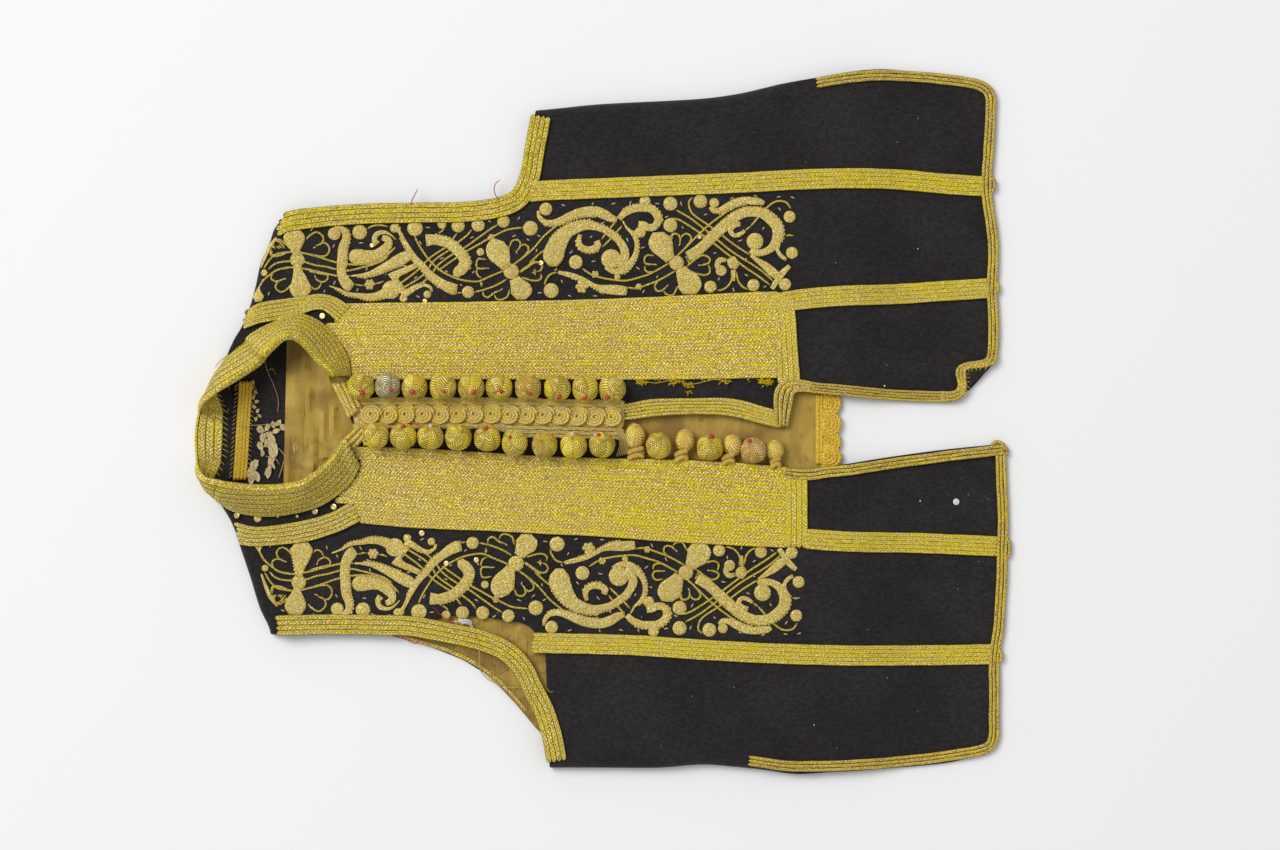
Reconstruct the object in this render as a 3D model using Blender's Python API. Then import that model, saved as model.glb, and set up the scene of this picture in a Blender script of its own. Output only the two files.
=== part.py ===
"""Folk waistcoat with a stand-up collar, lying open-necked on its back.

The neck points to -X and the hem to +X. The wearer's left front is on +Y and
laps over the right one. Tables hold millimetres, the model is in metres.
"""

import math

import bmesh
import bpy
from mathutils import Vector
from mathutils.bvhtree import BVHTree

MM = 0.001

# Middle of the garment in the tables' own frame: x, y
MIDDLE = (-1.548, -1.450)

# Thickness of the cloths and the gap kept between two pieces
CLOTH = 2.0
BACK_CLOTH = 1.5
LINING = 1.0
GAP = 0.3

# Height of the fronts' underside over the back, and where the skirts come down
FRONT_LIFT = 4.4
LIFT_ENDS = 158.0
SKIRT_LIES = 202.0
PUFF = 0.8

# The soft roll of the cloth where it turns under at a side or a shoulder
FOLD_RADIUS = 6.0
SIDE_ROLL = 3.0
SHOULDER_ROLL = 1.4
ROLL_WIDTH = 42.0
VENT_STARTS = 108.0
VENT_OPEN = 134.0

# Couched braid: base of the valleys and height of a cord over them
BRAID_BASE = 0.9
CORD_RISE = 1.1
BRAID_WIDTH = 13.0

# Collar band
COLLAR_WALL = 2.2
COLLAR_HEIGHT = 25.0
COLLAR_ROWS = 5

# Ball buttons
BALL_RADIUS = 8.1
BALL_SQUASH = 0.94
SHANK = 1.8

# Shoulder folds, from the armhole to the neck: x, y
SHOULDER_LEFT = [
    (-207, 133), (-214.5, 124), (-217.5, 115.5), (-223.5, 101.5), (-227, 86),
    (-230.5, 73.5), (-235.5, 60.5), (-241, 52.5), (-245.5, 45),
]
SHOULDER_RIGHT = [
    (-217, -140), (-218.5, -135), (-224, -123.5), (-230.5, -102.5), (-237, -83),
    (-240, -73.5), (-243.5, -65.5), (-250, -56.5),
]

# Side folds and open vent edges, from the armhole to the hem: x, y
SIDE_FOLD_LEFT = [
    (-44, 201), (-33, 202), (-2.5, 205), (23.5, 206.5), (62.5, 208.5), (88.5, 212), (114.5, 218),
    (140.5, 222.5), (160, 226), (183, 228), (225, 225), (243, 222), (255, 211),
]
SIDE_FOLD_RIGHT = [
    (-35, -227), (1, -227), (36, -227), (64.5, -225), (85.5, -226.5), (100.5, -228), (124, -231),
    (170, -229), (216, -225), (247, -220), (257, -213),
]

# Front pieces: x, y on the armhole and seam edge, x, y on the neck and front edge
FRONT_LEFT = [
    (-207, 133, -245.5, 45), (-197.5, 136.5, -236.5, 50), (-185.5, 137, -222, 58.5),
    (-174, 138, -207.5, 65), (-165, 138.5, -196.5, 67.5), (-157, 139, -184.5, 63.5),
    (-150.5, 139, -174.5, 54), (-144, 139, -167.5, 40.5), (-139, 139.5, -165.5, 24.5),
    (-133.5, 140, -165, 11), (-127, 140, -163, -3), (-113, 140.5, -142, -4),
    (-94.5, 140.5, -106.5, -4), (-77, 142.5, -77, -4), (-62, 145.5, -62, -3.5),
    (-53, 148.8, -53, -3), (-38, 149, -38, -3), (-20, 149.5, -20, -3), (12, 150.5, 12, -1.5),
    (30, 151, 30, 1.5),
    (51.5, 152, 51.5, 2.5), (73, 152.5, 73, 1.5), (94.5, 153, 94.5, -2.5), (111, 154, 111, -6),
    (118, 154.5, 119.5, -6.5), (126, 155, 124, 4), (131, 155.3, 129.5, 18.5), (141, 155.5, 141, 19),
    (170, 156, 170, 16), (205.5, 154.5, 205, 13.5), (226, 152.5, 230, 13), (255, 150.5, 255, 36.5),
]
FRONT_RIGHT = [
    (-217, -140, -250, -56.5), (-205, -140, -240, -60), (-193.5, -139.5, -227, -61),
    (-181.5, -139, -213, -61), (-170, -139, -197.5, -58.5), (-161, -139.5, -184.5, -54.5),
    (-154.5, -140, -171.5, -47), (-149, -140, -161, -36.5), (-144, -140.5, -159, -23.5),
    (-139, -140.5, -159, -13.5), (-132.5, -140.5, -158.5, -5), (-122.5, -139, -142, -5),
    (-110, -130.5, -113, -5), (-98, -128, -98, -5), (-83, -128.5, -80, -5),
    (-66.5, -130.5, -64, -5), (-50, -134, -49, -4.5), (-38, -145, -38, -4.5), (-20, -145.7, -20, -5),
    (-2.5, -146.5, -2.5, -6), (5, -147, 5, -8.5), (12, -147.3, 12, -19), (19, -147.6, 19, -25.5),
    (35, -148.3, 35, -26), (62.5, -150, 62.5, -26.5), (90, -151.5, 90, -28.5),
    (116, -152.5, 116, -31), (124, -153, 124, -33.5), (146.5, -154, 146.5, -31),
    (181.5, -154.5, 181.5, -25.5), (222, -154.2, 222, -20), (262.5, -153.5, 262.5, -16),
]

# Side pieces: x, y on the fold or vent edge, x, y on the long seam
SIDE_LEFT = [
    (-44, 201, -53, 149.6), (-33, 202, -38, 149.6), (-2.5, 205, -2.5, 150.7),
    (62.5, 208.5, 62.5, 152.6), (88.5, 212, 88.5, 153.2), (114.5, 218, 114.5, 154.5),
    (140.5, 222.5, 140.5, 155.8), (160, 226, 160, 156.2), (183, 228, 183, 156),
    (205, 227, 205, 154.9), (225, 225, 226, 152.9), (243, 222, 243, 151.6), (255, 211, 255, 150.9),
]
SIDE_RIGHT = [
    (-35, -227, -38, -146), (1, -227, 0, -147.3), (36, -227, 35, -148.8), (64.5, -225, 62.5, -150.4),
    (85.5, -226.5, 85.5, -151.6), (100.5, -228, 100, -152.3), (124, -231, 124, -153.4),
    (146, -230, 146, -154.4), (181.5, -228, 181.5, -154.9), (222, -224.5, 222, -154.6),
    (245, -220.5, 245, -154.2), (257, -213, 262.5, -153.9),
]

# Back: x, y on the left armhole and side, x, y on the right armhole and side
BACK = [
    (-203, 129, -213, -136), (-190, 133, -195, -137), (-165, 136.5, -165, -138),
    (-140, 137.5, -140, -141), (-115, 138.5, -114, -148), (-88, 139.5, -92, -157),
    (-66, 142.5, -74, -168), (-57, 149, -62, -180.5), (-52, 160, -53, -190), (-48, 178, -44, -200),
    (-43, 192, -37, -212), (-34, 196, -31, -222), (-2, 200.5, 2, -223.4), (62, 204, 62, -221),
    (88, 207.5, 88, -222.5), (114, 213, 114, -225), (140, 217, 140, -225), (157, 218, 157, -225),
]
BACK_NECK_EDGE = [
    (-203, 129), (-210.5, 122), (-214, 114), (-220, 100.5), (-223.5, 85.5), (-227, 73), (-232, 60),
    (-237.5, 51.5), (-240.5, 44), (-240, 37), (-236, 25), (-233, 8), (-232, -7), (-233, -22),
    (-236, -36), (-242, -47), (-245.5, -56), (-239.5, -66), (-236, -74), (-233, -83), (-226.5, -102),
    (-220, -121), (-215, -133), (-213, -136),
]
BACK_LINING = [
    (-205, 121, -210.5, -127), (-170, 131, -172, -133), (-130, 132, -134, -134),
    (-92, 134, -104, -140), (-66, 137, -82, -151), (-50, 147, -66, -163), (-45, 165, -55, -178),
    (-38, 185, -42, -192), (-30, 192, -30, -214), (0, 196, 0, -218), (60, 199, 60, -216),
    (100, 205, 100, -219), (140, 211, 140, -220), (150, 211, 150, -220),
]

# Lining strip under the torn right armhole: x, y outside, x, y inside
TORN_LINING = [
    (-127, -134.5, -122, -118), (-104, -137, -96, -112), (-82, -142, -74, -108),
    (-67, -148, -54, -112), (-57, -158, -38, -125), (-50, -170, -22, -142), (-43, -184, -16, -166),
]

# Collar: x, y of the seam, x, y of the upper edge, share of the full height that stands up
COLLAR = [
    (-165.5, 27, -174, 27, 0.80), (-166, 33, -176.5, 31, 0.96), (-167.5, 40.5, -184, 38, 1.0),
    (-175, 52, -190, 46, 1.0), (-185.5, 62, -195, 51, 1.0), (-197.5, 66.5, -199, 53, 1.0),
    (-207.5, 63.5, -204.5, 52.5, 1.0), (-222, 57, -213, 46, 1.0), (-234.5, 48.5, -223.5, 37, 1.0),
    (-241.5, 38.5, -233, 28.5, 1.0), (-241.5, 29, -243, 21.5, 1.0), (-238.5, 18, -253, 15, 1.0),
    (-235.5, 6, -261.5, 8, 1.0), (-234.5, -7, -264.3, -7, 1.0), (-235, -20, -264.3, -21, 1.0),
    (-237.5, -33, -262, -33.5, 1.0), (-241.5, -42, -257, -38.5, 1.0), (-243.5, -50, -246.5, -42, 1.0),
    (-239, -57.5, -232, -44, 1.0), (-228, -61, -219, -44.5, 1.0), (-213.5, -61.5, -206, -43.5, 1.0),
    (-197.5, -59, -193, -40.5, 1.0), (-183, -54.5, -181.5, -32.5, 1.0), (-171, -46.5, -174, -24.5, 1.0),
    (-161.5, -37, -169, -17.5, 0.96), (-159, -27, -165.5, -15.5, 0.80),
]

# Braids laid along a line: x, y
NECK_BRAID_LEFT = [
    (-228.5, 66.6), (-222, 67.8), (-207.5, 71.8), (-193, 73.8), (-182, 74.4), (-171.5, 72.4),
]
NECK_BRAID_RIGHT = [
    (-235.5, -75.8), (-230, -76.6), (-220.5, -76.5), (-204, -74.5), (-185.5, -71.5), (-165.8, -62.5),
]
ARMHOLE_BRAID_LEFT = [
    (-207, 127.2), (-194, 130), (-161.5, 133), (-126, 134), (-90, 134.6), (-68.5, 137.5), (-55, 143.5),
    (-48.3, 156.5), (-44.5, 176), (-40.5, 197),
]
ARMHOLE_BRAID_RIGHT = [
    (-213.5, -134.2), (-197.5, -133.8), (-171.5, -133.5), (-145.5, -134), (-126, -134.5),
    (-103, -138.5), (-80.5, -143.5), (-64, -150.5), (-53, -161), (-45.5, -176), (-38, -191),
    (-33, -207.5), (-30.2, -222.5),
]
SIDE_BRAID_LEFT = [
    (-36, 148.8), (0, 150), (37.5, 151.5), (88.5, 153.5), (125, 155.5), (160, 156.5), (192.5, 156),
    (220, 153.5), (246.5, 151.5),
]
SIDE_BRAID_RIGHT = [
    (-37, -145.6), (18.5, -147), (60, -149.7), (101.5, -152), (130, -153), (160, -153.7), (192.5, -154),
    (225, -153.8), (252, -153.2),
]
INNER_BRAID_LEFT = [
    (127, 76.8), (140.5, 79), (165, 80.4), (190, 81.3), (215, 83), (246.5, 85),
]
INNER_BRAID_RIGHT = [
    (133, -77.7), (155.5, -79.5), (177, -80.2), (205, -80.8), (230, -81.8), (254, -83),
]
END_BRAID_LEFT = [
    (118.6, 81.5), (118.7, 55), (118.8, 30), (118.5, 10), (117.8, -5.8),
]
END_BRAID_RIGHT = [
    (125, -34), (125.3, -50), (125.5, -68), (125.3, -84),
]
WAVY_BRAID_LEFT = [
    (17.5, 5), (30, 7), (40, 7.9), (51.5, 8.3), (62, 8.2), (73, 7.5), (84, 6), (95, 3.6), (109.6, 0.8),
]
HEM_BRAID_LEFT = [
    (138, 218.5), (160, 222), (183, 223.8), (208, 222.8), (228, 220.6), (241, 217.8), (248.3, 212),
    (250.8, 203), (251, 180), (250.8, 140), (250.9, 100), (251, 70), (251, 40.5),
]
HEM_BRAID_RIGHT = [
    (94, -221.6), (124, -225.6), (170, -224.6), (205, -222), (232, -218.2), (246, -214.8),
    (253.3, -208), (256.3, -198), (257, -180), (257.6, -150), (258.2, -110), (258.4, -70), (258.3, -25),
]
FRONT_EDGE_BRAID_LEFT = [
    (134, 23), (153.5, 21.6), (175, 19.5), (193.5, 18), (212, 17.4), (227.5, 17.2),
]
FRONT_EDGE_BRAID_RIGHT = [
    (134, -37), (160, -33.5), (181.5, -30), (205, -26.7), (232, -23.2), (262, -19.8),
]
BACK_ARMHOLE_BRAID = [
    (-138, -138), (-128.5, -141), (-114, -145.4), (-96.5, -151.6), (-80.5, -160), (-70, -167.4),
    (-59, -178.6), (-49, -190),
]
NECK_CORDS = [
    (-167, 22), (-165.5, 14), (-164, 5), (-162, -4), (-160.2, -13),
]

# Breast panels of twelve braid rows: x, y above, x, y below
BREAST_LEFT = [
    (-167.8, 75, -164.5, 25.5), (-145, 75.4, -143, 25.6), (-120, 75.6, -119, 25.7), (-88, 76, -88, 25.8),
    (-54.5, 76.6, -54.5, 25.8), (-15, 77.5, -15, 25.7), (25.5, 79, 25.5, 25.7), (68, 81, 68, 26.1),
    (111.3, 82.5, 111.3, 26.8),
]
BREAST_RIGHT = [
    (-158.6, -20, -159.2, -67.5), (-132, -21, -132.5, -70), (-105.5, -22.3, -105.5, -71.5),
    (-77, -23.6, -77.5, -72.5), (-40, -25.2, -40, -74.5), (-2.5, -26.8, -2.5, -76.3),
    (40, -27.6, 40, -79.5), (80, -29.4, 80, -81.8), (117.7, -33, 117.7, -83.5),
]

# Ball buttons: x, y of the centre
BUTTONS_LEFT = [
    (-157, 20.4), (-139.2, 20.8), (-121.8, 20.6), (-103.8, 20.4), (-85.5, 20.6), (-67.5, 20.5),
    (-48.8, 20.2), (-29.8, 19.8), (-11.7, 19.8), (5.5, 19.2),
]
BUTTONS_RIGHT = [
    (-147, -10.7), (-129, -11.2), (-111.5, -11.2), (-93.8, -11.8), (-75, -12.5), (-57.4, -15.3),
    (-38, -16.8), (-19.2, -17), (-0.8, -16.6),
]
BUTTONS_EDGE = [(36.2, -17.2), (68.6, -18), (97.6, -19.4)]
KNOTS_EDGE = [(21, -11.5), (52.6, -14.8), (83, -17.2), (111.7, -20.2)]

# Placket of the left front: start, end and centre line of the coils
PLACKET_START = -157.2
PLACKET_END = 15.0
COILS_FIRST = -151.5
COILS_LAST = 5.5
COIL_COUNT = 15
COIL_RADIUS = 5.3
PLACKET_LINE = [(-158, 3.1), (-120, 3.3), (-80, 3.3), (-40, 2.6), (0, 1.6), (17, 1)]

# Couched scroll work of the left front: half width at the start and the end, x, y of the line
SCROLLS = [
    (1.5, 1.5, [
        (-219.5, 88), (-213, 98), (-199, 103.5), (-178, 99.5),
        (-157, 98), (-142, 104), (-129, 112.5),
    ]),
    (1.5, 2.2, [(-174, 121.5), (-169.5, 125), (-167.5, 116.5), (-170, 99.5), (-165, 88.5)]),
    (1.8, 2.0, [(-160, 102.5), (-150.5, 104.5), (-142.5, 110), (-142, 116.5), (-147, 118.5)]),
    (1.8, 2.8, [(-136, 122.5), (-125, 108.5), (-112, 94), (-98.5, 84.5)]),
    (1.8, 1.4, [(-138, 86), (-116.5, 99.5), (-93.5, 112.5), (-65.5, 125.5)]),
    (2.2, 3.0, [(-114, 117.5), (-102.5, 117), (-92.5, 107), (-95, 95)]),
    (1.5, 1.5, [
        (-100, 85), (-88, 83), (-74, 88), (-61, 97),
        (-44.5, 107), (-31, 116.5), (-18.5, 128), (-7.5, 135),
    ]),
    (1.6, 1.8, [
        (-37.5, 136), (-41.5, 130.5), (-33.5, 127.5), (-22, 134),
        (-7, 136), (9, 130), (20.5, 134.5),
    ]),
    (1.8, 1.8, [(19.5, 134.4), (31.5, 134.5), (35.5, 128), (30, 123.5), (24.5, 123)]),
    (3.2, 2.2, [
        (-31.5, 108.5), (-17, 122), (-4, 125.5), (10, 117.5),
        (15.5, 106), (8, 97), (1, 102),
    ]),
    (1.4, 1.6, [
        (-32, 106), (-22, 94), (-2.5, 86.5), (16, 84),
        (31.5, 88.5), (48, 101.5), (62.5, 111), (83.5, 128),
    ]),
    (2.4, 2.6, [
        (57.5, 106), (85, 128.5), (98.5, 135), (111, 128),
        (114.5, 117), (107.5, 109), (98.5, 112.5),
    ]),
    (1.5, 1.8, [(43, 139), (62.5, 123.5), (85.5, 108.5), (116.5, 89.5)]),
    (1.6, 1.6, [(72, 140), (73, 135), (84, 137), (95, 140.5), (104.5, 138.5), (109, 130.5)]),
    (1.5, 1.2, [(90, 106), (87, 98), (82, 90.5), (70.5, 86.5)]),
    (5.2, 2.2, [(-201, 115), (-199, 103.5)]),
    (5.2, 2.2, [(-197.5, 89), (-199, 103.5)]),
    (5.4, 2.2, [(-68, 109), (-60.5, 97)]),
    (5.2, 2.2, [(-53.5, 85.5), (-60.5, 97)]),
    (5.4, 2.2, [(36.5, 113), (47, 101.5)]),
    (5.4, 2.2, [(55, 90.5), (47, 101.5)]),
]

# Padded discs and palmette lobes of the same work: x, y, radius
SCROLL_DISCS = [
    (-201, 115, 6.6), (-197.5, 89, 6.6), (-199, 103.5, 4.2), (-68, 109, 7.0), (-53.5, 85.5, 6.6),
    (36.5, 113, 7.2), (55, 90.5, 7.0), (-174, 121.3, 3.8), (-160, 103.5, 4.6), (-65.5, 125.2, 3.8),
    (-88, 83, 3.6), (-37.5, 136, 3.8), (-31.5, 108, 6.0), (2.5, 102, 4.2), (43, 139, 3.8),
    (98.5, 113, 3.6), (116, 90, 3.4), (70.5, 86.5, 3.6),
]
SCROLL_HEIGHT = 1.9
DISC_HEIGHT = 1.5
SCROLL_STEP = 14.0

# Materials: base colour, roughness, metallic
MATERIALS = {
    "black_wool": ((0.022, 0.020, 0.021), 0.92, 0.0),
    "gold_braid": ((0.50, 0.37, 0.085), 0.55, 0.45),
    "gold_button": ((0.52, 0.40, 0.12), 0.50, 0.45),
    "tan_lining": ((0.30, 0.20, 0.045), 0.85, 0.0),
    "amber_trim": ((0.55, 0.35, 0.06), 0.60, 0.25),
}


def blend(a, b, share):
    """A value between a and b."""
    return a + (b - a) * share


def ease(share):
    """Goes smoothly from 0 to 1, and stays there outside."""
    share = min(1.0, max(0.0, share))
    return share * share * (3 - 2 * share)


def curve_rows(table, count):
    """Rows spread evenly along a smooth curve through the rows of a table."""
    at = [0.0]
    for first, second in zip(table, table[1:]):
        step = math.dist(first[:2], second[:2])
        if len(first) >= 4:
            step += math.dist(first[2:4], second[2:4])
        at.append(at[-1] + step)
    slopes = []
    for i in range(len(table)):
        low = max(0, i - 1)
        high = min(len(table) - 1, i + 1)
        span = at[high] - at[low]
        slopes.append([(q - p) / span for p, q in zip(table[low], table[high])])
    rows = []
    for k in range(count):
        where = at[-1] * k / (count - 1)
        i = max(j for j in range(len(table) - 1) if at[j] <= where + 1e-9)
        step = at[i + 1] - at[i]
        t = (where - at[i]) / step
        row = []
        for p, q, m, n in zip(table[i], table[i + 1], slopes[i], slopes[i + 1]):
            value = (2 * t**3 - 3 * t**2 + 1) * p + (t**3 - 2 * t**2 + t) * step * m
            value += (3 * t**2 - 2 * t**3) * q + (t**3 - t**2) * step * n
            row.append(value)
        rows.append(row)
    return rows


def value_at(table, x):
    """The second column of a table at x, straight between its rows."""
    if x <= table[0][0]:
        return table[0][1]
    for (x0, y0), (x1, y1) in zip(table, table[1:]):
        if x <= x1:
            return blend(y0, y1, (x - x0) / (x1 - x0))
    return table[-1][1]


def distance_to(table, x, y):
    """Distance from a point to the line through the rows of a table."""
    best = 1e9
    for (x0, y0), (x1, y1) in zip(table, table[1:]):
        span = (x1 - x0) ** 2 + (y1 - y0) ** 2
        share = ((x - x0) * (x1 - x0) + (y - y0) * (y1 - y0)) / span
        share = min(1.0, max(0.0, share))
        best = min(best, math.dist((x, y), (blend(x0, x1, share), blend(y0, y1, share))))
    return best


def lift(x):
    """Height of the fronts' underside, before the soft form is added."""
    return FRONT_LIFT * (1 - ease((x - LIFT_ENDS) / (SKIRT_LIES - LIFT_ENDS)))


def puff(x, y):
    """The slight billows of the thick cloth where it lies on the back."""
    wave = math.sin(x / 37 + 0.6) * math.cos(y / 31 + 0.4)
    return PUFF * (1 + wave) * lift(x) / FRONT_LIFT


def rolled(top, distance, roll, radius):
    """Top height near a fold: a low roll first, then the turn down."""
    if distance < ROLL_WIDTH:
        top += roll * ease(1 - max(0.0, distance - radius) / (ROLL_WIDTH - radius))
    if distance < radius:
        top += math.sqrt(radius**2 - (radius - max(0.0, distance)) ** 2) - radius
    return top


def fold_share(x):
    """1 where the side is folded under, 0 where the vent lies open."""
    return 1 - ease((x - VENT_STARTS) / (VENT_OPEN - VENT_STARTS))


def plain_top(x, y):
    """Top height of the fronts and sides away from any fold."""
    return lift(x) + puff(x, y) + CLOTH


def cloth_top(x, y):
    """Top height of the fronts and sides with their folds."""
    top = plain_top(x, y)
    if y > 0:
        side = value_at(SIDE_FOLD_LEFT, x) - y
        shoulder = distance_to(SHOULDER_LEFT, x, y)
    else:
        side = y - value_at(SIDE_FOLD_RIGHT, x)
        shoulder = distance_to(SHOULDER_RIGHT, x, y)
    if x > -70 and side < ROLL_WIDTH:
        top = blend(top, rolled(top, side, SIDE_ROLL, FOLD_RADIUS), fold_share(x))
    if x < -150:
        top = rolled(top, shoulder, SHOULDER_ROLL, FOLD_RADIUS)
    return top


def add_object(name, form, material, place=(0, 0, 0), group=None):
    """Makes one object of a finished bmesh in millimetres, in the waistcoat's collection or another."""
    bmesh.ops.recalc_face_normals(form, faces=form.faces)
    bmesh.ops.scale(form, vec=(MM, MM, MM), verts=form.verts)
    mesh = bpy.data.meshes.new(name)
    form.to_mesh(mesh)
    form.free()
    mesh.materials.append(materials[material])
    obj = bpy.data.objects.new(name, mesh)
    obj.location = Vector(place) * MM
    if group is None:
        obj.parent = frame
    (group or collection).objects.link(obj)
    return obj


def wall(name, bottom, top, material):
    """A sheet of cloth: a grid thickened into a wall, then laid on two sets of points.

    bottom and top are rows of points, all rows with the same count.
    """
    rows = len(top)
    columns = len(top[0])
    form = bmesh.new()
    bmesh.ops.create_grid(form, x_segments=columns - 1, y_segments=rows - 1, size=0.5)
    index = {}
    for vert in form.verts:
        i = round((vert.co.y + 0.5) * (rows - 1))
        j = round((vert.co.x + 0.5) * (columns - 1))
        index[vert] = (i, j)
    made = bmesh.ops.extrude_face_region(form, geom=form.faces[:])
    for vert in [item for item in made["geom"] if isinstance(item, bmesh.types.BMVert)]:
        i = round((vert.co.y + 0.5) * (rows - 1))
        j = round((vert.co.x + 0.5) * (columns - 1))
        vert.co = top[i][j]
    for vert, (i, j) in index.items():
        vert.co = bottom[i][j]
    return add_object(name, form, material)


def sweep(name, loops, material, group=None):
    """A strip of one cross-section after another, closed by its two end faces."""
    form = bmesh.new()
    made = bmesh.ops.create_circle(form, cap_ends=True, segments=len(loops[0]), radius=1)
    ring = made["verts"]
    for vert, point in zip(ring, loops[0]):
        vert.co = point
    face = form.faces[:][0]
    for count, points in enumerate(loops[1:]):
        last = face
        made = bmesh.ops.extrude_face_region(form, geom=[last])
        face = next(item for item in made["geom"] if isinstance(item, bmesh.types.BMFace))
        if count:
            form.faces.remove(last)
        fresh = [min(face.verts, key=lambda vert: (vert.co - old.co).length) for old in ring]
        for vert, point in zip(fresh, points):
            vert.co = point
        ring = fresh
    return add_object(name, form, material, group=group)


def edge_pairs(line, width, count):
    """Left and right edge points of a strip of one width along a line."""
    rows = curve_rows(line, count)
    pairs = []
    for k, (x, y) in enumerate(rows):
        x0, y0 = rows[max(0, k - 1)]
        x1, y1 = rows[min(count - 1, k + 1)]
        length = math.dist((x0, y0), (x1, y1))
        across = (-(y1 - y0) / length * width / 2, (x1 - x0) / length * width / 2)
        pairs.append((x + across[0], y + across[1], x - across[0], y - across[1]))
    return pairs


def surface(x, y):
    """Height of the laid cloth at a point, or of its smooth form beside it."""
    hit = laid.ray_cast(Vector((x, y, 90)), Vector((0, 0, -1)))[0]
    return max(hit.z, cloth_top(x, y) - 0.4) if hit else cloth_top(x, y)


def settled(rows, level):
    """Underside heights of a grid of points, raised wherever the cloth would cut it."""
    heights = [[level(x, y) + GAP for x, y in row] for row in rows]
    for _ in range(4):
        for i in range(len(rows)):
            for j in range(len(rows[0])):
                for step_i, step_j in ((0, 1), (1, 0), (1, 1), (1, -1)):
                    m, n = i + step_i, j + step_j
                    if m >= len(rows) or not 0 <= n < len(rows[0]):
                        continue
                    for share in (0.17, 0.33, 0.5, 0.67, 0.83):
                        x = blend(rows[i][j][0], rows[m][n][0], share)
                        y = blend(rows[i][j][1], rows[m][n][1], share)
                        short = level(x, y) + GAP * 0.85 - blend(heights[i][j], heights[m][n], share)
                        if short > 0:
                            heights[i][j] += short
                            heights[m][n] += short
    return heights


def ribbed(name, pairs, cords, under=1, rise=CORD_RISE, base=BRAID_BASE, level=surface):
    """A flat braid: cords as ribs of the outer points over a plain underside."""
    rows = []
    for x0, y0, x1, y1 in pairs:
        rows.append([(blend(x0, x1, k / under), blend(y0, y1, k / under)) for k in range(under + 1)])
    loops = []
    for row, heights in zip(rows, settled(rows, level)):
        loop = [(x, y, z) for (x, y), z in zip(row, heights)]
        table = [(k / under, z) for k, z in enumerate(heights)]
        for k in range(2 * cords, -1, -1):
            share = k / (2 * cords)
            x = blend(row[0][0], row[-1][0], share)
            y = blend(row[0][1], row[-1][1], share)
            ridge = rise if k % 2 else 0.0
            loop.append((x, y, value_at(table, share) + base + ridge))
        loops.append(loop)
    return sweep(name, loops, "gold_braid")


def fold_points(edge, inward, top_at, roll, share):
    """Outer and inner points of a wall that turns down at an edge.

    edge is the outermost point, inward the unit direction into the panel.
    share is 1 for a full fold and 0 for a flat open edge.
    """
    radius = FOLD_RADIUS
    inner = radius - CLOTH
    outside = []
    inside = []
    for turn in (None, 0, 28, 58, 90):
        angle = math.radians(turn or 0)
        out_step = radius - radius * math.cos(angle)
        in_step = radius - inner * math.cos(angle)
        ox, oy = edge[0] + inward[0] * out_step, edge[1] + inward[1] * out_step
        level = top_at(ox, oy)
        full = level + roll
        if turn is None:
            folded = (0.0, 0.2, CLOTH, 0.2)
            flat = (0.0, level - 1.4, 0.0, level - CLOTH)
        elif turn == 0:
            folded = (0.0, full - radius, CLOTH, full - radius)
            flat = (0.1, level - 0.4, 0.5, level - CLOTH)
        else:
            lowered = full - radius
            outer_z = lowered + radius * math.sin(angle)
            folded = (out_step, outer_z, in_step, lowered + inner * math.sin(angle))
            flat = (out_step, level, out_step + 0.1, level - CLOTH)
        step, height, in_at, in_height = (blend(a, b, share) for a, b in zip(flat, folded))
        outside.append((edge[0] + inward[0] * step, edge[1] + inward[1] * step, height))
        inside.append((edge[0] + inward[0] * in_at, edge[1] + inward[1] * in_at, in_height))
    return outside, inside


def unit(first, second):
    """Unit direction from the first point to the second."""
    length = math.dist(first[:2], second[:2])
    return ((second[0] - first[0]) / length, (second[1] - first[1]) / length)


def front_panel(name, table, shoulder, count, columns):
    """A front, with its shoulder edge turned down to the back."""
    rows = curve_rows(table, count)
    shoulder_rows = curve_rows(shoulder, columns)
    top = [[] for _ in range(4 + count)]
    bottom = [[] for _ in range(4 + count)]
    for j in range(columns):
        share = j / (columns - 1)
        line = []
        for x0, y0, x1, y1 in rows:
            line.append((blend(x0, x1, share), blend(y0, y1, share)))
        edge = shoulder_rows[j]
        inward = unit(edge, line[1])
        outside, inside = fold_points(edge, inward, plain_top, SHOULDER_ROLL, 1.0)
        for k in range(5):
            top[k].append(outside[k])
            bottom[k].append(inside[k])
        for k in range(1, count):
            x, y = line[k]
            height = cloth_top(x, y)
            top[4 + k].append((x, y, height))
            bottom[4 + k].append((x, y, height - CLOTH))
    return wall(name, bottom, top, "black_wool")


def side_panel(name, table, count):
    """A side, turned down along its fold and flat along its vent."""
    top = []
    bottom = []
    for x0, y0, x1, y1 in curve_rows(table, count):
        edge = (x0, y0)
        inward = unit(edge, (x1, y1))
        length = math.dist(edge, (x1, y1))
        outside, inside = fold_points(edge, inward, plain_top, SIDE_ROLL, fold_share(x0))
        for step in (12.0, 20.0, 31.0, length):
            x = x0 + inward[0] * step
            y = y0 + inward[1] * step
            height = cloth_top(x, y)
            outside.append((x, y, height))
            inside.append((x, y, height - CLOTH))
        top.append(outside)
        bottom.append(inside)
    return wall(name, bottom, top, "black_wool")


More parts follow.
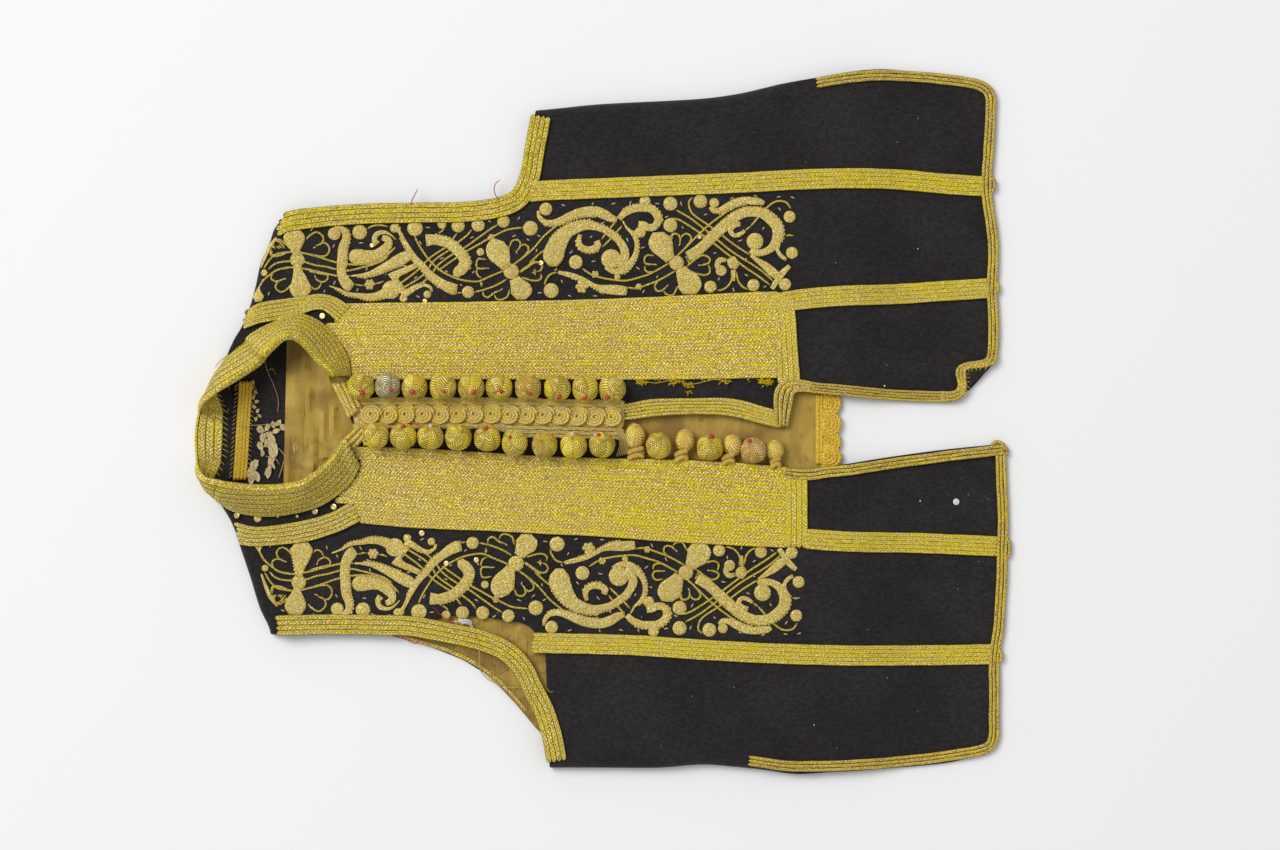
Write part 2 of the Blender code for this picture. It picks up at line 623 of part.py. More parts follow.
def flat_sheet(name, pairs, columns, low, thick, material, edge=None, reach=3):
    """A flat piece between two edges, its first end shaped by an edge table."""
    curve = curve_rows(edge, columns) if edge else None
    top = []
    bottom = []
    for i, (x0, y0, x1, y1) in enumerate(pairs):
        weight = max(0.0, 1 - i / reach) if edge else 0.0
        row = []
        for j in range(columns):
            share = j / (columns - 1)
            x, y = blend(x0, x1, share), blend(y0, y1, share)
            if weight:
                sx = blend(pairs[0][0], pairs[0][2], share)
                sy = blend(pairs[0][1], pairs[0][3], share)
                x += weight * (curve[j][0] - sx)
                y += weight * (curve[j][1] - sy)
            row.append((x, y))
        bottom.append([(x, y, low) for x, y in row])
        top.append([(x, y, low + thick) for x, y in row])
    return wall(name, bottom, top, material)


def collar_band(count):
    """The stand-up collar, with cord rows on its outer face and a thick upper edge."""
    edges = []
    for x0, y0, x1, y1, standing in curve_rows(COLLAR, count):
        reach = math.dist((x0, y0), (x1, y1))
        rise = math.sqrt(max(0.0, COLLAR_HEIGHT**2 - reach**2)) * standing
        near_back = ease((-226 - x0) / 9) if abs(y0) < 52 else 0.0
        seam_z = blend(cloth_top(x0, y0) + 1.9, 3.1, near_back)
        edges.append((Vector((x0, y0, seam_z)), Vector((x1, y1, max(seam_z + rise, 4.2)))))
    loops = []
    for k, (seam, rim) in enumerate(edges):
        before = edges[max(0, k - 1)]
        after = edges[min(count - 1, k + 1)]
        along = after[0] + after[1] - before[0] - before[1]
        up = (rim - seam).normalized()
        normal = along.cross(up).normalized()
        loop = []
        for share in (0.0, 0.5, 1.0):
            loop.append(seam.lerp(rim, share) - normal * COLLAR_WALL / 2)
        loop.append(rim + up * 1.0)
        for k in range(2 * COLLAR_ROWS, -1, -1):
            ridge = CORD_RISE if k % 2 else 0.1
            loop.append(seam.lerp(rim, k / (2 * COLLAR_ROWS)) + normal * (COLLAR_WALL / 2 + ridge))
        loops.append([tuple(point) for point in loop])
    return sweep("collar", loops, "gold_braid")


def ball_button(name, x, y, level, shank=SHANK):
    """A ball on a short shank."""
    form = bmesh.new()
    bmesh.ops.create_uvsphere(form, u_segments=8, v_segments=6, radius=BALL_RADIUS)
    bmesh.ops.scale(form, vec=(1, 1, BALL_SQUASH), verts=form.verts)
    lowest = min(form.verts, key=lambda vert: vert.co.z)
    ring = [edge.other_vert(lowest) for edge in lowest.link_edges]
    half = BALL_RADIUS * BALL_SQUASH
    lowest.co.z = -half - shank
    for vert in ring:
        vert.co.z -= 0.5
    return add_object(name, form, "gold_button", (x, y, level + GAP + shank + half))


def cord_knot(name, x, y, level):
    """A knot of cord, longer than wide, lying on its side."""
    form = bmesh.new()
    bmesh.ops.create_uvsphere(form, u_segments=8, v_segments=6, radius=1)
    bmesh.ops.scale(form, vec=(4.9, 7.8, 4.2), verts=form.verts)
    return add_object(name, form, "gold_braid", (x, y, level + GAP + 4.2))


def placket_coils():
    """The placket band with its row of round cord coils between two edge cords."""
    pitch = (COILS_LAST - COILS_FIRST) / (COIL_COUNT - 1)
    stations = [PLACKET_START, COILS_FIRST - pitch / 2]
    for n in range(COIL_COUNT):
        centre = COILS_FIRST + n * pitch
        stations += [centre - pitch * 0.27, centre + pitch * 0.27, centre + pitch / 2]
    stations.append(PLACKET_END)
    rows = []
    for x in stations:
        middle = value_at(PLACKET_LINE, x)
        rows.append([(x, middle + step) for step in (10.3, 0.0, -10.3)])
    loops = []
    for row, heights in zip(rows, settled(rows, surface)):
        x, middle = row[1]
        loop = [(x, y, z) for (x, y), z in zip(row, heights)]
        table = [(-10.3, heights[2]), (0.0, heights[1]), (10.3, heights[0])]
        nearest = round((x - COILS_FIRST) / pitch)
        nearest = min(COIL_COUNT - 1, max(0, nearest))
        along = x - (COILS_FIRST + nearest * pitch)
        for step in (-10.3, -8.7, -6.9, -3.6, 0.0, 3.6, 6.9, 8.7, 10.3):
            if abs(step) > 8:
                height = 2.3 if abs(step) < 9 else 1.0
            else:
                away = math.hypot(along, step * 0.86)
                height = 1.0 + 2.2 * math.sqrt(max(0.0, 1 - (away / (COIL_RADIUS + 0.8)) ** 2))
            loop.append((x, middle + step, value_at(table, step) + height))
        loops.append(loop)
    return sweep("placket_coils", loops, "gold_braid")


def hem_scallops():
    """The scalloped trim of the short back hem, between the two skirts."""
    loops = []
    steps = 24
    for k in range(steps + 1):
        y = blend(15.6, -28.4, k / steps)
        bulge = abs(math.sin(math.pi * 4 * k / steps))
        loop = []
        for x, z in ((138.5, 3.1), (150.5 + 6 * bulge, 3.1), (150.8 + 6 * bulge, 4.6)):
            loop.append((x, y, z))
        for x, z in ((148.5 + 3 * bulge, 5.6), (145.0, 4.5), (141.5, 5.6), (138.3, 4.5)):
            loop.append((x, y, z))
        loops.append(loop)
    return sweep("back_hem_scallops", loops, "amber_trim")


def neck_tape():
    """The braid inside the back neck, from the collar's seam down to the lining."""
    loops = []
    line = [(-233.5, 19), (-231, 8), (-230.2, -7), (-230.8, -22), (-233.5, -35)]
    outer = ((4.9, 2.9), (3.4, 4.6), (2.2, 4.9), (0.4, 7.2), (-1.6, 7.0), (-3.0, 8.0), (-4.5, 7.5))
    for x, y in curve_rows(line, 9):
        loop = [(x - 4.3, y, 6.4), (x + 0.4, y, 5.6), (x + 4.6, y, 1.8)]
        for step, z in outer:
            loop.append((x + step, y, z))
        loops.append(loop)
    return sweep("back_neck_tape", loops, "gold_braid")


def turned_corner():
    """The skirt corner that is folded up, with a thick braid along its free edges."""
    rows = []
    for k in range(6):
        share = k / 5
        fold_x, fold_y = blend(253.2, 234.5, share), blend(37.2, 17.5, share)
        free_x, free_y = blend(252.6, 229.4, share), blend(40.0, 19.5, share)
        tip = 1 - abs(2 * share - 1)
        free_x -= 12.5 * tip
        free_y += 10.0 * tip
        rows.append([(blend(fold_x, free_x, t), blend(fold_y, free_y, t)) for t in (0, 0.5, 0.72, 1.0)])
    low = 2.35
    top = []
    bottom = []
    for row in rows:
        heights = (1.9, 2.0, 3.3, 2.6)
        bottom.append([(x, y, low) for x, y in row])
        top.append([(x, y, low + height) for (x, y), height in zip(row, heights)])
    return wall("turned_corner_left", bottom, top, "black_wool")


def on_right(x, y):
    """The place on the right front that answers a place on the left one."""
    return (x + 3, -105 - (y - 102) * 0.86)


def embroidery(name, place):
    """The scroll work of one front: ridges and discs joined flat, then laid on the cloth."""
    pieces = []
    for number, (start, end, line) in enumerate(SCROLLS):
        length = sum(math.dist(a, b) for a, b in zip(line, line[1:]))
        rows = curve_rows([place(x, y) for x, y in line], max(2, round(length / SCROLL_STEP) + 1))
        loops = []
        for k, (x, y) in enumerate(rows):
            half = blend(start, end, k / (len(rows) - 1))
            along = unit(rows[max(0, k - 1)], rows[min(len(rows) - 1, k + 1)])
            side = (-along[1] * half, along[0] * half)
            loops.append([
                (x + side[0], y + side[1], 0),
                (x - side[0], y - side[1], 0),
                (x, y, SCROLL_HEIGHT),
            ])
        pieces.append(sweep(f"scroll_{number}", loops, "gold_braid", helpers))
    for number, (x, y, radius) in enumerate(SCROLL_DISCS):
        form = bmesh.new()
        bmesh.ops.create_cone(
            form, cap_ends=True, segments=6, radius1=radius, radius2=radius * 0.62, depth=DISC_HEIGHT
        )
        bmesh.ops.translate(form, vec=(*place(x, y), DISC_HEIGHT / 2), verts=form.verts)
        pieces.append(add_object(f"disc_{number}", form, "gold_braid", group=helpers))
    first = pieces[0]
    helpers.objects.unlink(first)
    collection.objects.link(first)
    union = first.modifiers.new("joined", "BOOLEAN")
    union.operation = "UNION"
    union.solver = "EXACT"
    union.operand_type = "COLLECTION"
    union.collection = helpers
    graph = bpy.context.evaluated_depsgraph_get()
    mesh = bpy.data.meshes.new_from_object(first.evaluated_get(graph))
    for piece in pieces:
        bpy.data.objects.remove(piece, do_unlink=True)
    form = bmesh.new()
    form.from_mesh(mesh)
    bmesh.ops.scale(form, vec=(1 / MM, 1 / MM, 1 / MM), verts=form.verts)
    bmesh.ops.triangulate(form, faces=form.faces)
    for vert in form.verts:
        vert.co.z += surface(vert.co.x, vert.co.y) + GAP
    return add_object(name, form, "gold_braid")


for old in list(bpy.data.objects):
    bpy.data.objects.remove(old, do_unlink=True)

collection = bpy.data.collections.new("waistcoat")
bpy.context.scene.collection.children.link(collection)
helpers = bpy.data.collections.new("helpers")
helpers.hide_render = True
bpy.context.scene.collection.children.link(helpers)
frame = bpy.data.objects.new("waistcoat_frame", None)
frame.location = (-MIDDLE[0] * MM, -MIDDLE[1] * MM, 0)
collection.objects.link(frame)

materials = {}
for label, (colour, roughness, metallic) in MATERIALS.items():
    material = bpy.data.materials.new(label)
    material.use_nodes = True
    shader = material.node_tree.nodes["Principled BSDF"]
    shader.inputs["Base Color"].default_value = (*colour, 1)
    shader.inputs["Roughness"].default_value = roughness
    shader.inputs["Metallic"].default_value = metallic
    material.diffuse_color = (*colour, 1)
    materials[label] = material

# Back, its lining and its trims
flat_sheet("back", BACK, 15, 0.0, BACK_CLOTH, "black_wool", BACK_NECK_EDGE)
flat_sheet("back_lining", BACK_LINING, 6, BACK_CLOTH + GAP, LINING, "tan_lining")
flat_sheet("torn_lining_right", TORN_LINING, 3, 3.1, LINING, "tan_lining")
hem_scallops()
neck_tape()
ribbed(
    "back_armhole_braid_right", edge_pairs(BACK_ARMHOLE_BRAID, 5, 10), 2,
    rise=0.4, base=0.4, level=lambda x, y: BACK_CLOTH,
)

# Fronts and sides
front_panel("front_left", FRONT_LEFT, SHOULDER_LEFT, 38, 7)
front_panel("front_right", FRONT_RIGHT, SHOULDER_RIGHT, 38, 7)
side_panel("side_left", SIDE_LEFT, 20)
side_panel("side_right", SIDE_RIGHT, 20)

# The cloth as laid, which the braids and buttons are set on
points = []
faces = []
for name in ("front_left", "front_right", "side_left", "side_right"):
    mesh = bpy.data.objects[name].data
    mesh.calc_loop_triangles()
    first = len(points)
    points += [vertex.co / MM for vertex in mesh.vertices]
    faces += [[first + v for v in triangle.vertices] for triangle in mesh.loop_triangles]
laid = BVHTree.FromPolygons(points, faces)

turned_corner()
collar_band(32)

# Braids
ribbed("neck_braid_left", edge_pairs(NECK_BRAID_LEFT, BRAID_WIDTH, 8), 5)
ribbed("neck_braid_right", edge_pairs(NECK_BRAID_RIGHT, BRAID_WIDTH, 8), 5)
ribbed("breast_braid_left", curve_rows(BREAST_LEFT, 10), 12, under=4)
ribbed("breast_braid_right", curve_rows(BREAST_RIGHT, 10), 12, under=4)
ribbed("end_braid_left", edge_pairs(END_BRAID_LEFT, 14, 8), 4)
ribbed("end_braid_right", edge_pairs(END_BRAID_RIGHT, 14, 6), 4)
ribbed("armhole_braid_left", edge_pairs(ARMHOLE_BRAID_LEFT, BRAID_WIDTH, 19), 4)
ribbed("armhole_braid_right", edge_pairs(ARMHOLE_BRAID_RIGHT, BRAID_WIDTH, 21), 4)
ribbed("side_braid_left", edge_pairs(SIDE_BRAID_LEFT, BRAID_WIDTH, 17), 5)
ribbed("side_braid_right", edge_pairs(SIDE_BRAID_RIGHT, BRAID_WIDTH, 17), 5)
ribbed("inner_braid_left", edge_pairs(INNER_BRAID_LEFT, BRAID_WIDTH, 12), 5)
ribbed("inner_braid_right", edge_pairs(INNER_BRAID_RIGHT, BRAID_WIDTH, 12), 5)
ribbed("wavy_braid_left", edge_pairs(WAVY_BRAID_LEFT, 10.8, 12), 4)
ribbed("hem_braid_left", edge_pairs(HEM_BRAID_LEFT, 7.4, 25), 3)
ribbed("hem_braid_right", edge_pairs(HEM_BRAID_RIGHT, 7.4, 27), 3)
ribbed("front_edge_braid_left", edge_pairs(FRONT_EDGE_BRAID_LEFT, 7.4, 11), 3)
ribbed("front_edge_braid_right", edge_pairs(FRONT_EDGE_BRAID_RIGHT, 7.0, 14), 3)
ribbed("neck_cords", edge_pairs(NECK_CORDS, 7.6, 7), 3, rise=1.6)
placket_coils()
embroidery("embroidery_left", lambda x, y: (x, y))
embroidery("embroidery_right", on_right)

# Buttons and knots
for number, (x, y) in enumerate(BUTTONS_LEFT, 1):
    ball_button(f"button_left_{number:02d}", x, y, surface(x, y))
for number, (x, y) in enumerate(BUTTONS_RIGHT, 1):
    ball_button(f"button_right_{number:02d}", x, y, surface(x, y), SHANK + 1.2)
for number, (x, y) in enumerate(BUTTONS_EDGE, 10):
    ball_button(f"button_right_{number:02d}", x, y, BACK_CLOTH + GAP + LINING)
for number, (x, y) in enumerate(KNOTS_EDGE, 1):
    cord_knot(f"knot_right_{number:02d}", x, y, BACK_CLOTH + GAP + LINING)
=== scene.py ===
"""Looks of the folk waistcoat: fulled wool, couched gold braid, scroll work, ball buttons and their wear.

Tables and sizes are millimetres on the laid garment, with the neck to -X and the left front on +Y.
Every piece is made in them and scaled to metres at the end.
"""

import logging
import math
from dataclasses import dataclass, field
from enum import Enum
from typing import Callable, Sequence

import bmesh
import bpy
import numpy as np
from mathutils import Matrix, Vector


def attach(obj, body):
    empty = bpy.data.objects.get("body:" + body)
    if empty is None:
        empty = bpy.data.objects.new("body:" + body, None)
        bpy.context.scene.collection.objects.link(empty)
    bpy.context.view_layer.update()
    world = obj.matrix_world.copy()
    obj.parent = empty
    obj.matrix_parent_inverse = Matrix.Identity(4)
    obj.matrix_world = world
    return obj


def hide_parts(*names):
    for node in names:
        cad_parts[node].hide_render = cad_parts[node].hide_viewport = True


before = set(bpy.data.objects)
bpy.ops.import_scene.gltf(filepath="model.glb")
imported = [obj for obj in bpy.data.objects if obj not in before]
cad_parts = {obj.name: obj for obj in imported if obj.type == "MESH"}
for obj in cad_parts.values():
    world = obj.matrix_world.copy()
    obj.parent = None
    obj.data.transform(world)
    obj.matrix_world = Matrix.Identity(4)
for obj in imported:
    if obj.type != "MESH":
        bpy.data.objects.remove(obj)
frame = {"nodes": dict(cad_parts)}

MM = 0.001
TINY = 1e-6
MIDDLE = (-1.548, -1.450)
BODY = "root"

Table = Sequence[Sequence[float]]
Colour = tuple[float, float, float]
Height = Callable[[np.ndarray, np.ndarray], np.ndarray]

log = logging.getLogger("waistcoat")

# Thickness of each cloth, the gap between pieces, and the lowest that anything lies above the table
CLOTH = 2.0
BACK_CLOTH = 1.5
LINING = 1.0
GAP = 0.3
TABLE_GAP = 0.1

# Angles over which an edge is shaded sharp, in degrees
CLOTH_EDGE = 50.0
CORD_EDGE = 60.0
WIRE_EDGE = 70.0
BUTTON_EDGE = 75.0
BEAD_EDGE = 80.0

# Radius of a fold, and the angles in degrees at which its turn is drawn
FOLD_RADIUS = 6.0
TURNS = (0, 12, 25, 40, 55, 72, 90)

# Shoulder folds, from the armhole to the neck: x, y
SHOULDER_LEFT = (
    (-207, 133), (-214.5, 124), (-217.5, 115.5), (-223.5, 101.5), (-227, 86), (-230.5, 73.5),
    (-235.5, 60.5), (-241, 51.5), (-246.8, 38.5),
)
SHOULDER_RIGHT = (
    (-217, -140), (-218.5, -135), (-224, -123.5), (-230.5, -102.5), (-237, -83), (-240, -73.5),
    (-244, -64.5), (-251, -53.5),
)

# Side folds and open vent edges, from the armhole to the hem: x, y
SIDE_FOLD_LEFT = (
    (-44, 201), (-33, 202), (-2.5, 205), (23.5, 206.5), (62.5, 208.5), (88.5, 212), (114.5, 218),
    (140.5, 222.5), (160, 226), (183, 228), (225, 225), (243, 222), (255, 211),
)
SIDE_FOLD_RIGHT = (
    (-35, -227), (1, -227), (36, -227), (64.5, -225), (85.5, -226.5), (100.5, -228), (124, -231),
    (170, -229), (216, -225), (247, -220), (257, -213),
)

# Front pieces: x, y on the armhole and seam edge, x, y on the neck and front edge
FRONT_LEFT = (
    (-207, 133, -246.8, 38.5), (-197.5, 136.5, -238.5, 46.5), (-185.5, 137, -222, 58.5),
    (-174, 138, -207.5, 65), (-165, 138.5, -196.5, 67.5), (-157, 139, -184.5, 63.5),
    (-150.5, 139, -174.5, 54), (-144, 139, -167.5, 40.5), (-139, 139.5, -165.5, 24.5),
    (-133.5, 140, -165, 11), (-127, 140, -163, -3), (-113, 140.5, -142, -4), (-94.5, 140.5, -106.5, -4),
    (-77, 142.5, -77, -4), (-62, 145.5, -62, -3.5), (-53, 148.8, -53, -3), (-38, 149, -38, -3),
    (-20, 149.5, -20, -3), (12, 150.5, 12, -1.5), (30, 151, 30, 1.5), (51.5, 152, 51.5, 3.4),
    (73, 152.5, 73, 3.2), (94.5, 153, 94.5, 0.2), (111, 154, 111, -4.6), (118, 154.5, 119, -5.2),
    (126, 155, 121.4, 3.8), (131, 155.3, 125.2, 17.6), (141, 155.5, 141, 19), (170, 156, 170, 16),
    (205.5, 154.5, 205, 13.5), (226, 152.5, 230, 13), (251.6, 150.5, 255, 36.5),
)
FRONT_RIGHT = (
    (-217, -140, -251, -53.5), (-205, -140, -241, -58), (-193.5, -139.5, -227, -61),
    (-181.5, -139, -213, -61), (-170, -139, -197.5, -58.5), (-161, -139.5, -184.5, -54.5),
    (-154.5, -140, -171.5, -47), (-149, -140, -161, -36.5), (-144, -140.5, -159, -23.5),
    (-139, -140.5, -159, -13.5), (-132.5, -140.5, -158.5, -5), (-122.5, -139, -142, -5),
    (-110, -130.5, -113, -5), (-98, -128, -98, -5), (-83, -128.5, -80, -5), (-66.5, -130.5, -64, -5),
    (-50, -134, -49, -4.5), (-38, -145, -38, -4.5), (-20, -145.7, -20, -5), (-2.5, -146.5, -2.5, -6),
    (5, -147, 5, -8.5), (12, -147.3, 12, -19), (19, -147.6, 19, -25.5), (35, -148.3, 35, -26),
    (62.5, -150, 62.5, -26.5), (90, -151.5, 90, -28.5), (116, -152.5, 116, -31), (124, -153, 124, -33.5),
    (146.5, -154, 146.5, -31), (181.5, -154.5, 181.5, -25.5), (222, -154.2, 222, -20),
    (256.2, -153.5, 261.8, -16),
)

# Side pieces: x, y on the fold or vent edge, x, y on the long seam
SIDE_LEFT = (
    (-44, 201, -53, 149.6), (-33, 202, -38, 149.6), (-2.5, 205, -2.5, 150.7), (62.5, 208.5, 62.5, 152.6),
    (88.5, 212, 88.5, 153.2), (114.5, 218, 114.5, 154.5), (140.5, 222.5, 140.5, 155.8),
    (160, 226, 160, 156.2), (183, 228, 183, 156), (205, 226.2, 205, 154.9), (225, 223.8, 226, 152.9),
    (243, 220.4, 243, 151.6), (253.4, 211, 251.6, 150.9),
)
SIDE_RIGHT = (
    (-35, -227, -38, -146), (1, -227, 0, -147.3), (36, -227, 35, -148.8), (64.5, -225, 62.5, -150.4),
    (85.5, -226.5, 85.5, -151.6), (100.5, -228, 100, -152.3), (124, -231, 124, -153.4),
    (146, -230, 146, -154.4), (181.5, -228, 181.5, -154.9), (222, -224.5, 222, -154.6),
    (243, -219.5, 243, -154.2), (254, -213, 256.2, -153.9),
)

# Back: x, y on the left armhole and side, x, y on the right armhole and side
BACK = (
    (-203, 129, -213, -136), (-190, 133, -195, -137), (-165, 136.5, -165, -138), (-140, 137.5, -140, -141),
    (-115, 138.5, -114, -148), (-88, 139.5, -92, -157), (-66, 142.5, -74, -168), (-57, 149, -62, -180.5),
    (-52, 160, -53, -190), (-48, 178, -44, -200), (-43, 192, -37, -212), (-34, 196, -31, -222),
    (-2, 200.5, 2, -223.4), (62, 204, 62, -221), (88, 207.5, 88, -222.5), (114, 213, 114, -225),
    (140, 217, 140, -225), (157, 218, 157, -225),
)
BACK_NECK_EDGE = (
    (-203, 129), (-210.5, 122), (-214, 114), (-220, 100.5), (-223.5, 85.5), (-227, 73), (-232, 60),
    (-237.5, 50), (-242.5, 42), (-245.5, 34), (-245.5, 26), (-242.5, 15), (-238, 4), (-236, -7),
    (-238, -22), (-243, -36), (-247, -46), (-246, -55), (-239.5, -66), (-236, -74), (-233, -83),
    (-226.5, -102), (-220, -121), (-215, -133), (-213, -136),
)
BACK_LINING = (
    (-205, 121, -210.5, -127), (-170, 131, -172, -135), (-130, 132, -136, -139.8), (-92, 134, -103.6, -150),
    (-66, 137, -83.2, -160.6), (-50, 147, -68, -174.4), (-45, 165, -57, -186), (-38, 185, -44.6, -201),
    (-30, 192, -31, -215), (0, 196, 0, -218), (60, 199, 60, -216), (100, 205, 100, -219),
    (140, 211, 140, -220), (150, 211, 150, -220),
)
TORN_LINING = (
    (-127, -134.5, -122, -118), (-104, -137, -96, -112), (-82, -142, -74, -108), (-67, -148, -54, -112),
    (-57, -158, -38, -125), (-50, -170, -22, -142), (-43, -184, -16, -166),
)

# Collar: x, y of the seam, x, y of the upper edge, share of the full height that stands up, bulge outwards
COLLAR = (
    (-165.5, 27, -174, 27, 0.42, 0), (-166, 33, -176.5, 31, 0.55, 0), (-167.5, 40.5, -184, 38, 0.74, 0.5),
    (-175, 52, -190, 46, 0.92, 0.8), (-185.5, 62, -195, 51, 1.0, 1), (-197.5, 66.5, -199, 53, 1.0, 1),
    (-208.5, 63, -205, 52.5, 1.0, 1), (-222.5, 57, -213.5, 45.5, 1.0, 1),
    (-235.5, 48, -222.5, 36.5, 1.0, 1.5), (-244.2, 39.5, -232.5, 29.5, 1.0, 3),
    (-247, 29.5, -243, 22.5, 1.0, 5), (-243.5, 18.5, -253, 15.5, 1.0, 6), (-238, 6, -261.2, 7.5, 1.0, 4),
    (-235, -7, -264.3, -7, 1.0, 1), (-236, -20, -264.3, -21, 1.0, 1), (-240.5, -33, -262.6, -32, 1.0, 4),
    (-246, -43.5, -257, -38.5, 1.0, 6), (-247.5, -51.5, -246.5, -41.6, 1.0, 4),
    (-240, -57.8, -232, -43.8, 1.0, 2), (-228, -61, -219, -44.5, 1.0, 1),
    (-213.5, -61.5, -206, -43.8, 1.0, 1), (-197.5, -59, -193, -41, 1.0, 1),
    (-183, -54.5, -182.3, -33.5, 1.0, 1), (-171.5, -46.8, -174.5, -25.2, 0.86, 1),
    (-162.5, -38, -169.6, -17, 0.68, 0.5), (-158.6, -29, -165.8, -13.5, 0.48, 0),
)

# Main creases of the wool: x, y at one end, x, y at the other, height, width
CREASES = (
    (82, 170, 162, 223, -0.95, 10), (-30, 181, 22, 205, 0.8, 11), (104, 160, 205, 196, 0.7, 15),
    (70, -176, 141, -222, -1.0, 4.2), (66, -186, 128, -224, 0.55, 7), (-12, -168, 52, -196, 0.8, 17),
    (160, 66, 179, 28, -0.7, 2.4), (137, -38, 153, -72, -0.7, 2.8), (126, 118, 205, 108, 0.7, 20),
    (136, -106, 232, -132, 0.7, 20), (222, 196, 252, 222, -0.8, 9), (-20, 166, 70, 162, -0.4, 9),
    (150, -176, 240, -168, 0.5, 16), (175, -60, 245, -48, 0.55, 12), (180, 62, 240, 52, 0.6, 12),
    (196, 128, 250, 96, -0.5, 7), (196, -104, 250, -128, -0.45, 7), (-10, -210, 60, -206, -0.4, 8),
)

# Breast panels of twelve braid rows: x, y above, x, y below, and the x at which each row starts
BREAST_LEFT = (
    (-183, 74.6, -183, 25), (-167.8, 75, -166, 25.2), (-145, 75.4, -143, 25.6), (-120, 75.6, -119, 25.7),
    (-88, 76, -88, 25.8), (-54.5, 76.6, -54.5, 25.8), (-15, 77.5, -15, 25.7), (25.5, 79, 25.5, 25.7),
    (68, 81, 68, 26.1), (95, 82.2, 95, 26.6), (114.4, 82.7, 114.4, 26.8),
)
BREAST_LEFT_STARTS = (-169, -172.4, -176, -181.5, -179.5, -176.5, -173.2, -170, -168, -167.2, -166.7, -166.5)
BREAST_RIGHT = (
    (-176, -18.2, -176, -66.8), (-158.6, -18.2, -159.2, -67.5), (-132, -18.8, -132.5, -70),
    (-105.5, -20, -105.5, -71.5), (-77, -21.8, -77.5, -72.5), (-40, -24.2, -40, -74.5),
    (-2.5, -25.5, -2.5, -76.3), (40, -26.4, 40, -79.5), (80, -28, 80, -81.8), (120.4, -31.5, 120.4, -83.6),
)
BREAST_RIGHT_STARTS = (-165.4, -162.8, -158.9, -160, -162.8, -166, -170, -174, -175.5, -164, -161.5, -159.5)

# Braids whose edges both bend: x, y of one edge, x, y of the other
NECK_LEFT = (
    (-233.3, 69.9, -236.3, 57.6), (-223.3, 75.3, -223.3, 62.1), (-208.7, 77.9, -208.7, 64.7),
    (-194, 80, -197.9, 67.4), (-184.3, 81.2, -189.2, 70.9), (-174.5, 79.3, -181.6, 70.5),
    (-163.4, 72.6, -172, 62),
)
NECK_RIGHT = (
    (-240.5, -66.5, -238, -81.5), (-228.2, -69.7, -228.2, -82.6), (-213.5, -69, -211, -81.8),
    (-198.9, -66.8, -194, -79.8), (-184.3, -63.2, -182, -76.6), (-174.5, -59.6, -169.7, -72.3),
    (-162.6, -52.6, -156.8, -65.6),
)
END_LEFT = (
    (95, 82.9, 100.5, 74), (107.5, 82.4, 104.5, 74), (117, 81.2, 107, 73.2), (122, 77, 109.6, 70),
    (124.2, 69.5, 111.4, 62), (126, 48.1, 112.4, 46), (127.8, 24, 113.2, 22),
)
END_RIGHT = (
    (132.4, -35.6, 118.3, -37), (132.5, -50, 118.5, -50), (132.6, -68, 118.6, -68),
    (132.3, -84, 118.3, -84),
)
EDGE_LEFT = (
    (112.1, -6.2, 119.9, -5.6), (110.7, 5, 121.6, 3.2), (110.5, 14.7, 123.2, 11.4),
    (111.8, 20.3, 124.2, 15.6), (115.6, 24.5, 125.6, 17.3), (120.8, 26, 128.3, 17.7),
    (128, 25.6, 133, 17.4), (137.9, 23.8, 139, 16.6), (153.5, 22.6, 153.5, 15.2), (175, 20.4, 175, 13.2),
    (193.5, 19, 193.5, 11.8), (212, 18.4, 212, 11.1), (227.5, 18.2, 227.5, 10.9),
)
EDGE_RIGHT = (
    (114.5, -31.2, 115.5, -38), (125, -32.2, 125, -39.4), (134, -32.4, 134, -40), (147, -30.6, 147, -38),
    (160, -29.6, 160, -36.8), (181.5, -26.4, 181.5, -33.4), (205, -23.2, 205, -30.2),
    (232, -19.7, 232, -26.7), (262, -16.3, 262, -23.3),
)

# Wavy edging of the left front: where each row starts, and x, y of its two edges
WAVY_LEFT_STARTS = (6, 8, 12.2, 13.2, 13)
WAVY_LEFT = (
    (4, 10.4, 4, -0.6), (13, 10.2, 13, -0.6), (18, 10.6, 18, -0.3), (29.6, 12.7, 29.6, 1.2),
    (47.8, 13.5, 47.8, 2.8), (61.4, 13.5, 61.4, 2.9), (77.5, 13.8, 77.5, 2.5), (88.2, 12.5, 88.2, 0.7),
    (95.4, 10.6, 97, -1.7), (103, 8.2, 106.1, -3.9), (111.5, 6, 116.5, -6.1),
)

# Where each row of the left armhole braid starts, round the shoulder's corner
ARMHOLE_LEFT_STARTS = (-208.8, -211.8, -213.6, -214.6)

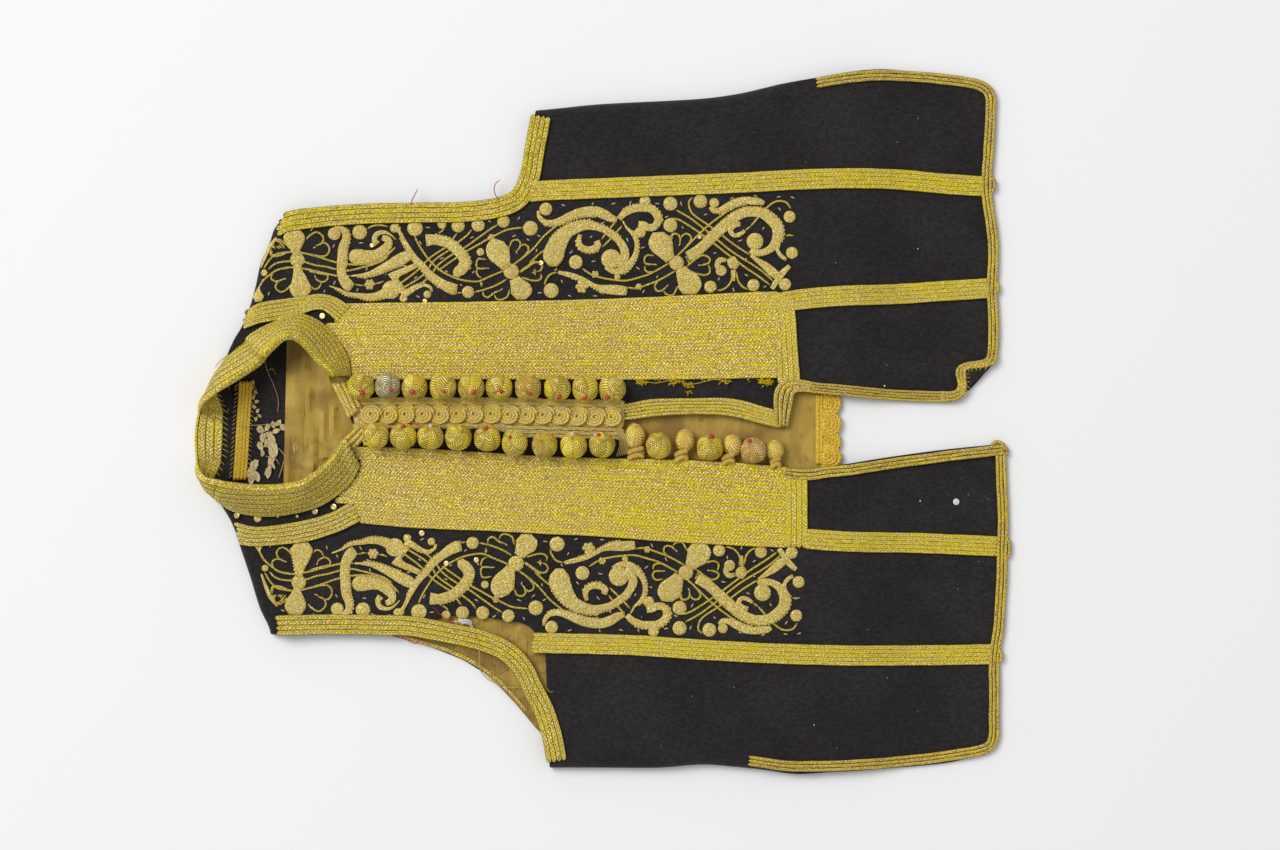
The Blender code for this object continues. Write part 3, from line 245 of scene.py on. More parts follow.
# Braid strips: node, width, rows, x, y along the middle
STRIPS = {
    "armhole_braid_left": (13.0, 4, (
        (-214.4, 124), (-207.5, 127.4), (-194, 130), (-161.5, 133), (-126, 134), (-90, 134.6), (-68.5, 137.5),
        (-55, 143.5), (-48.3, 156.5), (-44.5, 176), (-40.5, 197),
    )),
    "armhole_braid_right": (13.0, 4, (
        (-213.5, -134.2), (-197.5, -133.8), (-171.5, -133.5), (-145.5, -134), (-126, -134.5),
        (-103, -138.5), (-80.5, -143.5), (-64, -150.5), (-53, -161), (-45.5, -176), (-38, -191),
        (-33, -207.5), (-30.2, -222.5),
    )),
    "side_braid_left": (13.0, 5, (
        (-49, 147.6), (-36, 148.6), (0, 150), (37.5, 151.5), (88.5, 153.5), (125, 155.5), (160, 156.5),
        (192.5, 156), (220, 153.5), (249, 151.5),
    )),
    "side_braid_right": (13.0, 5, (
        (-47, -145.4), (-37, -145.6), (18.5, -147), (60, -149.7), (101.5, -152), (130, -153), (160, -153.7),
        (192.5, -154), (225, -153.8), (254, -153.2),
    )),
    "inner_braid_left": (13.0, 5, (
        (115.5, 76.0), (140.5, 79), (165, 80.4), (190, 81.3), (215, 83), (251.4, 85.3),
    )),
    "inner_braid_right": (13.0, 5, (
        (130, -77.7), (155.5, -79.5), (177, -80.2), (205, -80.8), (230, -81.8), (257.4, -83),
    )),
    "hem_braid_left": (7.1, 3, (
        (138, 218.5), (160, 222), (183, 223.8), (208, 222.8), (220, 221.6), (233.5, 220), (243.8, 217.8),
        (250, 214.4), (252.4, 208.6), (252.3, 202), (251.8, 189.2), (250.9, 174.4), (250, 162.6),
        (249.6, 150.8), (250.2, 142), (252, 130.2), (253.6, 118.4), (254, 108.1), (253.6, 96.3),
        (253, 85.9), (253.4, 77.1), (254.1, 63.8), (254, 50), (253.3, 42.5), (251.8, 38),
    )),
    "hem_braid_right": (7.1, 3, (
        (94, -221.6), (124, -225.6), (170, -224.6), (205, -222), (232, -218.4), (245.6, -215.8),
        (251.8, -212.8), (254.4, -206.5), (254.4, -193.7), (254.7, -177.5), (254.4, -161.2), (255.5, -148.2),
        (257.3, -137.2), (258.4, -120.9), (259.4, -104.7), (259.6, -88.4), (260.3, -70), (260, -54.6),
        (259.2, -39.7), (258.8, -22),
    )),
}

# Edging of the right back armhole: x, y along it
BACK_ARMHOLE_BRAID = (
    (-138, -138), (-128.5, -141), (-114, -145.4), (-96.5, -151.6), (-80.5, -160), (-70, -167.4),
    (-59, -178.6), (-49, -190),
)

# Twisted cords from both ends of the collar to the placket: x, y along each
NECK_CORDS_LEFT = (
    ((-175.4, 23.6), (-171, 15), (-167, 6.5), (-164.4, 0.6)),
    ((-172.8, 23.9), (-168.6, 15.6), (-165, 8), (-162.2, 1.8)),
    ((-169.8, 24.6), (-166, 17), (-162.6, 9.6), (-160, 3.6)),
    ((-166.4, 25.2), (-163.4, 18.6), (-160.4, 12.4), (-157.6, 6.8)),
)
NECK_CORDS_RIGHT = (
    ((-158.2, -4.4), (-162, -8.6), (-166.6, -12.6), (-171.6, -16.6)),
    ((-155.6, -5.8), (-158.8, -10), (-162.8, -14), (-168, -19)),
    ((-153.6, -7.4), (-156.2, -11.4), (-159.6, -15.4), (-163.8, -19.6)),
    ((-157.6, -12), (-155.6, -13.4), (-154.6, -15.6), (-155.4, -17.8)),
)

# Ball buttons: x, y of the centre
BUTTONS_LEFT = (
    (-156.6, 20.7), (-139.4, 21.2), (-122.2, 20.6), (-103.8, 20.4), (-85.5, 20.6), (-67.5, 20.5),
    (-48.8, 20.2), (-29.8, 19.8), (-11.7, 19.8), (5.8, 19.4),
)
BUTTONS_RIGHT = (
    (-147, -10.7), (-129.4, -11.2), (-111.7, -11.5), (-93.8, -11.8), (-75, -12.5), (-57.4, -15.3),
    (-38, -16.8), (-19.2, -17), (-0.8, -16.6),
)
BUTTONS_EDGE = ((35.9, -17.3), (69, -18.6), (97.3, -20.4))

# Cord knots of the open edge: the body and the lower knot, each x, y, half sizes along X, Y and Z
KNOTS_EDGE = (
    ((20.5, -11.2, 6.6, 8.4, 5.2), (21, -22.4, 5.8, 3.9, 3.6)),
    ((53.1, -13.9, 6.2, 7.6, 5.0), (50.6, -24.0, 4.8, 3.7, 3.3)),
    ((84, -17, 6.2, 7.2, 5.0), (81, -26.2, 4.6, 3.5, 3.2)),
    ((111.4, -20.2, 5.9, 6.8, 4.9), (111.8, -28.6, 3.6, 3.2, 2.8)),
)

# Beads on the balls: x, y, size, and 1 for coral or 0 for white
BALL_BEADS = (
    (-155.2, 16.6, 1.15, 1), (-136.7, 18.6, 1.0, 1), (-122.6, 17.4, 1.1, 1), (-102.7, 17.6, 0.8, 1),
    (-83.3, 17.2, 1.15, 1), (-65.6, 17.8, 1.0, 1), (-46.9, 16.2, 0.8, 1), (-28.3, 14.2, 1.1, 1),
    (-11.9, 13.4, 1.0, 1), (2.8, 13.9, 1.1, 1), (-128.7, -4.7, 1.0, 1), (-111.3, -4.4, 0.8, 0),
    (-75.6, -5.8, 1.0, 1), (-60, -11.6, 0.7, 1), (-19.6, -9.6, 0.8, 0), (-3, -10.2, 0.9, 1),
    (-5.4, -10.0, 0.6, 0), (69.9, -11.4, 1.2, 1), (94.6, -14.2, 0.9, 1),
)

# Middle of the placket of the left front: x, y
PLACKET_LINE = ((-158, 3.1), (-120, 3.3), (-80, 3.3), (-40, 2.6), (0, 1.6), (17, 1))

# Scroll work of the left front. Bands: x, y, half width along the line
SCROLL_BANDS = (
    (
        (-201.5, 123.5, 0.3), (-201, 122, 4.5), (-201, 118.5, 7.1), (-200.5, 114, 6.2), (-200, 109, 2.9),
        (-199.5, 105.5, 2.1),
    ),
    (
        (-199, 100.5, 2.4), (-198.5, 95.5, 3.3), (-197.5, 90, 5.4), (-197, 84.5, 7.4), (-197, 80.5, 5.1),
        (-196.5, 78.5, 0.3),
    ),
    (
        (-175, 125, 0.6), (-171.5, 124.5, 1.7), (-168, 121.5, 2.3), (-167.5, 117, 2.6),
        (-169.5, 111.5, 3.0), (-170, 105, 3.2), (-170.5, 96.5, 3.0), (-169, 91, 3.5), (-166, 87, 3.9),
        (-163.5, 85, 2.7),
    ),
    (
        (-160.5, 105.5, 5.7), (-154.5, 105.5, 4.5), (-148.5, 106.5, 3.6), (-144, 109, 3.3),
        (-140, 113, 3.0), (-140, 116.5, 2.4), (-144, 118, 1.8),
    ),
    (
        (-147, 113.5, 2.7), (-149, 116.5, 1.8), (-147.5, 120, 1.8), (-142.5, 121.5, 1.2),
        (-138, 119.5, 0.7), (-135, 116.5, 0.4),
    ),
    (
        (-164, 93, 0.6), (-157.5, 93.5, 1.1), (-151.5, 94.5, 1.8), (-145.5, 97, 2.5), (-139.5, 100, 3.1),
        (-133.5, 103, 3.9), (-127.5, 106, 3.6), (-123.5, 108.5, 0.4),
    ),
    (
        (-178.5, 86.5, 0.4), (-172.5, 84.5, 0.8), (-166.5, 81.5, 1.2), (-159, 80.5, 1.5),
        (-153.5, 79.5, 2.2), (-147.5, 80, 2.5), (-142, 82, 3.3), (-135.5, 85, 4.5), (-131, 88, 4.8),
    ),
    ((-212.5, 118, 0.6), (-217, 112.5, 1.3), (-220, 106, 1.2), (-223, 98.5, 0.6)),
    ((-221, 91, 0.4), (-224, 85.5, 0.5), (-224.5, 82.5, 2.1), (-224.5, 79.5, 4.1), (-224.5, 76, 0.9)),
    (
        (-135, 125, 1.2), (-132, 120.5, 1.3), (-130, 116.5, 1.4), (-126.5, 110.5, 1.7),
        (-122.5, 104.5, 2.0), (-117.5, 99.5, 2.2), (-113.5, 94.5, 2.5), (-108.5, 90.5, 2.8),
        (-103.5, 87, 3.4), (-98, 84.5, 3.9), (-95, 84, 3.3),
    ),
    ((-138, 91, 4.5), (-133.5, 94.5, 2.5), (-128, 97, 2.2), (-121.5, 100, 1.8)),
    (
        (-131.5, 80.5, 2.7), (-126.5, 82.5, 1.9), (-121.5, 85.5, 1.5), (-116.5, 87, 1.1),
        (-112.5, 85.5, 1.1), (-111.5, 82.5, 0.9),
    ),
    (
        (-115.5, 116, 4.5), (-110, 116.5, 3.4), (-105, 115.5, 3.4), (-100.5, 114, 3.4),
        (-95.5, 110, 3.4), (-91.5, 105.5, 3.5), (-90, 101.5, 3.9), (-92, 97.5, 3.9), (-95, 95, 3.3),
        (-96, 92.5, 0.9),
    ),
    (
        (-63, 97.5, 2.5), (-65.5, 103, 5.6), (-68, 108, 7.9), (-69, 112, 7.5), (-68.5, 115.5, 3.9),
        (-68, 116.5, 0.3),
    ),
    ((-58, 91.5, 3.0), (-55.5, 87, 5.7), (-53.5, 83.5, 7.6), (-53.5, 80.5, 6.2), (-53.5, 77.5, 0.6)),
    (
        (-42.5, 135.5, 0.7), (-42, 132, 1.4), (-39, 128.5, 1.8), (-34, 127.5, 1.9), (-28, 129, 2.3),
        (-21.5, 132, 2.8), (-14, 134.5, 3.1), (-5.5, 135, 3.4), (0.5, 133, 3.3), (5, 130.5, 2.7),
        (9, 129.5, 1.5),
    ),
    (
        (10, 130, 1.8), (14, 134, 2.4), (19.5, 136.5, 2.5), (25, 137, 2.5), (30.5, 136.5, 2.6),
        (34.5, 133, 2.6), (35.5, 129, 2.6), (33, 125, 2.5), (29, 124.5, 2.5), (26, 126, 2.7),
        (22.5, 126.5, 2.1),
    ),
    (
        (-32.5, 99, 0.4), (-32.5, 102, 5.4), (-32.5, 106, 7.0), (-31, 111, 6.7), (-28, 116.5, 5.7),
        (-23.5, 121.5, 4.5), (-17.5, 124.5, 3.8), (-11.5, 126, 3.3), (-5.5, 125, 2.5), (0.5, 123, 2.3),
        (5, 120, 2.3), (9.5, 116.5, 2.5), (13, 111.5, 2.8), (14, 107, 3.0), (12.5, 102.5, 3.1),
        (8.5, 100, 2.7),
    ),
    (
        (12.5, 129, 0.5), (15, 124.5, 0.8), (19, 120.5, 1.4), (21, 116.5, 1.4), (21.5, 111, 1.4),
        (20, 105.5, 1.7), (17, 101, 2.2), (12.5, 97, 2.5), (6.5, 96, 1.9), (1, 98.5, 0.9),
    ),
    (
        (-15, 120, 1.2), (-16, 116.5, 1.7), (-15, 112.5, 1.9), (-11.5, 110.5, 2.0), (-7, 110.5, 2.3),
        (-3.5, 113, 2.3), (-4.5, 116, 1.8),
    ),
    (
        (-29.5, 95.5, 1.1), (-23.5, 94, 1.7), (-17.5, 92.5, 1.6), (-11.5, 90, 1.4), (-5.5, 86.5, 1.5),
        (0.5, 84.5, 2.8), (6.5, 84, 3.4), (12.5, 83.5, 3.2), (15.5, 83, 2.7),
    ),
    (
        (43.5, 103, 2.9), (40.5, 108.5, 5.7), (37.5, 113.5, 7.9), (36, 117.5, 7.2), (35.5, 120.5, 3.3),
        (35.5, 121.5, 0.3),
    ),
    (
        (54.5, 105.5, 3.6), (60, 108.5, 3.7), (66, 113.5, 3.5), (73.5, 120.5, 3.5), (79.5, 126, 3.5),
        (85.5, 131, 3.3), (91.5, 134, 3.2), (97.5, 134.5, 3.2), (103.5, 133.5, 3.4), (108.5, 130, 3.7),
        (112.5, 125.5, 3.8), (113.5, 120, 3.8), (112, 115, 3.3), (109, 111, 2.7), (104.5, 108.5, 2.3),
        (99.5, 108, 2.3), (95.5, 110, 2.4),
    ),
    ((113.5, 114.5, 2.4), (113, 110, 1.3), (115.5, 106, 1.4), (119, 103.5, 1.2)),
    (
        (69.5, 138, 1.1), (71.5, 135.5, 1.8), (75.5, 135.5, 2.0), (80.5, 138, 2.5), (86.5, 141, 2.6),
        (92.5, 142, 2.6), (98.5, 141.5, 2.6), (103, 141, 1.9), (104.5, 140, 0.4),
    ),
    (
        (89, 127, 1.7), (85, 126, 1.9), (82.5, 123, 1.9), (84.5, 119.5, 1.5), (88.5, 120, 1.5),
        (92, 122.5, 1.0),
    ),
    ((50, 98, 3.1), (52.5, 93.5, 5.7), (55.5, 89, 8.1), (56, 85, 7.7), (56, 82, 4.2), (56, 81, 0.3)),
    ((95.5, 106.5, 0.9), (101, 102.5, 1.8), (106.5, 98.5, 2.8), (111, 94.5, 3.0), (114.5, 92.5, 2.1)),
    ((121, 99.5, 1.5), (116.5, 95, 2.1), (112.5, 89.5, 1.9), (109.5, 84.5, 1.7)),
    ((82.5, 105, 2.1), (84.5, 101, 3.9), (87.5, 99, 1.5)),
    ((80, 103, 1.2), (76, 103.5, 1.9), (74, 100.5, 1.9), (75.5, 97, 2.1)),
    ((84.5, 97, 2.0), (84.5, 93, 1.3), (84.5, 89.5, 1.0)),
)

# Couched single cords of the scroll work: x, y
SCROLL_WIRES = (
    (
        (-221, 97.5), (-216, 104.5), (-210.5, 107.5), (-204, 108.5), (-196, 108), (-184, 105), (-178, 103),
        (-172, 101.5), (-165, 100.5), (-157.5, 100.5), (-150, 101.5), (-142.5, 105), (-135, 112),
    ),
    (
        (-218, 97), (-214, 100.5), (-209.5, 102), (-202.5, 102.5), (-194.5, 102), (-187.5, 100),
        (-180.5, 99), (-174.5, 97.5), (-166, 96.5), (-159, 98), (-151.5, 100), (-144.5, 102.5),
        (-139.5, 106),
    ),
    (
        (-224, 85), (-221.5, 89.5), (-217, 93.5), (-211.5, 97), (-204, 98.5), (-193.5, 97.5), (-186.5, 96),
        (-178, 94), (-172, 93), (-164, 93),
    ),
    (
        (-193.5, 116.5), (-190.5, 119.5), (-186.5, 121.5), (-183, 119.5), (-182, 117), (-183.5, 114),
        (-187.5, 112.5),
    ),
    (
        (-183.5, 114), (-181, 114.5), (-178.5, 112), (-178.5, 108.5), (-181, 106), (-185.5, 106),
        (-193.5, 107.5),
    ),
    ((-207, 110.5), (-209.5, 114), (-212.5, 116), (-215, 115), (-215.5, 112), (-212.5, 111)),
    ((-215.5, 111), (-216.5, 108.5), (-215.5, 106), (-211.5, 107.5), (-204.5, 108)),
    ((-204, 98), (-210, 97.5), (-214.5, 95.5), (-216, 91.5), (-213.5, 89.5), (-210, 90), (-207.5, 91.5)),
    ((-210, 90), (-212.5, 88), (-213, 85), (-209.5, 82.5), (-205.5, 84.5), (-203.5, 87.5)),
    (
        (-192.5, 96.5), (-184, 94.5), (-179.5, 93.5), (-179.5, 91), (-182.5, 89), (-186.5, 90.5),
        (-187.5, 92.5),
    ),
    ((-183.5, 89), (-184, 87), (-185.5, 85), (-188.5, 84.5), (-190, 86.5)),
    ((-154, 123.5), (-150, 125.5), (-144.5, 126), (-140, 125)),
    ((-162.5, 88), (-159, 87), (-155.5, 87)),
    ((-149, 88), (-145.5, 88.5), (-142.5, 90)),
    (
        (-133.5, 87), (-121.5, 96), (-113, 104.5), (-105, 110), (-99.5, 113.5), (-97.5, 117.5),
        (-95, 121),
    ),
    (
        (-131, 84.5), (-116, 94.5), (-110.5, 102.5), (-99.5, 110.5), (-93, 116), (-88.5, 119.5),
        (-85.5, 123.5),
    ),
    (
        (-126.5, 82), (-113, 92.5), (-107.5, 100), (-96.5, 108), (-90, 111.5), (-81, 118), (-74, 123),
        (-68.5, 126.5),
    ),
    (
        (-108, 96), (-94.5, 105.5), (-89, 109), (-81, 113.5), (-75, 117), (-69, 120), (-62.5, 123),
        (-52, 124.5),
    ),
    (
        (-123, 119.5), (-120.5, 114), (-116, 107), (-113, 103), (-106.5, 97), (-100.5, 93.5), (-94.5, 91),
        (-87, 89.5), (-81, 89.5), (-74, 92.5), (-64.5, 96.5),
    ),
    ((-103.5, 125), (-104.5, 122.5), (-108, 120.5)),
    ((-61, 111.5), (-59.5, 115.5), (-56, 116.5), (-54, 114.5), (-54.5, 111.5), (-56.5, 109)),
    ((-54.5, 111.5), (-52, 113.5), (-49, 112), (-49, 109), (-53, 104.5), (-59, 100)),
    ((-75.5, 103.5), (-78.5, 104), (-81.5, 104), (-82.5, 101.5), (-82, 98), (-75, 98)),
    ((-82, 98), (-82.5, 95.5), (-81, 92.5), (-78.5, 91.5)),
    ((-62.5, 91), (-69.5, 87), (-77.5, 84), (-84, 82.5)),
    ((-78, 83.5), (-78, 80.5), (-75, 79), (-71, 82), (-67, 83.5)),
    ((-71, 81), (-69.5, 78), (-66.5, 77.5), (-62.5, 79.5), (-61, 84.5)),
    ((-92, 82), (-95.5, 82)),
    ((-55, 95.5), (-50.5, 98.5), (-44, 103.5)),
    ((-59, 100), (-51.5, 105.5), (-44, 112)),
    ((-80, 89.5), (-79, 85.5)),
    ((-28, 127.5), (-32, 124.5), (-39, 118.5), (-44, 112.5), (-48.5, 108)),
    ((-37.5, 110.5), (-42.5, 106.5), (-48.5, 101)),
    ((-1.5, 116.5), (3.5, 123), (8.5, 129)),
    ((-1, 111.5), (5, 117.5), (12.5, 126)),
    ((-14, 98), (-8, 94), (-2, 92), (6.5, 90.5), (15, 90), (23, 92), (30.5, 94.5), (43, 101.5)),
    ((-38.5, 86.5), (-37.5, 90), (-34.5, 94), (-29.5, 95.5)),
    ((15.5, 85.5), (21.5, 85), (29, 87.5), (36.5, 90.5), (47, 96.5)),
    ((33.5, 106), (28.5, 106.5), (26.5, 104), (27.5, 101), (33.5, 100.5)),
    ((27, 100), (27, 97), (29, 95.5), (32, 96)),
    ((36.5, 90.5), (33.5, 87), (34.5, 83.5), (38, 83.5), (41.5, 86.5)),
    ((39, 83.5), (41, 81), (45, 80.5), (47, 83.5), (48, 86.5)),
    ((45, 116.5), (44.5, 120), (46.5, 121.5)),
    ((58.5, 144.5), (55.5, 141), (57.5, 134), (67.5, 126.5), (77, 119.5), (85.5, 113), (95.5, 106.5)),
    (
        (47, 136), (56.5, 130.5), (65, 124), (73.5, 117), (84, 108.5), (97.5, 100), (104.5, 95),
        (110.5, 89.5),
    ),
    (
        (43, 130.5), (49, 129.5), (57.5, 124.5), (66, 118.5), (72, 114), (81.5, 106.5), (91.5, 99),
        (100.5, 93), (108.5, 87),
    ),
    ((47, 105), (55.5, 113.5), (63, 121), (69, 126.5), (77, 132.5), (81.5, 135.5)),
    ((45.5, 105.5), (44.5, 114), (44, 118.5), (46.5, 120.5), (49, 119.5), (50, 116.5), (49.5, 114)),
    ((50.5, 117), (51, 119), (54, 120.5), (57, 118.5), (56.5, 115.5), (53, 111)),
    ((54, 99), (60, 104), (65, 106.5), (69, 104.5), (69, 102), (66, 100.5), (63, 100)),
    ((68, 100.5), (69, 98), (69, 95), (65.5, 93.5), (60, 95)),
    ((96, 125.5), (101, 131.5), (107.5, 138.5), (112.5, 141.5), (118.5, 141), (122, 136.5)),
    ((92, 122.5), (96, 125.5)),
    ((83, 96.5), (83.5, 91), (80.5, 86), (77, 84), (73.5, 83.5)),
    ((86.5, 96), (87.5, 90), (90.5, 86), (94.5, 84)),
    ((118, 119), (121, 119.5), (124, 119)),
    ((54.5, 99), (56, 101), (54, 104)),
)

# Heart-shaped loops and sprigs of the flowers: x, y
SCROLL_HEARTS = (
    (
        (-54.6, 94.9), (-49.9, 98.2), (-44.8, 101.6), (-41.6, 101.7), (-39.8, 99.5), (-40.7, 96.8),
        (-43.4, 95.6),
    ),
    ((-41.2, 94.6), (-40.2, 92.6), (-41.7, 90.3), (-46.2, 90), (-53.6, 92.2)),
    ((-47, 95), (-44.6, 95.5), (-42.8, 95.9)), ((-45, 95.4), (-44.4, 97.6)), ((-45, 95.3), (-44.2, 93.4)),
    ((-206, 112.3), (-208.4, 115.2), (-211.2, 116.6), (-214, 115.4), (-214.8, 112.8), (-213, 110.6)),
    ((-215, 109.4), (-215.8, 107.4), (-213.8, 105.8), (-209.6, 106.4), (-204, 109.2)),
    ((-211, 113.4), (-210, 111.8), (-208.8, 110.8)), ((-62, 95), (-58.6, 95.4), (-56.4, 95.6)),
)

# Padded discs and small rosettes of the scroll work: x, y, radius
SCROLL_DISCS = (
    (-199, 103.5, 4.7), (-175, 120.5, 4.2), (-158.5, 121.5, 4.8), (-160.5, 105.5, 5.1), (-220.5, 95, 2.2),
    (-136, 124, 2.9), (-122.5, 124, 5.1), (-94.5, 125.5, 4.3), (-81.5, 126, 4.3), (-65, 128.5, 4.1),
    (-47.5, 124, 4.8), (-105, 126.5, 2.9), (-88, 82.5, 4.0), (-80, 108.5, 2.5), (-60, 96, 5.1),
    (-114.5, 81, 2.5), (-130, 78.5, 2.6), (-138, 84, 6.0), (-37.5, 136.5, 4.2), (27, 141.5, 3.6),
    (24, 121.5, 3.6), (5, 104, 6.5), (-18, 102, 4.5), (-34, 83.5, 4.9), (9, 92.5, 2.0), (43.5, 140, 4.6),
    (43.5, 126, 4.6), (63, 141.5, 4.5), (72, 140.5, 3.2), (98.5, 115.5, 5.5), (121, 131.5, 3.9),
    (122.5, 108, 3.9), (47.5, 101.5, 4.8), (76.5, 96.5, 3.6), (69.5, 86, 4.0), (97.5, 87, 4.0),
    (118, 87.5, 4.0),
)
SCROLL_FLOWERS = (
    (-152, 87.5, 3.1), (-73, 118, 2.0), (-135, 124, 2.8), (-5.5, 94, 2.2), (-14, 86, 3.7), (23, 86, 2.0),
)

# Short pale bugle beads: x, y, degrees
SCROLL_BUGLES = (
    (-189.5, 123.5, 60), (-209, 120.5, 20), (-217.5, 81.5, 70), (-181.5, 83, 75), (-175, 88.5, 60),
    (-157.5, 114.5, 5), (-175.5, 112.5, 60), (-155, 91.5, 20), (-160, 84, 60), (-154, 97.5, 70),
    (-188, 111.5, 20), (-211.5, 111.5, -40), (-207.5, 91, 15), (-187.5, 92.5, -70), (-114, 124.5, -5),
    (-105, 104.5, 20), (-102, 96, -30), (-85.5, 118, 20), (-74, 128.5, -30), (-55, 130.5, 60),
    (-58, 119, 20), (-49, 116.5, -40), (-84.5, 95.5, 50), (-129, 99.5, -5), (-122, 92, 30),
    (-120.5, 79.5, -30), (-92.5, 87, -35), (-79, 87.5, 80), (-56.5, 108.5, -70), (-75, 98, -10),
    (-66.5, 84, 40), (-119, 114.5, -60), (-26, 139, -20), (-7, 140, 60), (6.5, 140, 20), (17.5, 140.5, 75),
    (35, 140, -10), (-42, 119, -30), (-21.5, 127.5, -12), (-43.5, 109.5, 75), (-21, 108.5, 45),
    (-6.5, 102.5, 10), (-0.5, 127.5, 30), (-8, 118.5, 50), (15.5, 116.5, -65), (25.5, 111.5, 20),
    (22.5, 98, -40), (-27, 89.5, -60), (-31, 97, 50), (-41.5, 82, 5), (-22, 80, -25), (-5.5, 80, 0),
    (26, 83, 60), (35, 92.5, 60), (41, 131.5, 20), (33.5, 100.5, -10), (41.5, 86.5, 55), (-9, 129.5, 80),
    (50.5, 140, -70), (83.5, 143.5, 30), (99, 145, -20), (114, 144.5, 10), (123, 144, -20),
    (114.5, 136.5, -55), (66.5, 133, 20), (96.5, 126.5, 60), (89, 116, 20), (104, 124, 60), (72.5, 108, 10),
    (75, 91, 80), (84.5, 84, -70), (92.5, 104, 20), (93, 93.5, -30), (105, 86, 30), (51.5, 124.5, -60),
    (62.5, 100, 0), (49.5, 113.5, 60), (54, 105, -60),
)

# Braid of the turned corner and its run on along the front's edge: x, y of its two edges
CORNER_BRAID = (
    (250.2, 42.4, 257, 42.8), (248.6, 39.8, 255.4, 37), (245.2, 38, 251.6, 34.6),
    (240.5, 37.4, 244.6, 33.4), (235, 36.2, 238.4, 32.9), (230.9, 34.2, 236.4, 31.6),
    (229.1, 31.2, 236.2, 29.4), (229.8, 26.7, 236.4, 25.6), (230.9, 22, 236.5, 21.5),
    (230.4, 16, 236, 15.6),
)
CORNER_TAIL = (
    (231, 24.4, 236.4, 22.6), (230.4, 21, 235.6, 18), (228.8, 18.8, 232.6, 13.4), (225, 18.3, 226.6, 11.2),
    (219, 18.4, 219, 11.1),
)

# Stitches beside it: x, y and their run
CORNER_STITCHES = (
    (249.6, 34.2, -1.6, -2.6), (246.4, 33.8, -1.8, -2.4), (243, 33.4, -0.6, -2.6), (240, 33, -0.2, -2.4),
    (237.6, 32.4, 0.8, -2), (236.2, 29.6, 2.2, -0.6), (236.3, 27, 2.6, 0), (236.4, 24.4, 2.6, -0.3),
    (236.4, 21.6, 2.4, -1.6), (236.2, 19, 1.6, -1.8),
)

# Rolled ends of braids that stand out beyond the hem: x, y
BRAID_ENDS = (
    ((252.4, -18.4), (255.2, -15), (259.4, -15.8), (262.6, -19.8)),
    ((258.4, -18.8), (261.6, -19.8), (264.4, -20.2)),
    ((258.2, -21.4), (261.4, -22.2), (264.2, -22.8)),
    ((252.2, 158), (254.4, 155), (254.6, 150.8), (252.4, 147.6)),
    ((255.8, 89), (257, 86.8), (256.9, 83.8), (255.6, 81.8)),
    ((262.2, -77), (264.2, -80), (264.6, -84.5), (264, -88.5), (262, -91)),
    ((257.4, -150), (259, -152.6), (259, -156.4), (257.2, -158.4)),
)

# Flakes of frayed silk in the neck: x, y, degrees, length, half width, rise of the far end
SILK_FLAKES = (
    (-228.4, 24, 100, 3.2, 0.8, 0.6), (-229, 20.4, 60, 3.0, 0.9, 0.8), (-226.8, 17.6, 140, 3.2, 0.9, 0.5),
    (-228.2, 14, 80, 3.4, 0.8, 0.9), (-226.2, 11.4, 20, 3.4, 0.9, 0.6), (-227.8, 8, 110, 3.2, 0.9, 0.7),
    (-225.6, 5.4, 60, 3.4, 1.0, 0.8), (-224.4, 2, 130, 3.2, 0.9, 0.5), (-226.6, 0, 70, 3.2, 0.9, 0.6),
    (-223.6, -6.6, 120, 6.0, 1.8, 1.6), (-219.2, -5.4, 60, 5.4, 1.7, 1.2),
    (-215.4, -3.6, 100, 5.0, 1.6, 1.4), (-212, -2.4, 50, 5.0, 1.6, 1.0), (-209, -5.4, 130, 5.2, 1.7, 1.2),
    (-213.4, -8, 20, 5.4, 1.7, 0.8), (-218, -10.4, 150, 5.6, 1.9, 1.0), (-222.4, -12.4, 95, 6.6, 2.0, 1.3),
    (-219, -15.6, 70, 6.4, 2.1, 1.1), (-223.8, -17.6, 115, 6.2, 1.9, 0.8),
    (-206.6, -8.2, 80, 4.2, 1.2, 0.8), (-216.2, -13.4, 110, 8.0, 2.2, 1.2),
    (-215.4, -20.2, 97, 11.0, 2.6, 1.0), (-216.4, -27.8, 84, 10.0, 2.1, 0.6),
    (-218.2, -34.6, 80, 9.0, 1.9, 0.5), (-227.6, -30.6, 75, 9.0, 2.3, 1.0),
    (-230.2, -34.8, 60, 8.0, 2.0, 0.8), (-226.2, -37.4, 110, 8.0, 2.0, 0.7),
    (-229.6, -40, 80, 6.0, 1.6, 0.6), (-204.8, -14.4, 60, 7.0, 1.0, 0.8),
    (-202.4, -20.4, 82, 8.6, 1.2, 0.9), (-203.2, -27.8, 108, 8.4, 1.1, 0.7),
    (-206.4, -34, 124, 7.0, 0.9, 0.4), (-222.6, -22, 100, 5.0, 1.2, 0.6),
)

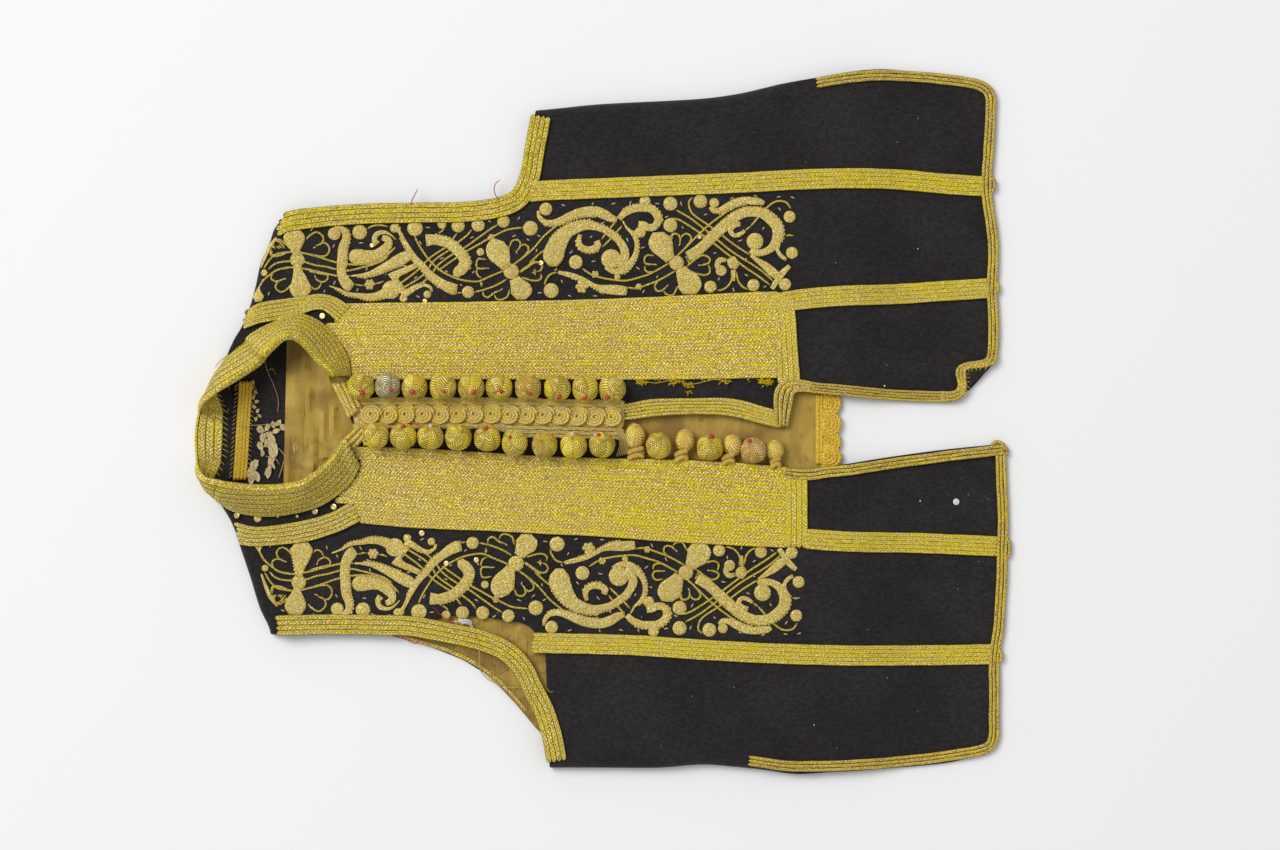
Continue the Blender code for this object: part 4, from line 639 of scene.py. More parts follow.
# Silk threads among them and other loose threads of the neck: x, y, height
SILK_THREADS = (
    ((-206, -12, 1.2), (-201, -16, 2.0), (-199, -24, 1.6), (-203, -33, 1.2)),
    ((-213, -18, 1.4), (-208, -24, 1.6), (-209.4, -31, 1.2), (-212, -39, 1.0)),
    ((-199, -13, 1.6), (-192, -15, 1.9), (-187, -24, 1.6), (-184.4, -33, 1.3)),
    ((-221, -24, 1.4), (-214, -26, 1.8), (-211, -30, 1.2)),
)
NECK_THREADS = (
    ((-221.5, 40, 1.2), (-219, 31, 1.6), (-215, 22, 1.4), (-212, 12, 1.2), (-212.6, 4, 1.4)),
    ((-219, 31, 1.6), (-216, 33, 1.9), (-213.4, 28.5, 1.2)),
    ((-238, -5.2, 6.6), (-228, -4.2, 3.4), (-214, -3.4, 1.9)),
    ((-230, 22, 1.0), (-226.4, 19.4, 1.5), (-227.6, 14.4, 1.0)),
    ((-204, 25.4, 1.8), (-199.4, 16, 2.2), (-195.4, 2.6, 2.0), (-201.4, -7, 1.6)),
    ((-189.6, -17, 2.0), (-186.4, -25, 2.2), (-184.2, -33, 2.0)),
    ((-247, 16, 2.5), (-243.6, 9, 2.0), (-245.4, 4, 2.2)),
)

# Folds of the lining in the open neck: x at the middle, slant, width, height
NECK_FOLDS = (
    (-203, 0.05, 1.6, 1.9), (-198, -0.04, 1.3, 1.4), (-191.5, -0.06, 2.0, 2.2), (-186.5, 0.09, 1.3, 1.5),
    (-181, 0.03, 1.6, 2.4), (-176, -0.10, 1.8, 1.7), (-171, 0.06, 1.4, 2.1), (-166.5, 0.1, 1.6, 1.6),
)

# Small crinkles between them: x, y, turn, width, height
NECK_CRINKLES = (
    (-178, -18, 0.9, 1.3, 2.6), (-182, -26, 0.5, 1.2, 2.5), (-186, -34, 1.2, 1.4, 2.4),
    (-174, -10, 0.3, 1.2, 2.2), (-196, -30, 1.3, 1.3, 1.9), (-190, -12, 1.5, 1.4, 1.7),
    (-201, 8, 1.4, 1.5, 1.7), (-176, 8, 0.2, 1.3, 2.4), (-184, 20, 1.1, 1.5, 1.8),
    (-172, 16, 0.4, 1.2, 2.4), (-196, 34, 0.9, 1.4, 1.7), (-206, -8, 0.1, 1.4, 1.8),
    (-188, 2, 0.7, 1.5, 1.9), (-203, 26, 0.3, 1.3, 1.7), (-192, -40, 0.8, 1.4, 2.1),
    (-180, -34, 0.2, 1.2, 2.4), (-176, -26, 1.3, 1.2, 2.5), (-188, -22, 0.6, 1.3, 2.0),
    (-198, 18, 1.2, 1.4, 1.6), (-180, 30, 0.5, 1.4, 1.9),
)

# Sequins: x, y, radius, lean
SEQUINS = (
    (-238.2, -62.6, 2.0, 0.5), (-224.7, -64.6, 2.5, 0.05), (-211.8, -63.4, 0.9, 0.1),
    (-199.2, -63.2, 1.0, 0.1), (-187.6, -59.9, 2.1, 0.45), (-175.4, -57.1, 2.1, 0.3),
    (-183, 66.9, 2.1, 0.25), (-225.2, 55.2, 1.0, 0.1), (-118.1, -74.3, 1.9, 0.1), (-102.2, -93.9, 1.8, 0.2),
    (-82.6, -91.7, 1.8, 0.1), (-129.9, -106.7, 1.6, 0.1), (-116, 76.6, 1.6, 0.1), (-40.6, 101.4, 1.7, 0.2),
    (-150.6, 112.8, 1.5, 0.1), (62.4, 118.4, 1.5, 0.1),
)

# Thread tufts: x, y, reach, threads
TUFTS = (
    (25, 23.9, 7.0, 34), (47.4, 24.6, 8.0, 30), (54.9, 21.6, 5.4, 22), (55.4, 16.9, 3.6, 10),
    (78.7, 24.8, 7.0, 24), (105.4, 23.9, 7.4, 42), (35.4, 25.2, 4.0, 6), (66.4, 25.4, 4.4, 6),
    (93.4, 25.6, 4.0, 6), (5, -29.8, 4.0, 5),
)

# Pale spots on the wool: x, y, radius
PALE_SPOTS = (
    (229.9, -54, 2.1), (206.4, -53.4, 0.5), (183, 21.5, 0.6), (205, 111, 0.4), (137, -199, 0.4),
    (-93.4, -130.8, 1.3), (-91.4, -131.2, 1.9), (-89, -131.8, 1.8), (-86.8, -133.2, 1.2),
    (-85.6, -135.2, 0.9),
)

# White fray of the torn armhole: x, y, height over the wool
PALE_FRAY = (
    (
        (-93.8, -132.6, 2.4), (-92, -131.4, 2.8), (-89.4, -130.6, 2.8), (-86.6, -131.2, 2.6),
        (-85, -133.4, 2.4),
    ),
    ((-92.6, -133.4, 2.4), (-89.6, -132.2, 2.9), (-86.8, -133.2, 2.6)),
    ((-97.4, -131.4, 1.2), (-94.6, -132, 1.8)),
)

# Loose threads over the cloth: 1 for red or 0 for gold, and x, y, height over it
STRAY_THREADS = (
    (1, ((-125.4, 138.6, 2.6), (-124.6, 141.4, 2.8), (-122.8, 145.6, 1.0), (-120.4, 150.6, -0.8))),
    (1, (
        (-67.6, 141.6, 2.8), (-70.4, 146.2, 2.0), (-71.2, 150.4, 0.4), (-69.6, 154, -0.8),
        (-66.8, 155.8, -1.4),
    )),
    (1, ((-132.4, -140.6, 2.6), (-127, -143.8, 2.7), (-121.6, -146, 1.0), (-118.6, -141.4, 2.8))),
    (1, ((-111.5, -121.6, 0.7), (-106, -127, 1.0), (-99.4, -131.6, 2.6), (-95.8, -132.6, 2.8))),
    (1, ((-140, -4.4, 2.2), (-134, -3.2, 2.6), (-130, -5.4, 3.4), (-124, -3, 2.4), (-117, -4.8, 2.2))),
    (0, (
        (-84.8, -137.2, 2.8), (-80.9, -145, 2.8), (-80.6, -152, 1.6), (-80.3, -163.2, -2.6),
        (-76.5, -168.6, -3.0), (-71.2, -171.6, -3.0), (-62.1, -174.9, -2.0), (-53.6, -174.2, 2.4),
    )),
    (0, ((-36.6, -173.4, 2.2), (-36, -176.6, 1.4), (-33.6, -177.6, 1.0), (-32, -176, 1.0))),
    (0, ((-252.4, 32.6, 4.0), (-249, 37, 5.0), (-244, 41.4, 5.4))),
    (0, (
        (21, 25.6, 2.4), (34, 23.4, 1.0), (46, 25.4, 2.2), (57, 22.6, 1.0), (72, 25.6, 2.2),
        (84, 24.2, 1.2),
    )),
    (0, ((-0.6, 20.8, 16), (-1.4, 14.8, 11), (-0.4, 9, 5), (-2, 5.6, 4))),
    (0, ((60.4, -10.6, 13), (61.4, -6.4, 14), (60.2, -3.2, 12))),
)

# Cross-sections of cords, from one edge over the top to the other: across, share of the height
FLAT_CORD = ((-1, 0), (-1, 0.75), (-0.8, 0.97), (-0.4, 1), (0, 1), (0.4, 1), (0.8, 0.97), (1, 0.75), (1, 0))
BRAID_ROW = (
    (-1, 0), (-1, 0.8), (-0.72, 0.96), (-0.36, 1), (0, 0.92), (0.36, 1), (0.72, 0.96), (1, 0.8), (1, 0),
)
ROUND_ROW = (
    (-1, 0), (-0.98, 0.42), (-0.78, 0.78), (-0.42, 0.96), (0, 1), (0.42, 0.96), (0.78, 0.78), (0.98, 0.42),
    (1, 0),
)
ROUND_CORD = ((-0.6, 0), (-1, 0.45), (-0.62, 0.88), (0, 1), (0.62, 0.88), (1, 0.45), (0.6, 0))
LOW_CORD = ((-1, 0), (-0.8, 0.7), (0, 1), (0.8, 0.7), (1, 0))
TAPE = ((-1, 0), (-1, 0.8), (-0.9, 1), (0.9, 1), (1, 0.8), (1, 0))
TUBE = ((-0.7, -0.7), (-1, 0), (-0.7, 0.7), (0, 1), (0.7, 0.7), (1, 0), (0.7, -0.7), (0, -1))
THREAD = ((-0.87, -0.5), (0, 1), (0.87, -0.5))
FLAKE = ((-1, 0), (-0.9, 1.0), (0, 0.35), (0.9, 1.0), (1, 0))


class Side(Enum):
    """The two halves of the garment, as the wearer has them."""

    LEFT = "left"
    RIGHT = "right"


class Slot(Enum):
    """The finishes that a scene may repaint."""

    WOOL = "black_wool"
    BRAID = "gold_braid"
    BUTTON = "gold_button"
    LINING = "tan_lining"
    TRIM = "amber_trim"


def smooth_rows(table: Table, count: int) -> np.ndarray:
    """Rows spread evenly along a smooth curve through the rows of a table.

    Args:
        table: Rows that start with x, y, and go on with a second x, y where there are four columns or more.
        count: How many rows to make.

    Returns:
        The rows, with as many columns as the table.
    """
    rows = np.array(table, float)
    steps = np.hypot(*np.diff(rows[:, :2], axis=0).T)
    if rows.shape[1] >= 4:
        steps = steps + np.hypot(*np.diff(rows[:, 2:4], axis=0).T)
    at = np.concatenate([[0.0], np.cumsum(steps)])
    low = np.maximum(np.arange(len(rows)) - 1, 0)
    high = np.minimum(np.arange(len(rows)) + 1, len(rows) - 1)
    slopes = (rows[high] - rows[low]) / (at[high] - at[low])[:, None]
    where = np.linspace(0, at[-1], count)
    i = np.clip(np.searchsorted(at, where, side="right") - 1, 0, len(rows) - 2)
    step = (at[i + 1] - at[i])[:, None]
    t = (where - at[i])[:, None] / step
    made = (2 * t**3 - 3 * t**2 + 1) * rows[i] + (t**3 - 2 * t**2 + t) * step * slopes[i]
    return made + (3 * t**2 - 2 * t**3) * rows[i + 1] + (t**3 - t**2) * step * slopes[i + 1]


def length_of(table: Table) -> float:
    """Length of the line through a table's first two columns."""
    rows = np.array(table, float)[:, :2]
    return float(np.hypot(*np.diff(rows, axis=0).T).sum())


def ease(share: np.ndarray) -> np.ndarray:
    """Goes smoothly from 0 to 1, and stays there outside."""
    share = np.clip(share, 0.0, 1.0)
    return share * share * (3 - 2 * share)


def nearest(x: np.ndarray, y: np.ndarray, ends: Sequence[float]) -> tuple[np.ndarray, np.ndarray]:
    """How far points lie from a straight stretch.

    Args:
        x: Places along X.
        y: Places along Y.
        ends: x, y of one end and x, y of the other.

    Returns:
        The distances, and the share of the stretch at which each is met.
    """
    x0, y0, x1, y1 = ends
    span = (x1 - x0) ** 2 + (y1 - y0) ** 2
    share = np.clip(((x - x0) * (x1 - x0) + (y - y0) * (y1 - y0)) / span, 0, 1)
    return np.hypot(x - x0 - (x1 - x0) * share, y - y0 - (y1 - y0) * share), share


def unit(vectors: np.ndarray) -> np.ndarray:
    """The directions of vectors, row by row."""
    return vectors / np.maximum(np.linalg.norm(vectors, axis=1), TINY)[:, None]


def sideways(path: np.ndarray) -> np.ndarray:
    """Unit directions to the left of a line in the plane, one for each of its points."""
    along = unit(np.gradient(path[:, :2], axis=0))
    return np.column_stack([-along[:, 1], along[:, 0]])


def line_at(edges: np.ndarray, share: float) -> np.ndarray:
    """The line at one share of the way from a strip's first edge to its second."""
    return edges[:, :2] + (edges[:, 2:4] - edges[:, :2]) * share


def places_between(first: np.ndarray, second: np.ndarray, shares: np.ndarray) -> np.ndarray:
    """A row of places from each point of one line to the point of another that answers it."""
    return first[:, None, :] + (second - first)[:, None, :] * shares[None, :, None]


def raised(spots: np.ndarray, height: np.ndarray | float) -> np.ndarray:
    """Places in the plane set at a height."""
    return np.concatenate([spots, np.broadcast_to(height, spots.shape[:-1])[..., None]], axis=-1)


def even(height: float) -> Height:
    """A level surface at one height."""
    return lambda x, y: np.full_like(x, height)


def drift(rng: np.random.Generator, along: np.ndarray, size: float, wave: float) -> np.ndarray:
    """A slow uneven wander, for cords that no hand lays quite straight.

    Args:
        rng: The source of the phases.
        along: Distances along the cord.
        size: Half the greatest wander.
        wave: Mean wave length.

    Returns:
        The wander at each distance.
    """
    first, second = rng.uniform(0, math.tau, 2)
    return size * (0.6 * np.sin(along / wave * math.tau + first) + 0.4 * np.sin(along / wave * 14.3 + second))


@dataclass
class LaidCloth:
    """The form of the wool as it lies: lifted by the back under it, rolled at its folds, creased by use."""

    lift: float = 4.4
    lift_ends: float = 158.0
    skirt_lies: float = 202.0
    puff: float = 0.8
    puff_waves: tuple[float, float] = (37.0, 31.0)
    side_roll: float = 3.0
    side_starts: float = -70.0
    shoulder_roll: float = 1.4
    shoulder_ends: float = -150.0
    roll_width: float = 42.0
    vent_starts: float = 108.0
    vent_open: float = 134.0
    rim: tuple[float, float] = (3.0, 10.0)

    def plain(self, x: np.ndarray, y: np.ndarray) -> np.ndarray:
        """Top height of the fronts and sides away from any fold."""
        lifted = self.lift * (1 - ease((x - self.lift_ends) / (self.skirt_lies - self.lift_ends)))
        long, short = self.puff_waves
        wave = np.sin(x / long + 0.6) * np.cos(y / short + 0.4)
        return lifted + self.puff * (1 + wave) * lifted / self.lift + CLOTH

    def fold_share(self, x: np.ndarray) -> np.ndarray:
        """1 where the side is folded under, 0 where the vent lies open."""
        return 1 - ease((x - self.vent_starts) / (self.vent_open - self.vent_starts))

    def rolled(self, top: np.ndarray, away: np.ndarray, roll: float) -> np.ndarray:
        """Top height near a fold: a low roll first, then the turn down.

        Args:
            top: Height without the fold.
            away: Distance from the fold's outermost line.
            roll: Height of the roll.

        Returns:
            The height with the fold.
        """
        near = away < self.roll_width
        share = 1 - np.maximum(0.0, away - FOLD_RADIUS) / (self.roll_width - FOLD_RADIUS)
        top = top + np.where(near, roll * ease(share), 0.0)
        inside = np.clip(FOLD_RADIUS - np.maximum(0.0, away), 0.0, FOLD_RADIUS)
        return top + np.sqrt(FOLD_RADIUS**2 - inside**2) - FOLD_RADIUS

    def creases(self, x: np.ndarray, y: np.ndarray) -> np.ndarray:
        """Height of the troughs and ridges that use has left in the wool."""
        total = np.zeros_like(x, dtype=float)
        for *ends, height, width in CREASES:
            away, share = nearest(x, y, ends)
            total += height * np.sin(math.pi * share) ** 0.8 * np.exp(-((away / width) ** 2))
        return total

    def top(self, x: np.ndarray, y: np.ndarray) -> np.ndarray:
        """Top height of the fronts and sides at any place.

        Args:
            x: Places along X.
            y: Places along Y.

        Returns:
            The heights over the floor.
        """
        x = np.asarray(x, float)
        y = np.asarray(y, float)
        left = np.array(SIDE_FOLD_LEFT).T
        right = np.array(SIDE_FOLD_RIGHT).T
        side = np.where(y > 0, np.interp(x, *left) - y, y - np.interp(x, *right))
        plain = self.plain(x, y)
        share = np.where((x > self.side_starts) & (side < self.roll_width), self.fold_share(x), 0.0)
        top = plain + share * (self.rolled(plain, side, self.side_roll) - plain)
        shoulder = np.full_like(x, np.inf)
        for folds, wanted in ((SHOULDER_LEFT, y > 0), (SHOULDER_RIGHT, y <= 0)):
            for first, second in zip(folds, folds[1:]):
                away = nearest(x, y, (*first, *second))[0]
                shoulder = np.where(wanted, np.minimum(shoulder, away), shoulder)
        top = np.where(x < self.shoulder_ends, self.rolled(top, shoulder, self.shoulder_roll), top)
        plain_rim, fade = self.rim
        return top + self.creases(x, y) * ease((np.abs(side) - plain_rim) / fade)


class Weaver:
    """Gathers all that one piece is made of, in millimetres, and turns it into an object.

    Every point carries a mark that its finish reads: how far along the thread it lies, where across
    it from -1 to 1, and a shade of its own from 0 to 1.
    """

    weld: float = 0.003
    rim_width: float = 1e-5
    end_fall: tuple[float, float] = (0.78, 0.97)
    end_nose: float = 0.35
    square_end: float = 0.12

    def __init__(self, seed: int = 1) -> None:
        """Starts an empty piece with its own seeded source of chance."""
        self.form = bmesh.new()
        self.marks = self.form.verts.layers.float_vector.new("thread")
        self.rng = np.random.default_rng(seed)

    def lay(self, verts: Sequence, columns: int, rows: int, points: np.ndarray, marks: np.ndarray) -> None:
        """Moves a fresh grid's points to their places.

        Args:
            verts: Points of a grid one unit wide, centred on the origin.
            columns: How many points a row has.
            rows: How many rows there are.
            points: Places, one row of the grid after another, in three columns.
            marks: Marks in the same order.
        """
        spots = np.array([vert.co[:2] for vert in verts]) + 0.5
        order = np.rint(spots[:, 1] * (rows - 1)) * columns + np.rint(spots[:, 0] * (columns - 1))
        order = order.astype(int)
        for vert, point, mark in zip(verts, points[order].tolist(), marks[order].tolist()):
            vert.co = point
            vert[self.marks] = mark

    def skin(self, points: np.ndarray, marks: np.ndarray) -> None:
        """A closed skin over rings of points, welded where a ring meets itself and where it ends.

        Args:
            points: Rings of points, one row for each.
            marks: Marks of the same shape.
        """
        rows, columns = points.shape[:2]
        made = bmesh.ops.create_grid(self.form, x_segments=columns - 1, y_segments=rows - 1, size=0.5)
        verts = made["verts"]
        rim = [v for v in verts if 0.5 - max(abs(v.co.x), abs(v.co.y)) < self.rim_width]
        self.lay(verts, columns, rows, points.reshape(-1, 3), marks.reshape(-1, 3))
        bmesh.ops.remove_doubles(self.form, verts=rim, dist=self.weld)

    def cord(
        self, path: np.ndarray, side: np.ndarray, up: np.ndarray, half: float | np.ndarray,
        height: float | np.ndarray, section: Table = FLAT_CORD, level: Height | None = None,
        period: float = 2.4, relief: float = 0.0, grain: float = 0.0, blunt: bool = False,
    ) -> None:
        """A cord along a path, flat below, with its two ends rounded off or cut square.

        Args:
            path: Points along the middle of its underside.
            side: Unit directions across it.
            up: Unit directions away from what it lies on.
            half: Half its width.
            height: Its height.
            section: Cross-section from edge to edge.
            level: Height of the cloth, where the cord follows it all over.
            period: Length of one crossing of the plait.
            relief: How far the strands stand out, as a share of the height.
            grain: Greatest random unevenness, in millimetres.
            blunt: Whether its ends are cut square.
        """
        count = len(path)
        if blunt:
            path = path.copy()
            path[1] = path[0] + (path[1] - path[0]) * self.square_end
            path[-2] = path[-1] + (path[-2] - path[-1]) * self.square_end
        ring = np.array((*section, section[0]), float)
        full = np.ones(count)
        full[[0, -1]] = 0.0
        if count > 4:
            full[[1, -2]] = self.end_fall[blunt]
        along = np.concatenate([[0.0], np.cumsum(np.linalg.norm(np.diff(path, axis=0), axis=1))])
        along = along + self.rng.uniform(0, 60)
        half = np.broadcast_to(np.asarray(half, float), (count,)) * full
        height = np.broadcast_to(np.asarray(height, float), (count,)) * full
        across, rise = ring[:, 0], ring[:, 1]
        phase = along[:, None] / period + 0.32 * np.abs(across) + 0.5 * (across > 0)
        bump = 1 + relief * np.cos(math.tau * phase) * (rise > 0.4)
        lifted = height[:, None] * rise * bump
        if grain:
            lifted = lifted + self.rng.uniform(-grain, grain, lifted.shape) * (rise > 0.3) * full[:, None]
        points = path[:, None, :] + side[:, None, :] * (half[:, None] * across)[..., None]
        if level is not None:
            points[..., 2] = level(points[..., 0], points[..., 1])
        points = points + up[:, None, :] * lifted[..., None]
        points[:, -1] = points[:, 0]
        for end in (0, -1):
            points[end] = points[end, len(section) // 2] + up[end] * float(np.max(height)) * self.end_nose
        tone = float(self.rng.uniform(0, 1))
        marks = np.empty((*points.shape[:2], 3))
        marks[..., 0] = along[:, None]
        marks[..., 1] = across
        marks[..., 2] = tone
        self.skin(points, marks)

    def laid(
        self, line: np.ndarray, half: float | np.ndarray, height: float | np.ndarray, level: Height,
        **looks: object,
    ) -> None:
        """A cord couched on cloth along a line in the plane, as cord makes it."""
        path = np.column_stack([line[:, :2], np.zeros(len(line))])
        side = np.column_stack([sideways(line), np.zeros(len(line))])
        up = np.tile((0.0, 0.0, 1.0), (len(line), 1))
        self.cord(path, side, up, half, height, level=level, **looks)

    def thread(self, points: Table, radius: float, count: int = 0) -> None:
        """A loose round thread through points in space.

        Args:
            points: x, y, z along it.
            radius: Half its thickness.
            count: How many rings it has, or 0 for one to each millimetre and a half.
        """
        rough = np.array(points, float)
        count = count or max(5, round(length_of(rough) / 1.5))
        path = smooth_rows(rough, count)
        along = np.gradient(path, axis=0)
        side = unit(np.column_stack([-along[:, 1], along[:, 0], np.zeros(count)]))
        self.cord(path, side, unit(np.cross(along, side)), radius, radius, section=THREAD)

    def dome(self, x: float, y: float, radius: float, height: float, level: Height, around: int = 14,
             rings: int = 3, grain: float = 0.0, dent: float = 0.0) -> None:
        """A padded disc on the cloth, closed below.

        Args:
            x: Place of its middle along X.
            y: Place of its middle along Y.
            radius: Its radius.
            height: Its height.
            level: Height of the cloth.
            around: Points round its rim.
            rings: Rings between its top and its rim.
            grain: Greatest random unevenness.
            dent: Depth of its middle.
        """
        turn = np.linspace(0, math.tau, around + 1)
        crown = np.linspace(0, 0.94, rings)
        reach = np.concatenate([crown, [1.0, 1.0, 0.0]])
        rise = np.concatenate([np.sqrt(1 - crown**2 * 0.82), [0.34, 0.0, 0.0]])
        px = x + radius * reach[:, None] * np.cos(turn)
        py = y + radius * reach[:, None] * np.sin(turn)
        up = height * rise[:, None] - dent * np.exp(-((reach[:, None] / 0.35) ** 2)) * (rise[:, None] > 0.5)
        up = np.broadcast_to(up, px.shape).copy()
        if grain:
            up[1:rings] += self.rng.uniform(-grain, grain, up[1:rings].shape)
        up[:, -1] = up[:, 0]
        points = np.stack([px, py, level(px, py) + up], axis=-1)
        points[0] = points[0].mean(axis=0)
        points[-1] = points[-1].mean(axis=0)
        points[:, -1] = points[:, 0]
        marks = np.empty_like(points)
        marks[..., 0] = turn * radius
        marks[..., 1] = reach[:, None]
        marks[..., 2] = self.rng.uniform(0, 1)
        self.skin(points, marks)

    def ball(self, centre: Sequence[float], radii: Sequence[float], axis: Sequence[float],
             around: int = 56, rings: int = 44, lobes: int = 8, crease: float = 0.045,
             thread: float = 0.0, square: float = 0.0, relief: float = 0.021) -> None:
        """A ball wound with thread in gores that meet at a pole.

        Args:
            centre: Its middle.
            radii: Its three half sizes along X, Y and Z.
            axis: Direction of the pole that shows.
            around: Points round it.
            rings: Rings from pole to pole.
            lobes: How many gores there are.
            crease: How deep the gores meet, as a share of the radius.
            thread: Distance between two turns of thread, or 0 for a plain ball.
            square: How far it bulges towards the corners of a square.
            relief: How far the turns of thread stand out, as a share of the radius.
        """
        pole = Vector(axis).normalized()
        low = Vector((0, 0, -1))
        first = (low - pole * low.dot(pole)).normalized() if abs(pole.z) < 0.999 else Vector((0, -1, 0))
        second = pole.cross(first)
        turn = np.linspace(0, math.tau, around + 1)
        fall = np.linspace(0, math.pi, rings + 1)[:, None]
        twist = self.rng.uniform(-0.5, 0.5)
        gore = lobes * (turn[None, :] + twist * fall) / math.tau
        valley = 1 - np.abs(np.sin(math.pi * gore)) ** 0.6
        reach = 1 - crease * valley * np.sin(fall) ** 0.7
        reach = reach + 0.014 * np.sin(3 * turn[None, :] + 9 * twist) * np.sin(fall)
        reach = reach - 0.05 * np.exp(-((fall / 0.22) ** 2))
        if thread:
            slant = np.abs(gore - np.floor(gore) - 0.5)
            turns = fall * max(radii) / thread + 3.0 * slant
            reach = reach + relief * np.sin(math.tau * turns) * np.sin(fall)
        spots = (
            np.array(pole)[None, None, :] * (np.cos(fall) * reach)[..., None]
            + np.array(first)[None, None, :] * (np.sin(fall) * np.cos(turn) * reach)[..., None]
            + np.array(second)[None, None, :] * (np.sin(fall) * np.sin(turn) * reach)[..., None]
        )
        flat = np.arctan2(spots[..., 1], spots[..., 0])
        spots[..., :2] *= (1 - square * np.cos(4 * flat) * (1 - spots[..., 2:] ** 2)[..., 0])[..., None]
        spots[:, -1] = spots[:, 0]
        spots[0] = spots[0].mean(axis=0)
        spots[-1] = spots[-1].mean(axis=0)
        marks = np.empty_like(spots)
        marks[..., 0] = gore
        marks[..., 1] = fall * max(radii)
        marks[..., 2] = self.rng.uniform(0, 1)
        self.skin(np.array(centre) + spots * np.array(radii), marks)

    def bead(self, centre: Sequence[float], radius: float, around: int = 10, rings: int = 6) -> None:
        """A small plain round bead."""
        self.ball(centre, (radius, radius, radius), (0, 0, 1), around, rings, lobes=1, crease=0.0)

    def wall(self, outer: np.ndarray, inner: np.ndarray) -> None:
        """A wall of cloth between two grids of points, closed round its rim.

        Args:
            outer: Rows of points on its outer face.
            inner: The points that answer them on its inner face.
        """
        rows, columns = outer.shape[:2]
        before = len(self.form.faces)
        made = bmesh.ops.create_grid(self.form, x_segments=columns - 1, y_segments=rows - 1, size=0.5)
        under = made["verts"]
        self.form.faces.ensure_lookup_table()
        copied = bmesh.ops.extrude_face_region(self.form, geom=self.form.faces[before:])
        over = [item for item in copied["geom"] if isinstance(item, bmesh.types.BMVert)]
        marks = np.zeros((rows * columns, 3))
        self.lay(under, columns, rows, inner.reshape(-1, 3), marks)
        self.lay(over, columns, rows, outer.reshape(-1, 3), marks)

    def piece(self, name: str, finish: "Finish", slot: Slot, nodes: Sequence[str] = (),
              sharp: float = CLOTH_EDGE) -> bpy.types.Object:
        """Ends the piece: one object, in metres, that rides with the garment.

        Args:
            name: Its name.
            finish: What it is made of.
            slot: The finish that a scene may repaint; not used.
            nodes: The solids that it stands for.
            sharp: Angle over which an edge is shaded sharp, in degrees.

        Returns:
            The object.
        """
        bmesh.ops.recalc_face_normals(self.form, faces=self.form.faces)
        for vert in self.form.verts:
            vert.co.z = max(vert.co.z, TABLE_GAP)
        bmesh.ops.translate(self.form, vec=(-MIDDLE[0], -MIDDLE[1], 0), verts=self.form.verts)
        bmesh.ops.scale(self.form, vec=(MM, MM, MM), verts=self.form.verts)
        mesh = bpy.data.meshes.new(name)
        self.form.to_mesh(mesh)
        self.form.free()
        mesh.shade_smooth()
        mesh.set_sharp_from_angle(angle=math.radians(sharp))
        mesh.materials.append(finish.material())
        obj = bpy.data.objects.new(name, mesh)
        bpy.context.scene.collection.objects.link(obj)
        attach(obj, BODY)
        if nodes:
            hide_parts(*nodes)
        log.info("%s: %d faces", name, len(mesh.polygons))
        return obj


